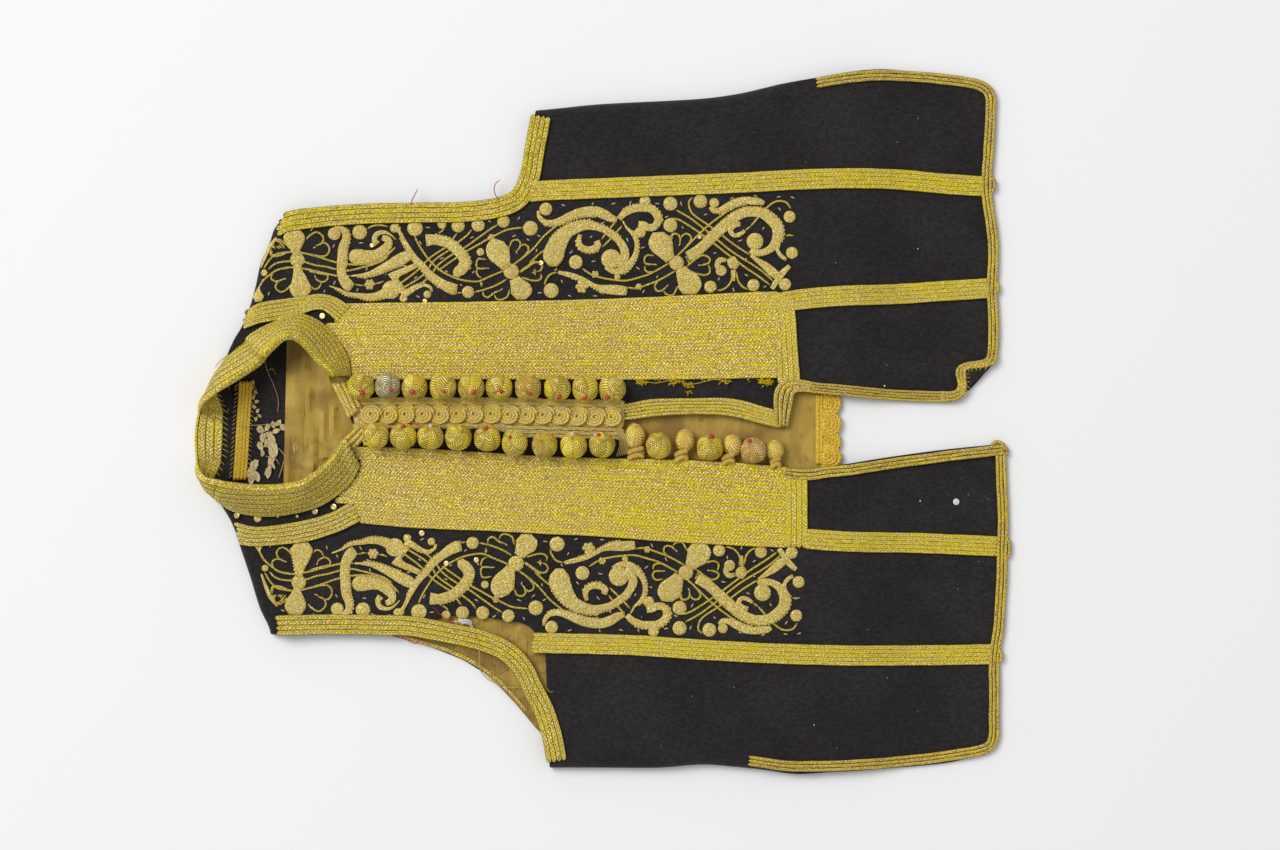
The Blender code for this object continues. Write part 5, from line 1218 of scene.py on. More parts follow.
class Graph:
    """Adds and joins the nodes of one material or node group."""

    def __init__(self, tree: bpy.types.NodeTree) -> None:
        """Works on one node tree."""
        self.tree = tree

    def feed(self, socket: bpy.types.NodeSocket, value: object) -> None:
        """Links a socket to another one, or sets it to a plain value."""
        if isinstance(value, bpy.types.NodeSocket):
            self.tree.links.new(value, socket)
        else:
            socket.default_value = value

    def node(self, kind: str, inputs: dict | None = None, **settings: object) -> bpy.types.Node:
        """A node with its settings and inputs.

        Args:
            kind: Blender's name of the node.
            inputs: Values or sockets, by the input's name or number.
            **settings: Attributes of the node.

        Returns:
            The node.
        """
        made = self.tree.nodes.new(kind)
        for name, value in settings.items():
            setattr(made, name, value)
        for name, value in (inputs or {}).items():
            self.feed(made.inputs[name], value)
        return made

    def math(self, operation: str, *values: object) -> bpy.types.NodeSocket:
        """One sum on values or sockets."""
        return self.node("ShaderNodeMath", dict(enumerate(values)), operation=operation).outputs[0]

    def mix(self, share: object, first: object, second: object) -> bpy.types.NodeSocket:
        """A colour between two others, which may be sockets or plain colours."""
        first = (*first, 1) if isinstance(first, tuple) else first
        second = (*second, 1) if isinstance(second, tuple) else second
        return self.node("ShaderNodeMix", {0: share, 6: first, 7: second}, data_type="RGBA").outputs[2]

    def times(self, colour: object, factor: bpy.types.NodeSocket) -> bpy.types.NodeSocket:
        """A colour made lighter or darker by a factor that varies over the surface."""
        grey = self.node("ShaderNodeCombineColor", {0: factor, 1: factor, 2: factor}).outputs[0]
        inputs = {0: 1.0, 6: colour, 7: grey}
        return self.node("ShaderNodeMix", inputs, data_type="RGBA", blend_type="MULTIPLY").outputs[2]

    def between(self, value: object, low: float, high: float, start: float = 0.0,
                end: float = 1.0) -> bpy.types.NodeSocket:
        """Goes smoothly from start to end as a value goes from low to high."""
        inputs = {0: value, 1: low, 2: high, 3: start, 4: end}
        return self.node("ShaderNodeMapRange", inputs, interpolation_type="SMOOTHSTEP").outputs[0]

    def noise(self, vector: object, scale: float, detail: float = 2.0) -> bpy.types.NodeSocket:
        """Soft noise, from 0 to 1."""
        inputs = {"Vector": vector, "Scale": scale, "Detail": detail}
        return self.node("ShaderNodeTexNoise", inputs).outputs[0]

    def stretched(self, vector: object, scale: Sequence[float]) -> bpy.types.NodeSocket:
        """Coordinates scaled by their own factor on each axis."""
        return self.node("ShaderNodeMapping", {"Vector": vector, "Scale": scale}).outputs[0]

    def place(self) -> bpy.types.NodeSocket:
        """Coordinates of the piece itself, in metres."""
        return self.node("ShaderNodeTexCoord").outputs["Object"]

    def wave(self, turns: bpy.types.NodeSocket) -> bpy.types.NodeSocket:
        """A sine that goes between 0 and 1 once for each turn."""
        return self.math("MULTIPLY_ADD", self.math("SINE", self.math("MULTIPLY", turns, math.tau)), 0.5, 0.5)

    def thread(self) -> tuple[bpy.types.NodeSocket, bpy.types.NodeSocket, bpy.types.NodeSocket]:
        """The marks of a point: along its thread, across it, and its shade."""
        mark = self.node("ShaderNodeAttribute", attribute_name="thread")
        parts = self.node("ShaderNodeSeparateXYZ", {0: mark.outputs["Vector"]})
        return parts.outputs[0], parts.outputs[1], parts.outputs[2]

    def vector(self, x: object, y: object, z: object) -> bpy.types.NodeSocket:
        """A vector of three values or sockets."""
        return self.node("ShaderNodeCombineXYZ", {0: x, 1: y, 2: z}).outputs[0]

    def bump(self, height: object, depth: float, strength: float = 1.0) -> bpy.types.NodeSocket:
        """A normal that follows a height, depth metres high."""
        inputs = {"Height": height, "Distance": depth, "Strength": strength}
        return self.node("ShaderNodeBump", inputs).outputs[0]


def group(name: str, inputs: dict[str, float], outputs: Sequence[str],
          build: Callable[[Graph, dict], dict]) -> bpy.types.NodeTree:
    """A shader node group of plain values, made once.

    Args:
        name: Its name.
        inputs: Its inputs and what they are unless set.
        outputs: Its outputs.
        build: Makes the nodes from the input sockets, and returns a socket for each output.

    Returns:
        The group.
    """
    if name in bpy.data.node_groups:
        return bpy.data.node_groups[name]
    tree = bpy.data.node_groups.new(name, "ShaderNodeTree")
    for label, value in inputs.items():
        tree.interface.new_socket(label, in_out="INPUT", socket_type="NodeSocketFloat").default_value = value
    for label in outputs:
        tree.interface.new_socket(label, in_out="OUTPUT", socket_type="NodeSocketFloat")
    graph = Graph(tree)
    start = graph.node("NodeGroupInput")
    end = graph.node("NodeGroupOutput")
    made = build(graph, {label: start.outputs[label] for label in inputs})
    for label in outputs:
        graph.feed(end.inputs[label], made[label])
    return tree


def plait_group() -> bpy.types.NodeTree:
    """Strands of a flat plait: their height, long streaks of two kinds, and where its margins are."""

    def build(graph: Graph, inputs: dict) -> dict:
        """Slants mirrored at the middle of the cord, broken by fine noise."""
        along, across, tone = graph.thread()
        wide = graph.math("ABSOLUTE", across)
        turns = graph.math("DIVIDE", along, inputs["Period"])
        turns = graph.math("ADD", turns, graph.math("MULTIPLY", wide, inputs["Slant"]))
        turns = graph.math("ADD", turns, graph.math("MULTIPLY", graph.math("GREATER_THAN", across, 0.0), 0.5))
        height = graph.wave(turns)
        shift = graph.math("MULTIPLY", tone, 47.0)
        lane = graph.vector(graph.math("MULTIPLY", along, 0.10), graph.math("MULTIPLY", across, 1.15), shift)
        fine = graph.noise(lane, 1.0, 1.5)
        slow = graph.noise(graph.vector(graph.math("MULTIPLY", along, 0.12), 0.0, shift), 1.0, 2.0)
        slow = graph.math("ADD", slow, graph.math("MULTIPLY_ADD", tone, 0.24, -0.12))
        return {"Height": height, "Fine": fine, "Slow": slow, "Wide": graph.between(wide, 0.35, 0.8)}

    return group("plait", {"Period": 2.4, "Slant": 0.9}, ("Height", "Fine", "Slow", "Wide"), build)


def wear_group() -> bpy.types.NodeTree:
    """Where a surface has gone dull: broad worn patches and finer ones within them."""

    def build(graph: Graph, inputs: dict) -> dict:
        """Two noises over the whole garment."""
        place = graph.place()
        broad = graph.noise(place, inputs["Broad"], 3.0)
        fine = graph.noise(place, inputs["Fine"], 2.0)
        worn = graph.math("ADD", graph.math("MULTIPLY", broad, 0.7), graph.math("MULTIPLY", fine, 0.3))
        return {"Worn": graph.between(worn, 0.42, 0.62), "Broad": broad, "Fine": fine}

    return group("wear", {"Broad": 26.0, "Fine": 240.0}, ("Worn", "Broad", "Fine"), build)


class Finish:
    """A finish that is made into a material once and then shared."""

    name: str

    def material(self) -> bpy.types.Material:
        """The material, made when first asked for."""
        if self.name in bpy.data.materials and "dressed" in bpy.data.materials[self.name]:
            return bpy.data.materials[self.name]
        made = bpy.data.materials.new(self.name)
        made.name = self.name
        made["dressed"] = True
        made.use_nodes = True
        shader = made.node_tree.nodes["Principled BSDF"]
        self.dress(Graph(made.node_tree), shader)
        return made

    def dress(self, graph: Graph, shader: bpy.types.Node) -> None:
        """Adds the finish's nodes to its material."""
        raise NotImplementedError


@dataclass(frozen=True)
class Plait(Finish):
    """Flat plaited metal cord: bright yellow and pale rubbed stretches, with painted shade in its grooves and
    where its rows meet.
    """

    name: str = "plaited_gold"
    deep: Colour = (0.19, 0.145, 0.012)
    yellow: Colour = (0.56, 0.42, 0.008)
    bright: Colour = (0.94, 0.76, 0.035)
    pale: Colour = (0.66, 0.48, 0.066)
    fleck: Colour = (0.40, 0.25, 0.06)
    glint: Colour = (1.0, 0.92, 0.36)
    period: float = 2.4
    metallic: float = 0.2
    roughness: float = 0.5
    edge: float = 0.7
    groove: float = 0.74
    drift: float = 0.26
    yellower: float = 0.0

    def dress(self, graph: Graph, shader: bpy.types.Node) -> None:
        """Long yellow streaks beside pale dotted ones, which grow fewer towards the hem."""
        plait = graph.node("ShaderNodeGroup", node_tree=plait_group())
        plait.inputs["Period"].default_value = self.period
        wear = graph.node("ShaderNodeGroup", node_tree=wear_group())
        wear.inputs["Broad"].default_value = 5.0
        strands = plait.outputs["Height"]
        reach, across, tone = graph.thread()
        lane = graph.vector(graph.math("MULTIPLY", reach, 1.15), graph.math("MULTIPLY", across, 3.2),
                            graph.math("MULTIPLY", tone, 61.0))
        dots = graph.noise(lane, 1.0, 1.0)
        along = graph.node("ShaderNodeSeparateXYZ", {0: graph.place()}).outputs[0]
        share = graph.math("MULTIPLY_ADD", along, self.drift, self.yellower)
        share = graph.math("MULTIPLY_ADD", plait.outputs["Fine"], 0.52, share)
        share = graph.math("MULTIPLY_ADD", plait.outputs["Slow"], 0.22, share)
        share = graph.math("MULTIPLY_ADD", wear.outputs["Broad"], 0.18, share)
        share = graph.math("MULTIPLY_ADD", plait.outputs["Wide"], 0.14, share)
        pale = graph.mix(graph.between(dots, 0.50, 0.58), self.pale, self.fleck)
        shine = graph.math("MULTIPLY", graph.between(dots, 0.50, 0.41), graph.between(strands, 0.15, 0.7))
        pale = graph.mix(shine, pale, self.glint)
        yellow = graph.mix(graph.between(dots, 0.56, 0.40), self.yellow, self.bright)
        colour = graph.mix(graph.between(share, 0.48, 0.59), pale, yellow)
        # Painted shade: the deep colour fills the troughs between strands and, as strong as edge sets, the
        # margins where rows meet.
        groove = graph.math("MULTIPLY", graph.between(strands, 0.5, 0.0), 0.40)
        wide = graph.math("ABSOLUTE", across)
        margin = graph.between(wide, self.groove, min(0.98, self.groove + 0.22))
        edge = graph.math("MULTIPLY", margin, self.edge)
        colour = graph.mix(graph.math("MAXIMUM", groove, edge), colour, self.deep)
        graph.feed(shader.inputs["Base Color"], colour)
        shader.inputs["Metallic"].default_value = self.metallic
        shader.inputs["Specular IOR Level"].default_value = 0.35
        graph.feed(shader.inputs["Roughness"], graph.math("MULTIPLY_ADD", dots, 0.25, self.roughness - 0.12))
        height = graph.math("MULTIPLY_ADD", strands, 0.7, graph.math("MULTIPLY", dots, 0.9))
        graph.feed(shader.inputs["Normal"], graph.bump(height, 0.0005, 0.7))


@dataclass(frozen=True)
class Couched(Finish):
    """Metal purl laid close over padding, which looks like seed."""

    name: str = "couched_purl"
    deep: Colour = (0.40, 0.28, 0.05)
    gold: Colour = (0.82, 0.62, 0.11)
    pale: Colour = (1.0, 0.90, 0.46)
    dull: Colour = (0.70, 0.51, 0.17)
    seed: float = 1100.0

    def dress(self, graph: Graph, shader: bpy.types.Node) -> None:
        """Seeds, the palest painted as glints, with painted shade in the gaps between them."""
        place = graph.place()
        cells = graph.node("ShaderNodeTexVoronoi", {"Vector": place, "Scale": self.seed})
        gap = graph.between(cells.outputs["Distance"], 0.30, 0.70)
        shade = graph.node("ShaderNodeSeparateColor", {0: cells.outputs["Color"]}).outputs[0]
        wear = graph.node("ShaderNodeGroup", node_tree=wear_group())
        # The palest seeds stand in for glints: painted highlights.
        colour = graph.mix(graph.between(shade, 0.45, 0.85), self.gold, self.pale)
        colour = graph.mix(graph.math("MULTIPLY", wear.outputs["Worn"], 0.5), colour, self.dull)
        # Painted shade in the gaps between the seeds.
        colour = graph.mix(graph.math("MULTIPLY", gap, 0.8), colour, self.deep)
        graph.feed(shader.inputs["Base Color"], colour)
        shader.inputs["Metallic"].default_value = 0.2
        shader.inputs["Specular IOR Level"].default_value = 0.35
        shader.inputs["Roughness"].default_value = 0.45
        height = graph.math("SUBTRACT", 1.0, gap)
        graph.feed(shader.inputs["Normal"], graph.bump(height, 0.0004, 0.7))


@dataclass(frozen=True)
class WoundThread(Finish):
    """Metal thread wound over a ball in slanting gores."""

    name: str = "wound_thread"
    deep: Colour = (0.11, 0.075, 0.006)
    gold: Colour = (1.0, 0.77, 0.03)
    pale: Colour = (1.0, 0.89, 0.30)
    dull: Colour = (0.68, 0.42, 0.11)
    green: Colour = (0.60, 0.44, 0.035)
    spacing: float = 1.9
    netted: bool = False

    def dress(self, graph: Graph, shader: bpy.types.Node) -> None:
        """Turns of thread, with each ball, each gore and each turn of its own shade."""
        gore, down, tone = graph.thread()
        slant = graph.math("ABSOLUTE", graph.math("SUBTRACT", graph.math("FRACT", gore), 0.5))
        turns = graph.math("DIVIDE", down, self.spacing)
        leaning = graph.math("MULTIPLY", slant, 3.0)
        strand = graph.wave(graph.math("ADD", turns, leaning))
        if self.netted:
            other = graph.wave(graph.math("SUBTRACT", turns, graph.math("MULTIPLY", gore, 2.0)))
            both = graph.math("MAXIMUM", strand, other)
            strand = graph.math("MULTIPLY", both, graph.math("ADD", other, 0.25))
        wear = graph.node("ShaderNodeGroup", node_tree=wear_group())
        wear.inputs["Broad"].default_value = 110.0
        of_gore = graph.vector(graph.math("FLOOR", gore), graph.math("MULTIPLY", tone, 31), 0.5)
        shade = graph.noise(of_gore, 3.7, 0.0)
        turn = graph.math("FLOOR", graph.math("ADD", turns, leaning))
        each = graph.vector(turn, graph.math("MULTIPLY", gore, 0.6), graph.math("MULTIPLY", tone, 53))
        lit = graph.noise(each, 2.3, 1.0)
        colour = graph.mix(graph.between(shade, 0.38, 0.62), self.green, self.gold)
        colour = graph.mix(graph.math("MULTIPLY", wear.outputs["Worn"], 0.5), colour, self.dull)
        # Painted highlights on the crests of some turns of thread.
        light = graph.math("MULTIPLY", graph.between(lit, 0.48, 0.66), graph.between(strand, 0.3, 0.9))
        colour = graph.mix(light, colour, self.pale)
        dim = graph.between(graph.math("FRACT", graph.math("MULTIPLY", tone, 7)), 0.5, 1.0, 0.0, 0.4)
        colour = graph.mix(dim, colour, self.dull)
        # Painted shade in the troughs between turns and where the gores meet.
        colour = graph.mix(graph.math("MULTIPLY", graph.between(strand, 0.42, 0.0), 0.9), colour, self.deep)
        valley = graph.between(slant, 0.42, 0.5)
        colour = graph.mix(graph.math("MULTIPLY", valley, 0.6), colour, self.deep)
        graph.feed(shader.inputs["Base Color"], colour)
        shader.inputs["Metallic"].default_value = 0.2
        shader.inputs["Specular IOR Level"].default_value = 0.35
        shader.inputs["Roughness"].default_value = 0.42
        graph.feed(shader.inputs["Normal"], graph.bump(strand, 0.0004, 0.7))


@dataclass(frozen=True)
class Wool(Finish):
    """Fulled black wool, napped, with a little lint."""

    name: str = "fulled_wool"
    black: Colour = (0.0175, 0.0152, 0.0158)
    brown: Colour = (0.028, 0.0245, 0.0245)
    lint: Colour = (0.35, 0.32, 0.27)

    def dress(self, graph: Graph, shader: bpy.types.Node) -> None:
        """Nap, matted patches and specks."""
        place = graph.place()
        nap = graph.noise(place, 1300.0, 4.0)
        tufts = graph.noise(graph.stretched(place, (1.0, 1.6, 1.0)), 330.0, 3.0)
        broad = graph.noise(place, 22.0, 3.0)
        colour = graph.mix(graph.between(tufts, 0.35, 0.68), self.black, self.brown)
        light = graph.math("MULTIPLY_ADD", graph.between(nap, 0.3, 0.7), 0.5, 0.72)
        light = graph.math("MULTIPLY", light, graph.between(broad, 0.35, 0.65, 0.86, 1.16))
        colour = graph.times(colour, light)
        cells = graph.node("ShaderNodeTexVoronoi", {"Vector": place, "Scale": 150.0})
        speck = graph.between(cells.outputs["Distance"], 0.07, 0.03)
        chosen = graph.node("ShaderNodeSeparateColor", {0: cells.outputs["Color"]}).outputs[0]
        speck = graph.math("MULTIPLY", speck, graph.math("GREATER_THAN", chosen, 0.86))
        graph.feed(shader.inputs["Base Color"], graph.mix(speck, colour, self.lint))
        shader.inputs["Roughness"].default_value = 0.96
        shader.inputs["Specular IOR Level"].default_value = 0.2
        shader.inputs["Sheen Weight"].default_value = 0.12
        shader.inputs["Sheen Roughness"].default_value = 0.45
        height = graph.math("ADD", nap, graph.math("MULTIPLY", tufts, 1.3))
        graph.feed(shader.inputs["Normal"], graph.bump(height, 0.0006, 0.75))


@dataclass(frozen=True)
class Cotton(Finish):
    """Glazed tan cotton, ribbed and stained, with painted light in soft lighter streaks."""

    name: str = "tan_cotton"
    tan: Colour = (0.42, 0.265, 0.030)
    light: Colour = (0.52, 0.35, 0.055)
    stain: Colour = (0.21, 0.115, 0.012)
    rib: float = 0.00095

    def dress(self, graph: Graph, shader: bpy.types.Node) -> None:
        """Ribs across the garment, soft lighter streaks painted as light on creases, and stains."""
        place = graph.place()
        x, y = graph.node("ShaderNodeSeparateXYZ", {0: place}).outputs[:2]
        turns = graph.math("DIVIDE", x, self.rib)
        rib = graph.wave(turns)
        streak = graph.noise(graph.stretched(place, (1.0, 0.25, 1.0)), 150.0, 3.0)
        stain = graph.noise(place, 34.0, 4.0)
        spot = graph.noise(place, 130.0, 2.0)
        # Painted light: lighter streaks standing in for the lit sides of creases.
        colour = graph.mix(graph.between(streak, 0.4, 0.7), self.tan, self.light)
        # Darker near the torn right armhole: painted shadow beside its braid, added to the stains there, and
        # thin dark curled lines.
        beside = graph.math("MULTIPLY", graph.between(y, -0.134, -0.146), graph.between(x, -0.02, -0.05))
        stain = graph.math("MULTIPLY_ADD", beside, 0.10, stain)
        curl = graph.math("ABSOLUTE", graph.math("SUBTRACT", graph.noise(place, 95.0, 2.0), 0.5))
        curl = graph.math("MULTIPLY", graph.between(curl, 0.035, 0.01), beside)
        colour = graph.mix(graph.math("MULTIPLY", graph.between(stain, 0.48, 0.68), 0.75), colour, self.stain)
        colour = graph.mix(graph.math("MULTIPLY", graph.between(spot, 0.6, 0.72), 0.5), colour, self.stain)
        colour = graph.mix(graph.math("MULTIPLY", curl, 0.8), colour, self.stain)
        colour = graph.times(colour, graph.math("MULTIPLY_ADD", rib, 0.16, 0.9))
        graph.feed(shader.inputs["Base Color"], colour)
        shader.inputs["Roughness"].default_value = 0.62
        shader.inputs["Sheen Weight"].default_value = 0.08
        height = graph.math("ADD", rib, graph.math("MULTIPLY", streak, 2.0))
        graph.feed(shader.inputs["Normal"], graph.bump(height, 0.00012, 0.8))


@dataclass(frozen=True)
class Strand(Finish):
    """Spun thread of one colour, in two shades, for tufts, fray and loose ends."""

    name: str = "cream_silk"
    shade: Colour = (0.34, 0.23, 0.08)
    bright: Colour = (0.98, 0.84, 0.50)
    roughness: float = 0.5
    metallic: float = 0.0

    def dress(self, graph: Graph, shader: bpy.types.Node) -> None:
        """Slanting fibres along the thread, with light and shade painted along its twist."""
        along, across, _ = graph.thread()
        # Painted light and shade along the twist, mixed with the fibres' own uneven tone.
        turns = graph.math("ADD", graph.math("MULTIPLY", along, 1.1), graph.math("MULTIPLY", across, 0.4))
        twist = graph.wave(turns)
        fibre = graph.noise(graph.place(), 500.0, 2.0)
        share = graph.math("ADD", graph.math("MULTIPLY", twist, 0.5), graph.math("MULTIPLY", fibre, 0.5))
        graph.feed(shader.inputs["Base Color"], graph.mix(share, self.shade, self.bright))
        shader.inputs["Roughness"].default_value = self.roughness
        shader.inputs["Metallic"].default_value = self.metallic
        shader.inputs["Specular IOR Level"].default_value = 0.2
        graph.feed(shader.inputs["Normal"], graph.bump(twist, 0.0002, 0.5))


@dataclass(frozen=True)
class Bead(Finish):
    """Glassy bead or polished metal, faintly uneven."""

    name: str = "coral_bead"
    body: Colour = (0.42, 0.010, 0.018)
    light: Colour = (0.56, 0.025, 0.03)
    roughness: float = 0.12
    metallic: float = 0.0

    def dress(self, graph: Graph, shader: bpy.types.Node) -> None:
        """Two close shades under a gloss."""
        cloud = graph.noise(graph.place(), 700.0, 2.0)
        graph.feed(shader.inputs["Base Color"], graph.mix(cloud, self.body, self.light))
        graph.feed(shader.inputs["Roughness"], graph.math("MULTIPLY_ADD", cloud, 0.12, self.roughness))
        shader.inputs["Metallic"].default_value = self.metallic
        shader.inputs["Coat Weight"].default_value = 0.2


# In every plait below, deep is the colour of painted shade in the grooves, and edge sets how strongly it
# darkens the row margins.
GOLD = Plait()
PANEL = Plait(name="panel_plait", deep=(0.20, 0.13, 0.012), pale=(0.66, 0.46, 0.078),
              fleck=(0.40, 0.235, 0.06), bright=(1.0, 0.82, 0.03), edge=0.72, groove=0.80)
RIM = Plait(name="rim_plait", deep=(0.26, 0.20, 0.02), edge=0.3, groove=0.76, yellower=0.03)
OLIVE = Plait(name="olive_plait", deep=(0.11, 0.088, 0.006), pale=(0.68, 0.49, 0.09),
              bright=(1.0, 0.82, 0.03), edge=0.85, groove=0.66, yellower=0.03)
SEAM = Plait(name="seam_plait", deep=(0.19, 0.145, 0.010), pale=(0.74, 0.55, 0.11),
             fleck=(0.44, 0.28, 0.07), bright=(1.0, 0.82, 0.045), edge=0.75, groove=0.73, drift=0.10,
             yellower=0.03)
WORN = Plait(name="worn_plait", deep=(0.11, 0.087, 0.005), pale=(0.64, 0.46, 0.065),
             fleck=(0.38, 0.235, 0.045), bright=(0.96, 0.78, 0.025), edge=0.85, groove=0.68, drift=0.12,
             yellower=0.03)
TARNISHED = Plait(name="tarnished_plait", deep=(0.075, 0.045, 0.008), yellow=(0.64, 0.46, 0.025),
                  bright=(0.95, 0.74, 0.07), pale=(0.60, 0.42, 0.08), fleck=(0.36, 0.215, 0.05),
                  glint=(1.0, 0.84, 0.34), edge=1.0, groove=0.66, drift=0.08)
FADED = Plait(name="faded_plait", deep=(0.30, 0.20, 0.06), yellow=(0.62, 0.45, 0.05),
              bright=(0.84, 0.66, 0.12), pale=(0.60, 0.42, 0.14), fleck=(0.50, 0.32, 0.13),
              glint=(0.92, 0.76, 0.42), period=1.8)
AMBER = Plait(name="amber_plait", deep=(0.32, 0.16, 0.008), yellow=(0.80, 0.50, 0.014),
              bright=(0.95, 0.68, 0.03), pale=(0.80, 0.53, 0.035), fleck=(0.60, 0.36, 0.03),
              glint=(1.0, 0.84, 0.22), metallic=0.1, drift=0.0, edge=0.6)
# In the purl and wound-thread finishes, deep is the colour of painted shade in gaps and troughs, and pale of
# painted highlights.
PURL = Couched()
WOUND = WoundThread()
KNOTTED = WoundThread(name="knotted_thread", gold=(1.0, 0.78, 0.10), pale=(1.0, 0.88, 0.38),
                      green=(0.95, 0.62, 0.12), deep=(0.20, 0.11, 0.015), dull=(0.88, 0.54, 0.15),
                      spacing=2.1, netted=True)
GREYED = WoundThread(name="greyed_thread", gold=(0.56, 0.46, 0.20), pale=(0.86, 0.80, 0.52),
                     green=(0.40, 0.34, 0.15), deep=(0.10, 0.075, 0.03), dull=(0.48, 0.36, 0.20))
ROSY = WoundThread(name="rosy_thread", gold=(0.86, 0.52, 0.17), pale=(1.0, 0.76, 0.42),
                   green=(0.62, 0.44, 0.06), deep=(0.16, 0.09, 0.02), dull=(0.72, 0.42, 0.18))
COILED = Plait(name="coiled_plait", deep=(0.34, 0.235, 0.03), yellow=(0.84, 0.64, 0.03),
               bright=(0.98, 0.80, 0.10), pale=(0.86, 0.63, 0.17), fleck=(0.64, 0.42, 0.13),
               glint=(1.0, 0.90, 0.50), period=1.8, edge=0.3, drift=0.0)
WOOL = Wool()
COTTON = Cotton()
SILK = Strand()
RED_THREAD = Strand(name="red_thread", shade=(0.40, 0.02, 0.03), bright=(0.62, 0.08, 0.08))
TUFT = Strand(name="yellow_tuft", shade=(0.62, 0.44, 0.005), bright=(0.84, 0.66, 0.02))
GOLD_THREAD = Strand(name="gold_thread", shade=(0.42, 0.30, 0.05), bright=(0.82, 0.68, 0.20), metallic=0.2)
PALE_THREAD = Strand(name="pale_thread", shade=(0.24, 0.16, 0.04), bright=(0.95, 0.76, 0.30))
CORAL = Bead()
LINT = Strand(name="white_lint", shade=(0.56, 0.54, 0.50), bright=(0.90, 0.89, 0.86), roughness=0.9)
GLASS = Bead(name="white_bead", body=(0.50, 0.44, 0.38), light=(0.78, 0.74, 0.68))
SEQUIN = Bead(name="gilt_sequin", body=(0.62, 0.45, 0.12), light=(0.85, 0.70, 0.32), roughness=0.25,
              metallic=0.8)
BUGLE = Bead(name="pale_bugle", body=(0.46, 0.30, 0.17), light=(0.74, 0.58, 0.36), roughness=0.3)


@dataclass
class Studio:
    """Camera, soft lights and the pale floor."""

    middle: tuple[float, float] = (0.02527, -0.00245)
    height: float = 1.8
    garment: float = 0.008
    view_width: float = 0.832
    sensor: float = 36.0
    floor_size: float = 6.0
    key_power: float = 217.0
    key_place: tuple[float, float, float] = (-3.0, 2.2, 4.5)
    sky: float = 0.503

    def camera(self) -> None:
        """The camera straight above, with the neck to the left of the picture."""
        data = bpy.data.cameras.new("camera")
        data.sensor_width = self.sensor
        data.lens = self.sensor * self.height / self.view_width
        made = bpy.data.objects.new("camera", data)
        made.location = (*self.middle, self.height + self.garment)
        bpy.context.scene.collection.objects.link(made)
        bpy.context.scene.camera = made

    def lights(self) -> None:
        """A broad soft light from the upper left and an even sky."""
        data = bpy.data.lights.new("softbox", "AREA")
        data.shape = "SQUARE"
        data.size = 3.0
        data.energy = self.key_power
        made = bpy.data.objects.new("softbox", data)
        made.location = self.key_place
        made.rotation_euler = (-made.location).to_track_quat("-Z", "Y").to_euler()
        bpy.context.scene.collection.objects.link(made)
        world = bpy.data.worlds.new("sky")
        world.use_nodes = True
        world.node_tree.nodes["Background"].inputs["Color"].default_value = (1, 1, 1, 1)
        world.node_tree.nodes["Background"].inputs["Strength"].default_value = self.sky
        bpy.context.scene.world = world
        bpy.context.scene.view_settings.view_transform = "Standard"

    def floor(self) -> None:
        """A plain pale sheet just under the garment."""
        form = bmesh.new()
        bmesh.ops.create_grid(form, x_segments=1, y_segments=1, size=self.floor_size / 2)
        bmesh.ops.translate(form, vec=(0, 0, -0.0003), verts=form.verts)
        mesh = bpy.data.meshes.new("floor")
        form.to_mesh(mesh)
        form.free()
        material = bpy.data.materials.new("paper")
        material.use_nodes = True
        shader = material.node_tree.nodes["Principled BSDF"]
        shader.inputs["Base Color"].default_value = (0.93, 0.93, 0.93, 1)
        shader.inputs["Roughness"].default_value = 0.9
        mesh.materials.append(material)
        made = bpy.data.objects.new("floor", mesh)
        bpy.context.scene.collection.objects.link(made)

    def build(self) -> None:
        """Sets up the whole studio."""
        self.camera()
        self.lights()
        self.floor()


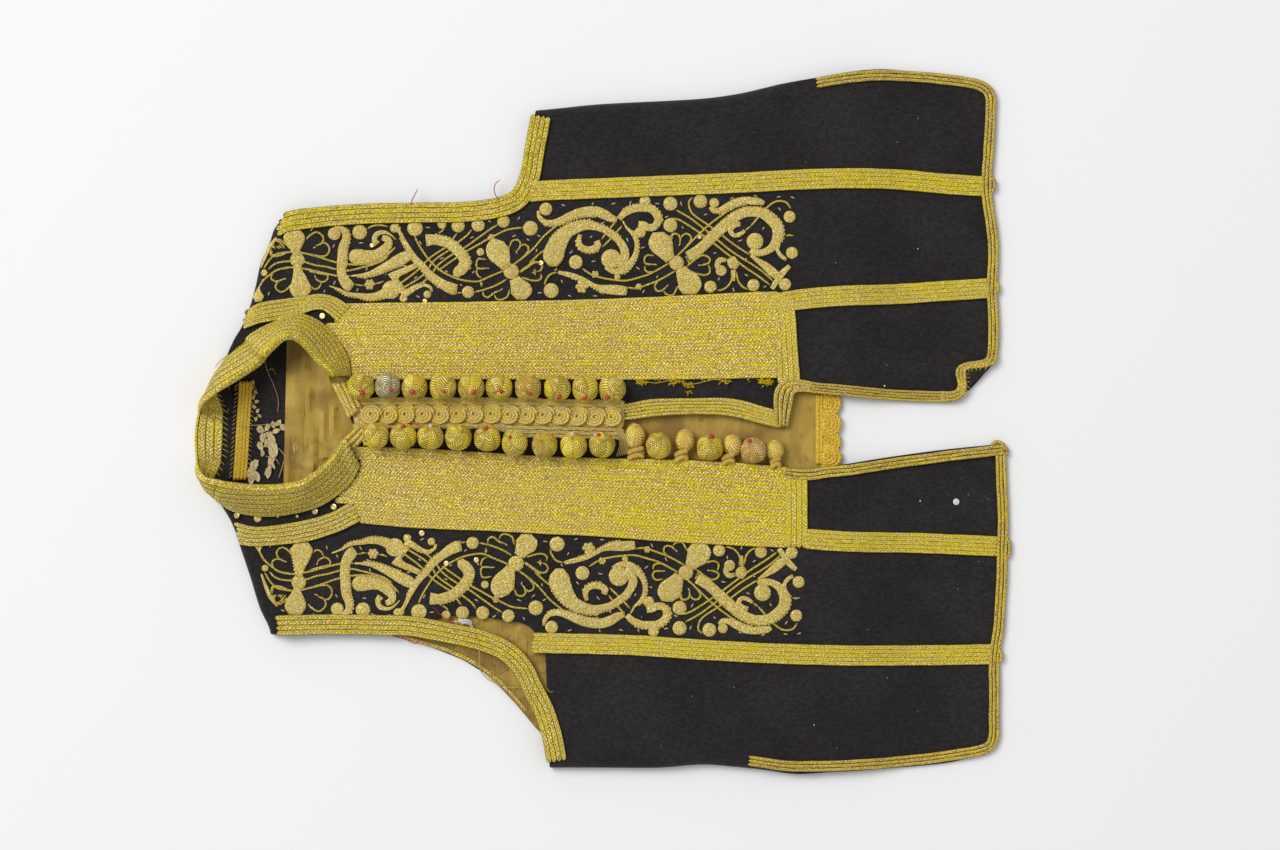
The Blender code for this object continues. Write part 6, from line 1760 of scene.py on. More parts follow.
@dataclass
class WoolPanels:
    """Fronts, sides and back of black wool, with their tan lining."""

    cloth: LaidCloth
    step: float = 2.5
    rim: float = 0.5
    front_size: tuple[float, float] = (150.0, 520.0)
    side_size: tuple[float, float] = (65.0, 310.0)
    fold_points: int = 400
    shoulder_turn: float = 9.0
    side_turn: float = 8.0
    rounded: tuple[float, float] = (0.45, 0.35)
    back_grid: tuple[int, int] = (64, 96)
    hem_tuck: float = 7.0
    lining_grid: tuple[int, int] = (110, 150)
    least_lining: float = 0.25
    torn_grid: tuple[int, int] = (16, 60)
    torn_height: float = 4.2

    def shares(self, width: float) -> np.ndarray:
        """Places across a panel, close together at its two rims."""
        count = max(6, round(width / self.step))
        close = self.rim / width
        return np.concatenate([[0.0], np.linspace(close, 1 - close, count), [1.0]])

    def turned(self, edge: np.ndarray, inward: np.ndarray, roll: float,
               share: np.ndarray) -> tuple[np.ndarray, np.ndarray]:
        """The stretch of a panel that turns down at a fold.

        Args:
            edge: Outermost points of the fold.
            inward: Unit directions into the panel.
            roll: Height of the roll beside the fold.
            share: 1 for a full fold and 0 for a flat open edge, for each point.

        Returns:
            Outer and inner points, one row for each turn.
        """
        outer, inner = [], []
        radius, inside = FOLD_RADIUS, FOLD_RADIUS - CLOTH
        for turn in (None, *TURNS):
            angle = math.radians(turn or 0)
            out_step = radius - radius * math.cos(angle)
            in_step = radius - inside * math.cos(angle)
            level = self.cloth.plain(*(edge + inward * out_step).T)
            low = level + roll - radius
            if turn is None:
                folded = (0.0, 0.2, CLOTH, 0.2)
                flat = (0.0, level - 1.4, 0.0, level - CLOTH + 0.3)
            elif turn == 0:
                folded = (0.0, low, CLOTH, low)
                flat = (0.1, level - 0.4, 0.5, level - CLOTH)
            else:
                rise = math.sin(angle)
                folded = (out_step, low + radius * rise, in_step, low + inside * rise)
                flat = (out_step, level, out_step + 0.1, level - CLOTH)
            step, height, in_at, in_height = (a + (b - a) * share for a, b in zip(flat, folded))
            outer.append(np.column_stack([edge + inward * step[:, None], height]))
            inner.append(np.column_stack([edge + inward * in_at[:, None], in_height]))
        return np.array(outer), np.array(inner)

    def laid(self, spots: np.ndarray) -> tuple[np.ndarray, np.ndarray]:
        """Outer and inner points of wool at places in the plane."""
        top = self.cloth.top(spots[..., 0], spots[..., 1])
        return raised(spots, top), raised(spots, top - CLOTH)

    def soften(self, outer: np.ndarray, inner: np.ndarray, rows: Sequence[int],
               columns: Sequence[int]) -> None:
        """Rounds the rims of a panel by bringing its two faces closer there.

        Args:
            outer: Outer points.
            inner: Inner points.
            rows: Rows that are rims.
            columns: Columns that are rims.
        """
        above, below = self.rounded
        for row in rows:
            outer[row, :, 2] -= above
            inner[row, :, 2] += below
        for column in columns:
            outer[:, column, 2] -= above
            inner[:, column, 2] += below

    def front(self, side: Side, table: Table, shoulder: Table) -> None:
        """A front, with its shoulder turned down to the back.

        Args:
            side: Which front.
            table: Its edges.
            shoulder: Its shoulder fold.
        """
        width, length = self.front_size
        shares = self.shares(width)
        rows = smooth_rows(table, round(length / self.step))
        fold = smooth_rows(shoulder, self.fold_points)
        even_shares = np.linspace(0, 1, self.fold_points)
        edge = np.column_stack([np.interp(shares, even_shares, fold[:, k]) for k in (0, 1)])
        spots = places_between(rows[:, :2], rows[:, 2:4], shares)
        start = math.ceil(self.shoulder_turn / self.step)
        inward = unit(spots[start] - edge)
        outer, inner = self.turned(edge, inward, self.cloth.shoulder_roll, np.ones(len(edge)))
        last = spots[-1] - (spots[-1] - spots[-2]) * 0.25
        spots = np.concatenate([spots[start:-1], last[None], spots[-1:]])
        flat_outer, flat_inner = self.laid(spots)
        self.soften(flat_outer, flat_inner, (-1,), (0, -1))
        weaver = Weaver()
        weaver.wall(np.concatenate([outer, flat_outer]), np.concatenate([inner, flat_inner]))
        name = f"{side.value}_front_wool"
        made = weaver.piece(name, WOOL, Slot.WOOL, [f"front_{side.value}"])

    def side_panel(self, side: Side, table: Table) -> None:
        """A side, turned down along its fold and flat along its vent.

        Args:
            side: Which side.
            table: Its edges.
        """
        width, span = self.side_size
        rows = smooth_rows(table, round(span / self.step))
        edge, seam = rows[:, :2], rows[:, 2:4]
        length = np.linalg.norm(seam - edge, axis=1)
        inward = (seam - edge) / length[:, None]
        outer, inner = self.turned(edge, inward, self.cloth.side_roll, self.cloth.fold_share(edge[:, 0]))
        reach = self.shares(width)[1:]
        steps = self.side_turn + (length[:, None] - self.side_turn) * reach[None, :]
        spots = edge[:, None, :] + inward[:, None, :] * steps[..., None]
        flat_outer, flat_inner = self.laid(spots)
        self.soften(flat_outer, flat_inner, (0, -1), (-1,))
        outer = np.concatenate([outer.transpose(1, 0, 2), flat_outer], axis=1)
        inner = np.concatenate([inner.transpose(1, 0, 2), flat_inner], axis=1)
        weaver = Weaver()
        weaver.wall(outer, inner)
        name = f"{side.value}_side_wool"
        made = weaver.piece(name, WOOL, Slot.WOOL, [f"side_{side.value}"])

    def spread(self, table: Table, columns: int, rows: int, edge: Table | None = None,
               reach: float = 3.0) -> np.ndarray:
        """Places all over a flat piece between two edges, its first end shaped by an edge table.

        Args:
            table: Its two edges.
            columns: Points across.
            rows: Points along.
            edge: Shape of its first end.
            reach: How many of the table's rows the shape fades over.

        Returns:
            The places, in rows.
        """
        given = np.array(table, float)
        at = np.linspace(0, len(given) - 1, rows)
        between = np.column_stack([np.interp(at, np.arange(len(given)), given[:, k]) for k in range(4)])
        spots = places_between(between[:, :2], between[:, 2:], np.linspace(0, 1, columns))
        if edge is not None:
            shaped = smooth_rows(edge, columns) - spots[0]
            spots = spots + np.maximum(0.0, 1 - at / reach)[:, None, None] * shaped[None]
        return spots

    def back(self) -> None:
        """The back, of which the neck facing and a little beside the torn armhole show."""
        spots = self.spread(BACK, *self.back_grid, BACK_NECK_EDGE)
        x, y = spots[..., 0].copy(), spots[..., 1]
        spots[..., 0] = x - self.hem_tuck * ease((x - 132) / 25) * ease((y + 40) / 9) * ease((26 - y) / 9)
        uneven = 0.18 * (1 + np.sin(spots[..., 0] / 9) * np.cos(spots[..., 1] / 7 + 1))
        outer = raised(spots, BACK_CLOTH - 0.2 + uneven)
        inner = raised(spots, 0.0)
        self.soften(outer, inner, (0, -1), (0, -1))
        inner[..., 2] = 0.0
        weaver = Weaver()
        weaver.wall(outer, inner)
        made = weaver.piece("back_wool", WOOL, Slot.WOOL, ["back"])

    def lining_height(self, x: np.ndarray, y: np.ndarray) -> np.ndarray:
        """Top of the tan lining, with the wrinkles of the open neck and of the hem."""
        neck = ease((-160 - x) / 18) * ease((66 - np.abs(y)) / 14)
        folds = 0.0
        for at, slant, width, tall in NECK_FOLDS:
            wave = at + slant * y - 0.9 * np.sin(y / 11 + at)
            folds = folds + tall * np.exp(-(((x - wave) / width) ** 2))
        for px, py, turn, width, tall in NECK_CRINKLES:
            across = (x - px) * math.cos(turn) + (y - py) * math.sin(turn)
            along = (y - py) * math.cos(turn) - (x - px) * math.sin(turn)
            folds = folds + tall * np.exp(-((across / width) ** 2) - ((along / (4.5 * width)) ** 2))
        hem = ease((x - 20) / 12) * ease((10 - np.abs(y + 10)) / 8)
        ripple = 0.35 * (1 + np.sin(x / 4.5 + 0.5 * np.sin(y / 5))) * hem
        return BACK_CLOTH + GAP + LINING + neck * folds + ripple

    def lining(self) -> None:
        """The back's lining of tan cotton."""
        spots = self.spread(BACK_LINING, *self.lining_grid)
        top = self.lining_height(spots[..., 0], spots[..., 1])
        low = np.maximum(top - LINING, BACK_CLOTH + self.least_lining)
        weaver = Weaver()
        weaver.wall(raised(spots, top), raised(spots, low))
        made = weaver.piece("back_lining_cotton", COTTON, Slot.LINING, ["back_lining"])

    def torn_lining(self) -> None:
        """The strip of lining that shows where the right armhole is torn."""
        spots = self.spread(TORN_LINING, *self.torn_grid)
        x, y = spots[..., 0], spots[..., 1]
        top = self.torn_height + 0.5 * np.sin(x / 4.2 + y / 9) * np.sin(y / 6)
        weaver = Weaver()
        weaver.wall(raised(spots, top), raised(spots, top - LINING))
        made = weaver.piece("torn_lining_cotton", COTTON, Slot.LINING, ["torn_lining_right"])

    def build(self) -> None:
        """All the cloths."""
        self.front(Side.LEFT, FRONT_LEFT, SHOULDER_LEFT)
        self.front(Side.RIGHT, FRONT_RIGHT, SHOULDER_RIGHT)
        self.side_panel(Side.LEFT, SIDE_LEFT)
        self.side_panel(Side.RIGHT, SIDE_RIGHT)
        self.back()
        self.lining()
        self.torn_lining()


@dataclass
class BraidWork:
    """Flat braids couched row beside row."""

    cloth: LaidCloth
    step: float = 1.0
    height: float = 1.95
    relief: float = 0.07
    wander: float = 0.10
    closer: float = 1.05
    bedding: float = 0.08
    crossing: float = 0.55
    neck_half: float = 1.5
    neck_tall: float = 3.15

    def cords(self, weaver: Weaver, edges: np.ndarray, count: int, level: Height, height: float,
              starts: Sequence[float] = (), section: Table = BRAID_ROW) -> None:
        """Rows of cord between two edges.

        Args:
            weaver: The piece they are part of.
            edges: x, y of one edge and x, y of the other, for each step along.
            count: How many rows.
            level: Height of the cloth under them.
            height: Height of a cord.
            starts: X at which each row starts, where they differ.
            section: Cross-section of a cord.
        """
        width = np.linalg.norm(edges[:, 2:4] - edges[:, :2], axis=1)
        along = np.arange(len(edges)) * self.step
        for k in range(count):
            line = line_at(edges, (k + 0.5) / count)
            line = line + sideways(line) * drift(weaver.rng, along, self.wander, 31.0)[:, None]
            tall = height + drift(weaver.rng, along, 0.07, 17.0) + weaver.rng.uniform(-0.08, 0.08)
            half = width / count * 0.5 * self.closer
            keep = weaver.rng.integers(0, 2)
            if len(starts) > k:
                keep = int(np.argmax(line[:, 0] >= starts[k]))
            weaver.laid(line[keep:], half[keep:], tall[keep:], level, section=section, relief=self.relief)

    def base(self, x: np.ndarray, y: np.ndarray) -> np.ndarray:
        """Where a braid's underside lies on the wool."""
        return self.cloth.top(x, y) + self.bedding

    def over(self, x: np.ndarray, y: np.ndarray) -> np.ndarray:
        """Where a braid's underside lies where it crosses another one."""
        return self.cloth.top(x, y) + self.crossing

    def strip(self, node: str, width: float, count: int, line: Table, seed: int) -> None:
        """A braid of one width along a line.

        Args:
            node: The solid it stands for.
            width: Its width.
            count: Its rows.
            line: Its middle.
            seed: For its small unevenness.
        """
        path = smooth_rows(line, round(length_of(line) / self.step))
        off = sideways(path) * width / 2
        weaver = Weaver(seed)
        hem = node.startswith("hem")
        edges = np.concatenate([path + off, path - off], axis=1)
        starts = ARMHOLE_LEFT_STARTS if node == "armhole_braid_left" else ()
        self.cords(weaver, edges, count, self.base, self.height, starts, ROUND_ROW if hem else BRAID_ROW)
        finish = {"hem": TARNISHED, "armhole": WORN}.get(node.split("_", maxsplit=1)[0], SEAM)
        weaver.piece(f"{node}_cords", finish, Slot.BRAID, [node], sharp=CORD_EDGE)

    def shaped(self, node: str, table: Table, count: int, seed: int, level: Height,
               starts: Sequence[float] = ()) -> None:
        """A braid whose two edges are both given.

        Args:
            node: The solid it stands for.
            table: Its two edges.
            count: Its rows.
            seed: For its small unevenness.
            level: Height of what is under it.
            starts: X at which each row starts, where they differ.
        """
        rows = np.array(table, float)
        middle = (rows[:, :2] + rows[:, 2:4]) / 2
        edges = smooth_rows(table, round(length_of(middle) / self.step))
        weaver = Weaver(seed)
        edging = node.startswith(("front_edge", "wavy"))
        self.cords(weaver, edges, count, level, self.height, starts, ROUND_ROW if edging else BRAID_ROW)
        kinds = {"breast": PANEL, "neck": OLIVE, "end": SEAM, "wavy": SEAM}
        finish = kinds.get(node.split("_", maxsplit=1)[0], TARNISHED)
        weaver.piece(f"{node}_cords", finish, Slot.BRAID, [node], sharp=CORD_EDGE)

    def back_edge(self) -> None:
        """The narrow edging of the back's right armhole."""
        path = smooth_rows(BACK_ARMHOLE_BRAID, round(length_of(BACK_ARMHOLE_BRAID) / self.step))
        off = sideways(path)
        weaver = Weaver(90)
        edges = np.concatenate([path + 0.4 * off, path - 2.6 * off], axis=1)
        self.cords(weaver, edges, 1, even(BACK_CLOTH + 0.3), 1.7, (), ROUND_ROW)
        nodes = ["back_armhole_braid_right"]
        weaver.piece("back_armhole_cords", TARNISHED, Slot.BRAID, nodes, sharp=CORD_EDGE)

    def neck_cords(self) -> None:
        """The twisted cords that run from both ends of the collar to the placket."""
        weaver = Weaver(91)
        for lines, rise in ((NECK_CORDS_LEFT, 1.6), (NECK_CORDS_RIGHT, 0.3)):
            for line in lines:
                path = smooth_rows(line, round(length_of(line) / 0.8))
                weaver.laid(path, self.neck_half, self.neck_tall, lambda x, y, up=rise: self.base(x, y) + up,
                            section=ROUND_CORD, relief=0.18, period=2.1)
        weaver.piece("neck_cords_twisted", COILED, Slot.BRAID, ["neck_cords"], sharp=CORD_EDGE)

    def build(self) -> None:
        """All the braids that lie on the wool."""
        for seed, (node, (width, count, line)) in enumerate(STRIPS.items(), 10):
            self.strip(node, width, count, line, seed)
        self.shaped("breast_braid_left", BREAST_LEFT, 12, 50, self.base, BREAST_LEFT_STARTS)
        self.shaped("breast_braid_right", BREAST_RIGHT, 12, 51, self.base, BREAST_RIGHT_STARTS)
        self.shaped("neck_braid_left", NECK_LEFT, 5, 52, self.over)
        self.shaped("neck_braid_right", NECK_RIGHT, 5, 53, self.over)
        self.shaped("end_braid_left", END_LEFT, 4, 54, self.base)
        self.shaped("end_braid_right", END_RIGHT, 4, 55, self.base)
        self.shaped("front_edge_braid_left", EDGE_LEFT, 4, 56, self.over)
        self.shaped("front_edge_braid_right", EDGE_RIGHT, 3, 57, self.over)
        self.shaped("wavy_braid_left", WAVY_LEFT, 5, 58, self.base, WAVY_LEFT_STARTS)
        self.back_edge()
        self.neck_cords()


@dataclass
class StandCollar:
    """The stand-up collar: a wool band, braid over its outer face and its upper edge."""

    cloth: LaidCloth
    wall: float = 2.2
    height: float = 25.0
    rows: int = 6
    inner_rows: int = 3
    count: int = 400
    face: float = 0.9
    cord_height: float = 1.65
    inner_cord: float = 1.2
    stitch: float = 0.36
    frame: tuple[np.ndarray, ...] = field(init=False)

    def edges(self) -> tuple[np.ndarray, np.ndarray, np.ndarray, np.ndarray, np.ndarray]:
        """Seam, upper edge, and the directions up and out at each place along the band.

        Returns:
            Points of the seam, points of the upper edge, unit directions up and out, and the bulge.
        """
        table = smooth_rows(COLLAR, self.count)
        seam, rim = table[:, :2], table[:, 2:4]
        reach = np.linalg.norm(rim - seam, axis=1)
        rise = np.sqrt(np.maximum(0.0, self.height**2 - reach**2)) * table[:, 4]
        near_back = np.where(np.abs(seam[:, 1]) < 52, ease((-226 - seam[:, 0]) / 9), 0.0)
        seam_z = self.cloth.top(seam[:, 0], seam[:, 1]) + 1.9
        seam_z = seam_z + (3.1 - seam_z) * near_back
        low = np.column_stack([seam, seam_z])
        high = np.column_stack([rim, np.maximum(seam_z + rise, 4.2)])
        up = unit(high - low)
        out = unit(np.cross(np.gradient(low + high, axis=0), up))
        for _ in range(6):
            out[1:-1] = (out[:-2] + out[1:-1] * 2 + out[2:]) / 4
        return low, high, up, unit(out), table[:, 5]

    def at(self, share: float, away: float) -> np.ndarray:
        """Points along the band at one height.

        Args:
            share: 0 at the seam and 1 at the upper edge.
            away: Distance outwards from the middle of the wool.

        Returns:
            One point for each place along the band.
        """
        low, high, _, out, bulge = self.frame
        middle = low + (high - low) * share
        swell = bulge * math.sin(math.pi * min(1.0, share * 0.9 + 0.06))
        return middle + out * (away + swell)[:, None]

    def facing(self, share: float) -> tuple[np.ndarray, np.ndarray]:
        """Unit directions up along the band's face and out from it, at one height."""
        out = self.frame[3]
        rise = unit(self.at(min(1.0, share + 0.04), 0.0) - self.at(max(0.0, share - 0.04), 0.0))
        return rise, unit(out - rise * np.sum(out * rise, axis=1)[:, None])

    def band(self) -> None:
        """The wool band inside the braid."""
        shares = np.linspace(0, 1, 15)
        outer = np.stack([self.at(float(share), self.face) for share in shares], axis=1)
        inner = np.stack([self.at(float(share), -self.wall / 2) for share in shares], axis=1)
        weaver = Weaver(60)
        weaver.wall(outer, inner)
        made = weaver.piece("collar_wool", WOOL, Slot.WOOL)

    def cords(self) -> None:
        """Rows over the outer face, one on the upper edge and three inside it."""
        weaver = Weaver(61)
        low, high, up, out, _ = self.frame
        tall = np.linalg.norm(high - low, axis=1)
        for k in range(self.rows):
            share = (k + 0.5) / self.rows
            rise, away = self.facing(share)
            path = self.at(share, self.face)
            half_row = 0.5 / self.rows
            across = self.at(share + half_row, self.face) - self.at(share - half_row, self.face)
            wide = np.linalg.norm(across, axis=1)
            path[:, 2] += np.maximum(0.0, wide * 0.53 * np.abs(rise[:, 2]) + 0.2 - path[:, 2])
            weaver.cord(path, rise, away, wide / 2 * 1.06, self.cord_height, section=BRAID_ROW, relief=0.07)
        rim = Weaver(63)
        rim.cord(high + up * 0.1, out, up, self.wall / 2 + 1.5, 1.6, section=ROUND_ROW, relief=0.07)
        rim.piece("collar_rim_cord", RIM, Slot.BRAID, sharp=CORD_EDGE)
        half = float(tall.mean()) / 5 / 2
        for k in range(self.inner_rows):
            share = 1 - half * (2 * k + 1) * 0.92 / float(tall.mean())
            rise, away = self.facing(share)
            path = self.at(share, -self.wall / 2)
            weaver.cord(path, -rise, -away, half * 1.12, self.inner_cord, section=BRAID_ROW, relief=0.07)
        weaver.piece("collar_cords", OLIVE, Slot.BRAID, ["collar"], sharp=CORD_EDGE)

    def stitches(self) -> None:
        """Slanting whip stitches that hold the braid's lower edge inside the collar."""
        weaver = Weaver(62)
        for k in range(6, self.count - 6, 5):
            lean = weaver.rng.uniform(-0.03, 0.03)
            start = self.at(0.47 + lean, -self.wall / 2 - 0.6)[k]
            end = self.at(0.30 + lean, -self.wall / 2 - 0.2)[k + 4]
            middle = (start + end) / 2 - self.frame[3][k] * 0.3
            weaver.thread((start, middle, end), self.stitch, 6)
        weaver.piece("collar_whip_stitches", GOLD_THREAD, Slot.BRAID)

    def build(self) -> None:
        """The whole collar."""
        self.frame = self.edges()
        self.band()
        self.cords()
        self.stitches()


@dataclass
class NeckTrims:
    """What lies inside the back neck: the amber strip over the seam, frayed silk and loose threads."""

    line: Table = ((-233.4, 25), (-234, 12), (-235.2, -7), (-236.2, -24), (-237.4, -40))
    rows: Table = ((3.1, 3.6, 1.08), (1.05, 4.6, 1.08), (-1.05, 5.4, 1.08), (-3.1, 5.9, 1.08))
    level: float = BACK_CLOTH + 0.2
    points: int = 70
    tilt: tuple[float, float] = (0.92, 0.38)
    stitch: float = 0.3
    silk_thread: float = 0.32
    gold_thread: float = 0.27

    def strip(self) -> None:
        """Four rows of amber cord, rising to the collar, with their whip stitches."""
        weaver = Weaver(70)
        path = smooth_rows(self.line, self.points)
        middle = raised(path, 0.0)
        level, slope = self.tilt
        side = np.tile((level, 0.0, -slope), (self.points, 1))
        up = np.tile((slope, 0.0, level), (self.points, 1))
        for step, height, half in self.rows:
            path_up = middle + np.array((step, 0, height - 1.2))
            weaver.cord(path_up, side, up, half, 1.6, section=BRAID_ROW, relief=0.1)
        weaver.piece("back_neck_tape_cords", AMBER, Slot.BRAID, ["back_neck_tape"], sharp=CORD_EDGE)
        weaver = Weaver(72)
        for k in range(2, self.points - 2, 3):
            x, y = path[k]
            for reach, height, run in ((4.2, 4.3, 2.4), (-4.2, 7.0, -2.6)):
                lean = weaver.rng.uniform(-0.5, 0.5)
                start = (x + reach, y, height)
                bend = (x + reach + run * 0.5, y - 1.2 + lean, height + 0.1)
                end = (x + reach + run, y - 2.4 + lean, height - 0.9)
                weaver.thread((start, bend, end), self.stitch, 5)
        weaver.piece("back_neck_tape_stitches", GOLD_THREAD, Slot.BRAID)

    def petal(self, weaver: Weaver, x: float, y: float, degrees: float, reach: float, wide: float,
              rise: float) -> None:
        """A flat curled flake of silk.

        Args:
            weaver: The piece it is part of.
            x: Place of its middle along X.
            y: Place of its middle along Y.
            degrees: Which way it points.
            reach: Its length.
            wide: Half its width.
            rise: How high its far end stands.
        """
        turn = math.radians(degrees)
        share = np.linspace(-0.5, 0.5, 9)
        bend = weaver.rng.uniform(-0.25, 0.25) * reach
        along = np.array((math.cos(turn), math.sin(turn)))
        across = np.array((-along[1], along[0]))
        curve = (bend * (0.25 - share**2))[:, None] * across
        line = np.array((x, y)) + share[:, None] * reach * along + curve
        half = wide * np.sqrt(np.maximum(0.06, 1 - (2 * share) ** 2))

        def base(px: np.ndarray, py: np.ndarray) -> np.ndarray:
            """A slope that rises along the flake."""
            return self.level + 0.5 + rise * ((px - x) * along[0] + (py - y) * along[1] + reach / 2) / reach

        weaver.laid(line, half, 0.55, base, section=FLAKE)

    def threads(self, weaver: Weaver, lines: Sequence[Table], radius: float) -> None:
        """Loose threads over the neck facing.

        Args:
            weaver: The piece they are part of.
            lines: x, y and height over the facing along each thread.
            radius: Half their thickness.
        """
        for points in lines:
            weaver.thread([(x, y, self.level + z) for x, y, z in points], radius)

    def silk(self) -> None:
        """Frayed cream silk on the black neck facing."""
        weaver = Weaver(71)
        for x, y, degrees, reach, wide, rise in SILK_FLAKES:
            self.petal(weaver, x, y, degrees, reach, wide, rise)
            for _ in range(3):
                off = weaver.rng.uniform(-0.45, 0.45, 2) * (reach * 0.5, reach * 0.6)
                turned = degrees + weaver.rng.uniform(-38, 38)
                shorter = reach * weaver.rng.uniform(0.5, 0.8)
                narrower = wide * weaver.rng.uniform(0.3, 0.6)
                self.petal(weaver, x + off[0], y + off[1], turned, shorter, narrower, rise + 0.7)
        self.threads(weaver, SILK_THREADS, self.silk_thread)
        weaver.piece("neck_silk_fray", SILK, Slot.LINING)
        weaver = Weaver(73)
        self.threads(weaver, NECK_THREADS, self.gold_thread)
        weaver.piece("neck_loose_threads", GOLD_THREAD, Slot.BRAID)

    def build(self) -> None:
        """All the neck's trims."""
        self.strip()
        self.silk()


@dataclass
class Strays:
    """Sequins, tufts and loose threads that wear has left on the cloth."""

    cloth: LaidCloth
    tuft: float = 0.36
    thread: float = 0.34
    fray: float = 0.75
    least_level: float = 3.2

    def height(self, x: float, y: float) -> float:
        """Height of the wool at one place."""
        return float(self.cloth.top(np.array(x), np.array(y)))

    def tipped(self, start: float, lean: float) -> Height:
        """A surface over the wool that rises from one X on, by the lean for each mm."""
        return lambda x, y: self.cloth.top(x, y) + 0.35 + lean * (x - start)

    def sequins(self) -> None:
        """Gilt sequins beside the collar and on the scroll work."""
        weaver = Weaver(300)
        for x, y, radius, lean in SEQUINS:
            level = self.tipped(x - radius, lean)
            weaver.dome(x, y, radius, 0.55, level, 18, 3, dent=0.5)
        weaver.piece("sequins", SEQUIN, Slot.BRAID, sharp=BEAD_EDGE)

    def tufts(self) -> None:
        """Yellow thread tufts under the left breast panel's lower edge."""
        weaver = Weaver(301)
        for x, y, reach, count in TUFTS:
            for _ in range(count):
                turn = weaver.rng.uniform(0, math.tau)
                spot = np.array((x, y)) + weaver.rng.uniform(-1, 1, 2) * reach * (0.45, 0.22)
                ahead = np.array((math.cos(turn), 0.8 * math.sin(turn)))
                end = spot + ahead * reach * weaver.rng.uniform(0.25, 0.5)
                level = self.height(x, y) + 0.5
                middle = (spot + end) / 2 + weaver.rng.uniform(-0.6, 0.6, 2)
                rise = weaver.rng.uniform(0.8, 2.0)
                weaver.thread(((*spot, level), (*middle, level + rise), (*end, level + 0.3)), self.tuft, 6)
        weaver.piece("thread_tufts", TUFT, Slot.BRAID)

    def threads(self) -> None:
        """Loose red and golden threads that lie over the cloth."""
        red, gold = Weaver(302), Weaver(303)
        for colour, points in STRAY_THREADS:
            weaver = red if colour else gold
            spots = [(x, y, max(self.least_level, self.height(x, y) + rise)) for x, y, rise in points]
            weaver.thread(spots, self.thread)
        red.piece("loose_red_threads", RED_THREAD, Slot.BRAID)
        gold.piece("loose_gold_threads", GOLD_THREAD, Slot.BRAID)

    def spots(self) -> None:
        """Pale spots of the right skirt and the white fray of the torn armhole."""
        weaver = Weaver(304)
        for x, y, radius in PALE_SPOTS:
            weaver.dome(x, y, radius, 0.35, lambda px, py: self.cloth.top(px, py) + 0.05, 16, 3, grain=0.05)
        for points in PALE_FRAY:
            weaver.thread([(x, y, self.height(x, y) + rise) for x, y, rise in points], self.fray)
        weaver.piece("pale_spots_and_fray", LINT, Slot.LINING, sharp=BEAD_EDGE)

    def build(self) -> None:
        """All the strays."""
        self.spots()
        self.sequins()
        self.tufts()
        self.threads()


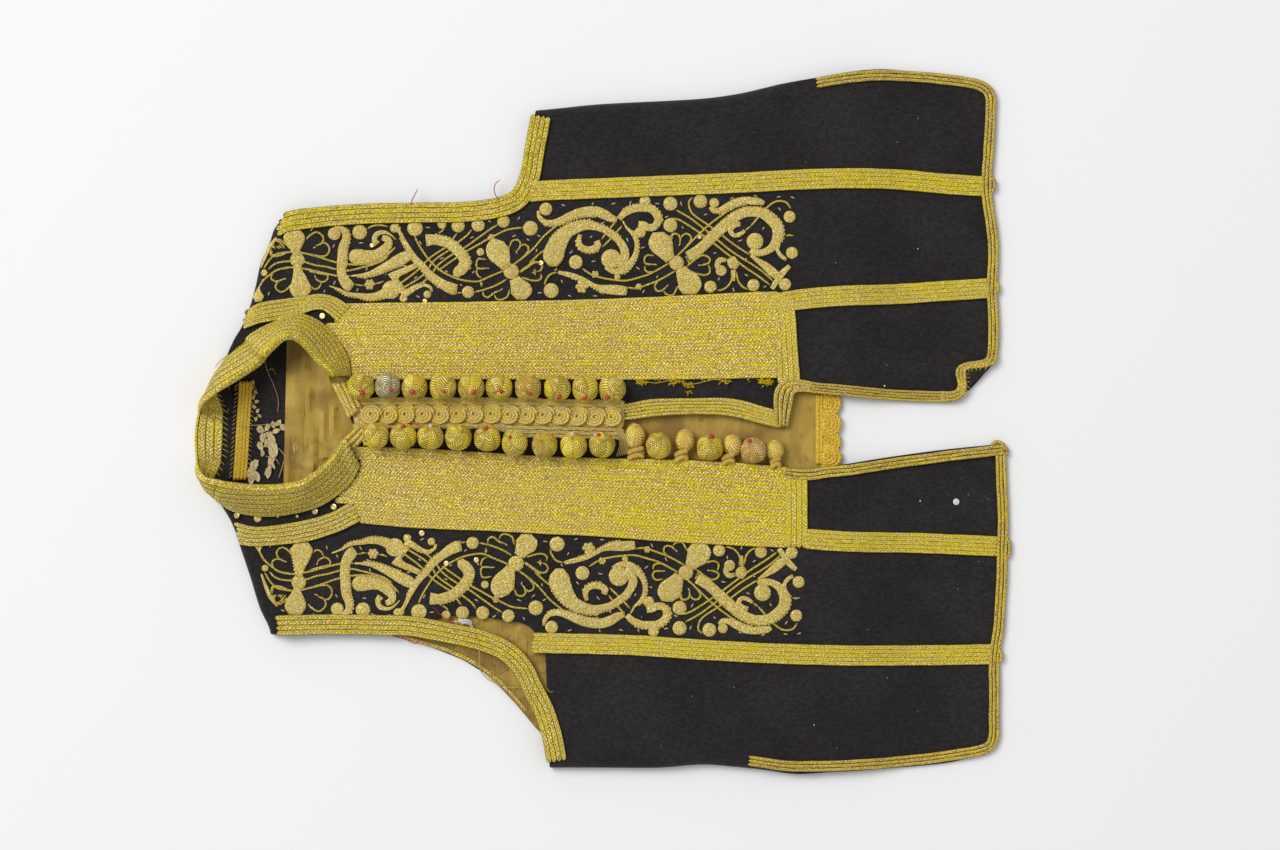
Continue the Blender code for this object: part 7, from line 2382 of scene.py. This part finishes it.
@dataclass
class Placket:
    """The left front's placket: fifteen spiral cords between edge cords."""

    cloth: LaidCloth
    first: float = -151.1
    last: float = 5.5
    count: int = 15
    radius: float = 7.0
    half: float = 0.95
    turns: float = 3.2
    start: float = -163.0
    end: float = 14.0
    lower: float = -0.5
    points: int = 190
    point_step: float = 0.92
    tape: tuple[float, float] = (7.4, 0.9)
    upper_cords: Table = ((10.1, 1.25, 2.0), (7.8, 1.25, 2.4))
    lower_cords: Table = ((-6.9, 1.0, 1.2, 1.9), (-7.5, 3.0, 1.2, 1.5), (-8.0, 5.0, 1.1, 1.1))
    fan_threads: int = 7
    fan_thread: float = 0.44

    def middle(self, x: np.ndarray) -> np.ndarray:
        """Y of the placket's middle line."""
        return np.interp(x, *np.array(PLACKET_LINE).T) + self.lower

    def base(self, x: np.ndarray, y: np.ndarray) -> np.ndarray:
        """Where the cords lie on the wool."""
        return self.cloth.top(x, y) + 0.1

    def coil(self, weaver: Weaver, at: float) -> None:
        """One spiral cord, tipped so that it overlaps the next like a scale.

        Args:
            weaver: The piece it is part of.
            at: X of its middle.
        """
        middle = float(self.middle(np.array(at))) + weaver.rng.uniform(-0.3, 0.3)
        wide = weaver.rng.uniform(1.14, 1.24)
        turn = np.linspace(0, self.turns * math.tau, 96)
        reach = 0.5 + (self.radius - self.half - 0.5) * turn / turn[-1]
        begin = math.pi * 0.5 + weaver.rng.uniform(-0.5, 0.5)
        line = np.column_stack([
            at + wide * reach * np.cos(begin - turn), middle + 1.07 * reach * np.sin(begin - turn),
        ])

        def tip(x: np.ndarray, y: np.ndarray) -> np.ndarray:
            """A slope that rises towards the next coil."""
            return self.base(x, y) + 1.9 + 0.17 * (x - at)

        weaver.laid(line, self.half * 1.08, 1.35, tip, section=LOW_CORD, relief=0.16, period=1.8)
        weaver.dome(at, middle, self.radius - 1.6, 1.3, self.base, 16, 3)

    def build(self) -> None:
        """The coils, the tape under them and the cords beside them."""
        weaver = Weaver(80)
        for at in np.linspace(self.first, self.last, self.count):
            self.coil(weaver, float(at))
        x = np.linspace(self.start, self.end, self.points)
        along = np.arange(self.points) * self.point_step
        line = np.column_stack([x, self.middle(x) + 0.6])
        under = Weaver(84)
        under.laid(line, *self.tape, self.base, section=TAPE)
        under.piece("placket_tape", FADED, Slot.BRAID)
        drop = ease((x + 76) / 26)
        for step, half, tall in self.upper_cords:
            y = self.middle(x) + step + drift(weaver.rng, along, 0.3, 14)
            weaver.laid(np.column_stack([x, y]), half, tall, self.base, section=BRAID_ROW, relief=0.10)
        weaver.piece("placket_spiral_cords", COILED, Slot.BRAID, ["placket_coils"], sharp=CORD_EDGE)
        weaver = Weaver(83)
        for step, fall, half, tall in self.lower_cords:
            y = self.middle(x) + step - fall * drop + drift(weaver.rng, along, 0.35, 12)
            weaver.laid(np.column_stack([x, y]), half, tall, self.base, section=BRAID_ROW, relief=0.10)
        weaver.piece("placket_lower_cords", FADED, Slot.BRAID, sharp=CORD_EDGE)
        self.fan()

    def fan(self) -> None:
        """Loose twisted threads that fan out from the last coil to the right front."""
        weaver = Weaver(82)
        for share in np.arange(self.fan_threads) / (self.fan_threads - 1):
            start = np.array((7.6 + 3.8 * share, -5.0 - 1.6 * share))
            end = np.array((8.6 + 7.6 * share, -24.6 + 1.5 * share))
            bend = (start + end) / 2 + np.array((2.6, 0.6))
            level = float(self.base(*start))
            sag = 2.4 - 1.4 * abs(share - 0.5)
            points = ((*start, level + 2.6), (*bend, level + sag), (*end, level + 1.8))
            weaver.thread(points, self.fan_thread, 26)
        weaver.piece("placket_end_threads", PALE_THREAD, Slot.BRAID)


@dataclass
class Fastenings:
    """Ball buttons with their beads, and the cord knots of the open edge."""

    cloth: LaidCloth
    radius: float = 8.6
    squash: float = 0.9
    shank: float = 1.8
    longer: float = 1.2
    shank_radius: float = 1.6
    bead_radius: float = 1.5
    edge_level: float = BACK_CLOTH + GAP + LINING

    def level(self, spot: Sequence[float]) -> float:
        """Height of the front under a button."""
        return float(self.cloth.top(*np.array(spot)))

    def ball(self, name: str, spot: Sequence[float], level: float, shank: float, seed: int) -> None:
        """One ball button with its shank.

        Args:
            name: The solid it stands for.
            spot: x, y of its middle.
            level: Height of what it is sewn to.
            shank: Length of its shank.
            seed: For its own turn, shape and shade.
        """
        weaver = Weaver(seed)
        half = self.radius * self.squash
        centre = np.array((*spot, level + GAP + shank + half))
        wide = self.radius * weaver.rng.uniform(0.97, 1.03, 2)
        pole = (weaver.rng.uniform(-0.35, 0.35), weaver.rng.uniform(-0.75, -0.25), 0.8)
        if spot[1] < 0:
            pole = (pole[0], -pole[1], pole[2])
        lobes = int(weaver.rng.integers(5, 8))
        weaver.ball(centre, (*wide, half), pole, lobes=lobes, thread=1.9, square=0.018)
        heights = level + 0.1 + np.linspace(0, 1, 6) * (shank + 2.5)
        path = raised(np.tile(np.array(spot, float), (6, 1)), heights)
        side = np.tile((1.0, 0.0, 0.0), (6, 1))
        up = np.tile((0.0, 1.0, 0.0), (6, 1))
        weaver.cord(path, side, up, self.shank_radius, self.shank_radius, section=TUBE)
        finish = {"button_left_02": GREYED, "button_right_12": ROSY}.get(name, WOUND)
        weaver.piece(f"{name}_wound", finish, Slot.BUTTON, [name], sharp=BUTTON_EDGE)

    def knot(self, name: str, rows: Table, level: float, seed: int) -> None:
        """One cord knot: a long wound body with a small rolled knot at its lower end.

        Args:
            name: The solid it stands for.
            rows: x, y and half sizes along X, Y and Z of the body and of the lower knot.
            level: Height of what it lies on.
            seed: For its own turn and shade.
        """
        weaver = Weaver(seed)
        for number, (x, y, wide, long, tall) in enumerate(rows):
            pole = (0.15, 0.75, 0.6) if number == 0 else (-0.8, -0.2, 0.5)
            centre = (x, y, level + tall + 0.2 + 1.2 * number)
            weaver.ball(centre, (wide, long, tall), pole, 44, 28, lobes=6 - 2 * number, crease=0.06,
                        thread=2.1, relief=0.045)
        x, y, wide, long, tall = rows[1]
        crown = level + 2 * tall + 0.6
        for k in range(2):
            low = y + long * (0.4 - 0.95 * k)
            bends = (
                (x - wide, low - 1.9), (x - wide * 0.4, low + 0.2), (x + wide * 0.4, low + 1.2),
                (x + wide, low + 2.2 - 2.6 * k),
            )
            line = smooth_rows(bends, 16)
            weaver.laid(line, 1.75, 2.3, lambda px, py, up=crown: up - 0.06 * (px - x) ** 2,
                        section=ROUND_CORD, relief=0.2, period=1.9)
        for k in range(4):
            spread = (k - 1.5) * 0.5 * wide
            start = (x + spread * 0.7, y - long * 0.6, level + 1.8)
            bend = (x + spread, y - long, level + 1.6)
            end = (x + spread * 1.5, y - long - weaver.rng.uniform(0.6, 1.8), level + 0.9)
            weaver.thread((start, bend, end), 0.5, 6)
        weaver.piece(f"{name}_wound", KNOTTED, Slot.BUTTON, [name], sharp=BUTTON_EDGE)

    def beads(self) -> None:
        """Coral beads on the balls, where they are still there, and the white ones between them."""
        red, pale = Weaver(98), Weaver(99)
        for x, y, size, colour in BALL_BEADS:
            spots = (*BUTTONS_LEFT, *BUTTONS_RIGHT, *BUTTONS_EDGE)
            near = min(spots, key=lambda spot: math.hypot(spot[0] - x, spot[1] - y))
            away = math.hypot(near[0] - x, near[1] - y) / self.radius
            half = self.radius * self.squash
            level = self.edge_level if near in BUTTONS_EDGE else self.level(near)
            shank = self.shank + (self.longer if near in BUTTONS_RIGHT else 0.0)
            height = level + GAP + shank + half * (1 + math.sqrt(max(0.02, 1 - away * away)))
            weaver = red if colour else pale
            weaver.bead((x, y, height + 0.45 * size), self.bead_radius * size, 14, 8)
        red.piece("button_beads_coral", CORAL, Slot.BUTTON, sharp=BEAD_EDGE)
        pale.piece("button_beads_white", GLASS, Slot.BUTTON, sharp=BEAD_EDGE)

    def build(self) -> None:
        """All the buttons, knots and beads."""
        for number, spot in enumerate(BUTTONS_LEFT, 1):
            self.ball(f"button_left_{number:02d}", spot, self.level(spot), self.shank, 100 + number)
        for number, spot in enumerate(BUTTONS_RIGHT, 1):
            shank = self.shank + self.longer
            self.ball(f"button_right_{number:02d}", spot, self.level(spot), shank, 120 + number)
        for number, spot in enumerate(BUTTONS_EDGE, 10):
            self.ball(f"button_right_{number:02d}", spot, self.edge_level, self.shank, 140 + number)
        for number, rows in enumerate(KNOTS_EDGE, 1):
            self.knot(f"knot_right_{number:02d}", rows, self.edge_level + GAP, 160 + number)
        self.beads()


@dataclass
class ScrollWork:
    """Couched scroll work of one front."""

    cloth: LaidCloth
    side: Side
    step: float = 1.3
    least_reach: float = 24.0
    least_half: float = 1.9
    loop_step: float = 0.38
    loop_period: float = 1.95
    fill: float = 0.96
    swell: tuple[float, float] = (0.8, 0.12)
    wire: tuple[float, float] = (0.68, 1.15)
    bugle: tuple[float, float] = (0.48, 1.0)
    shift: Table = ((-203, -171, -57.5, 51.7, 118), (0.65, 2, 3.2, 6.2, 4.3))
    at: Sequence[float] = (-198.6, -57.5, 51.7)
    mirror: Sequence[float] = (-79.3, -75.8, -78.65)
    narrow: Sequence[float] = (1.08, 1.04, 0.93)
    centre: float = 78.65

    def placed(self, rows: np.ndarray) -> np.ndarray:
        """Places of the left front's work, or the ones that answer them on the right front.

        Args:
            rows: Rows that start with x, y on the left front.

        Returns:
            The rows on this front.
        """
        rows = np.array(rows, float)
        if self.side is Side.LEFT:
            return rows
        x, y = rows[:, 0].copy(), rows[:, 1].copy()
        rows[:, 0] = x + np.interp(x, *self.shift)
        middle = np.interp(x, self.at, self.mirror)
        narrow = np.interp(x, self.at, self.narrow)
        rows[:, 1] = middle - narrow * (y - self.centre)
        return rows

    def base(self, x: np.ndarray, y: np.ndarray) -> np.ndarray:
        """Where the work lies on the wool."""
        return self.cloth.top(x, y) + 0.05

    def bands(self) -> None:
        """Filled bands and padded discs."""
        weaver = Weaver(200 if self.side is Side.LEFT else 201)
        flat, rise = self.swell
        for table in SCROLL_BANDS:
            rows = smooth_rows(table, max(6, round(length_of(table) / self.step)))
            rows = self.placed(rows)
            half = np.maximum(0.35, rows[:, 2] * self.fill)
            tall = np.minimum(1.25, flat + rise * half)
            weaver.laid(rows[:, :2], half, tall, self.base, grain=0.16, blunt=True)
            self.looped(weaver, rows)
        for x, y, radius in self.placed(np.array(SCROLL_DISCS)):
            weaver.dome(x, y, radius, min(1.3, flat + rise * radius), self.base, 22, 4, grain=0.16, dent=0.2)
        for x, y, radius in self.placed(np.array(SCROLL_FLOWERS)):
            for k in range(6):
                turn = k * math.tau / 6 + weaver.rng.uniform(-0.15, 0.15)
                petal_x = x + 0.72 * radius * math.cos(turn)
                petal_y = y + 0.72 * radius * math.sin(turn)
                weaver.dome(petal_x, petal_y, radius * 0.46, 1.1, self.base, 8, 2)
            weaver.dome(x, y, radius * 0.5, 1.3, self.base, 8, 2)
        nodes = [f"embroidery_{self.side.value}"]
        weaver.piece(f"embroidery_{self.side.value}_purl", PURL, Slot.BRAID, nodes, sharp=BEAD_EDGE)

    def looped(self, weaver: Weaver, rows: np.ndarray) -> None:
        """Small loops of purl along the outer edge of a broad bent band.

        Args:
            weaver: The piece they are part of.
            rows: x, y and half width along the band.
        """
        reach = length_of(rows[:, :2])
        if reach < self.least_reach or rows[:, 2].max() < self.least_half:
            return
        path = smooth_rows(rows, round(reach / self.loop_step))
        ahead = unit(np.gradient(path[:, :2], axis=0))
        turning = float(np.sum(ahead[:-1, 0] * ahead[1:, 1] - ahead[:-1, 1] * ahead[1:, 0]))
        outward = np.column_stack([ahead[:, 1], -ahead[:, 0]]) * (1 if turning > 0 else -1)
        first = int(len(path) * weaver.rng.uniform(0.08, 0.2))
        last = int(len(path) * weaver.rng.uniform(0.66, 0.84))
        wave = np.sin(math.tau * np.arange(len(path)) * self.loop_step / self.loop_period)
        away = path[:, 2] * self.fill + 0.15 + 0.5 * wave
        line = (path[:, :2] + outward * away[:, None])[first:last]
        weaver.laid(line, 0.5, 0.95, self.base, section=LOW_CORD, grain=0.08)

    def wires(self) -> None:
        """Single cords couched between the bands."""
        weaver = Weaver(210 if self.side is Side.LEFT else 211)
        for table in (*SCROLL_WIRES, *SCROLL_HEARTS):
            rows = self.placed(smooth_rows(table, max(5, round(length_of(table) / self.step))))
            weaver.laid(rows, *self.wire, self.base, section=LOW_CORD, relief=0.12, period=1.9)
        weaver.piece(f"embroidery_{self.side.value}_wires", GOLD, Slot.BRAID, sharp=WIRE_EDGE)

    def bugles(self) -> None:
        """Short pale bugle beads strewn between the scrolls."""
        weaver = Weaver(220 if self.side is Side.LEFT else 221)
        spots = self.placed(np.array(SCROLL_BUGLES, float))
        for x, y, degrees in spots:
            turn = math.radians(degrees if self.side is Side.LEFT else -degrees)
            reach = np.array((math.cos(turn), math.sin(turn))) * weaver.rng.uniform(1.1, 1.8)
            line = np.array((x, y)) + np.linspace(-1, 1, 5)[:, None] * reach
            weaver.laid(line, *self.bugle, self.base, section=LOW_CORD)
        weaver.piece(f"embroidery_{self.side.value}_bugles", BUGLE, Slot.BRAID, sharp=WIRE_EDGE)

    def build(self) -> None:
        """The whole of this front's work."""
        self.bands()
        self.wires()
        self.bugles()


@dataclass
class HemTrims:
    """The scalloped trim of the back hem and the turned corner of the left skirt."""

    lobes: Table = ((10.2, 8.4), (-3.0, 8.0), (-14.7, 7.4), (-25, 7.0))
    rows: Table = ((0.88, 0.9), (0.66, 1.05), (0.44, 1.15), (0.22, 1.2))
    straight: Table = ((139.3, 1.2, 1.4), (141.7, 1.1, 1.5))
    straight_ends: tuple[float, float] = (16.8, -30.2)
    straight_level: float = 2.9
    root: float = 144.2
    reach: float = 10.8
    lobe_level: float = 2.4
    lobe_rise: float = 0.9
    pad: float = 146.9
    fold: Table = ((254.4, 36.4), (230.6, 13.4))
    corner_level: float = 2.4
    corner_wool: float = 1.7
    corner_braid: float = 4.0
    scallop_cord: tuple[float, float] = (1.35, 1.9)
    corner_cord: tuple[float, float] = (1.25, 1.6)
    end_cord: tuple[float, float] = (1.15, 1.9)

    def scallops(self) -> None:
        """Four scallops of amber cord over two straight rows."""
        weaver = Weaver(95)
        base = even(self.straight_level)
        for x, half, tall in self.straight:
            y = np.linspace(*self.straight_ends, 60)
            line = np.column_stack([np.full_like(y, x), y])
            weaver.laid(line, half, tall, base, section=BRAID_ROW, relief=0.10)
        wide, high = self.scallop_cord
        turn = np.linspace(-0.56 * math.pi, 0.56 * math.pi, 40)
        blunt = np.sign(np.cos(turn)) * np.abs(np.cos(turn)) ** 0.7
        for number, (middle, tall) in enumerate(self.lobes):
            level = self.lobe_level + self.lobe_rise * (number % 2)
            for share, lift in self.rows:
                x = self.root + self.reach * share * blunt + weaver.rng.uniform(-0.2, 0.2)
                y = middle + tall * share * np.sin(turn) + 0.8 * (1 - share)
                line = np.column_stack([x, y])[::-1]
                weaver.laid(line, wide, high * lift, even(level + 0.3 * (lift - 1)),
                            section=ROUND_CORD, relief=0.16, period=2.0)
            weaver.dome(self.pad, middle, tall * 0.80, 1.5, even(level), 16, 3)
        weaver.piece("back_hem_scallop_cords", AMBER, Slot.TRIM, ["back_hem_scallops"], sharp=CORD_EDGE)

    def corner(self) -> None:
        """The corner of the left skirt, folded up, its braid on the free edges."""
        edges = smooth_rows(CORNER_BRAID, 70)
        free = (edges[:, :2] + edges[:, 2:4]) / 2
        fold = np.linspace(*np.array(self.fold), len(edges))
        across = np.linspace(0, 1, 12)
        spots = places_between(fold, free, across)
        top = self.corner_level + self.corner_wool + 0.5 * np.sin(math.pi * across)
        weaver = Weaver(96)
        weaver.wall(raised(spots, top), raised(spots, self.corner_level))
        made = weaver.piece("turned_corner_wool", WOOL, Slot.WOOL, ["turned_corner_left"])
        weaver = Weaver(97)
        tail = smooth_rows(CORNER_TAIL, 24)
        over_front = even(self.corner_braid)
        for rows, level in ((edges, over_front), (tail, lambda x, y: 3.1 + 0.8 * ease((x - 221) / 9))):
            for share in (1 / 6, 3 / 6, 5 / 6):
                weaver.laid(line_at(rows, share), *self.corner_cord, level, section=ROUND_ROW, relief=0.08)
        weaver.piece("turned_corner_cords", TARNISHED, Slot.BRAID, sharp=CORD_EDGE)
        weaver = Weaver(94)
        for x, y, dx, dy in CORNER_STITCHES:
            weaver.thread(((x, y, 5.2), (x + dx * 0.5, y + dy * 0.5, 5.4), (x + dx, y + dy, 4.7)), 0.3, 6)
        weaver.piece("turned_corner_stitches", GOLD_THREAD, Slot.BRAID)

    def braid_ends(self) -> None:
        """The rolled ends of braids that stand out beyond the hem."""
        weaver = Weaver(98)
        for line in BRAID_ENDS:
            path = smooth_rows(line, 14)
            weaver.laid(path, *self.end_cord, lambda x, y: 2.2 + 0.5 * ease((263.6 - x) / 4),
                        section=ROUND_CORD, relief=0.16, period=1.8)
        weaver.piece("rolled_braid_ends", TARNISHED, Slot.BRAID, sharp=CORD_EDGE)

    def build(self) -> None:
        """Both trims and the braid ends beside them."""
        self.scallops()
        self.corner()
        self.braid_ends()


def main() -> None:
    """Builds the garment piece by piece."""
    logging.basicConfig(level=logging.INFO, format="%(message)s")
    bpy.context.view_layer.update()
    cloth = LaidCloth()
    Studio().build()
    WoolPanels(cloth).build()
    BraidWork(cloth).build()
    StandCollar(cloth).build()
    NeckTrims().build()
    Strays(cloth).build()
    Placket(cloth).build()
    Fastenings(cloth).build()
    for side in Side:
        ScrollWork(cloth, side).build()
    HemTrims().build()


if __name__ == "__main__":
    main()
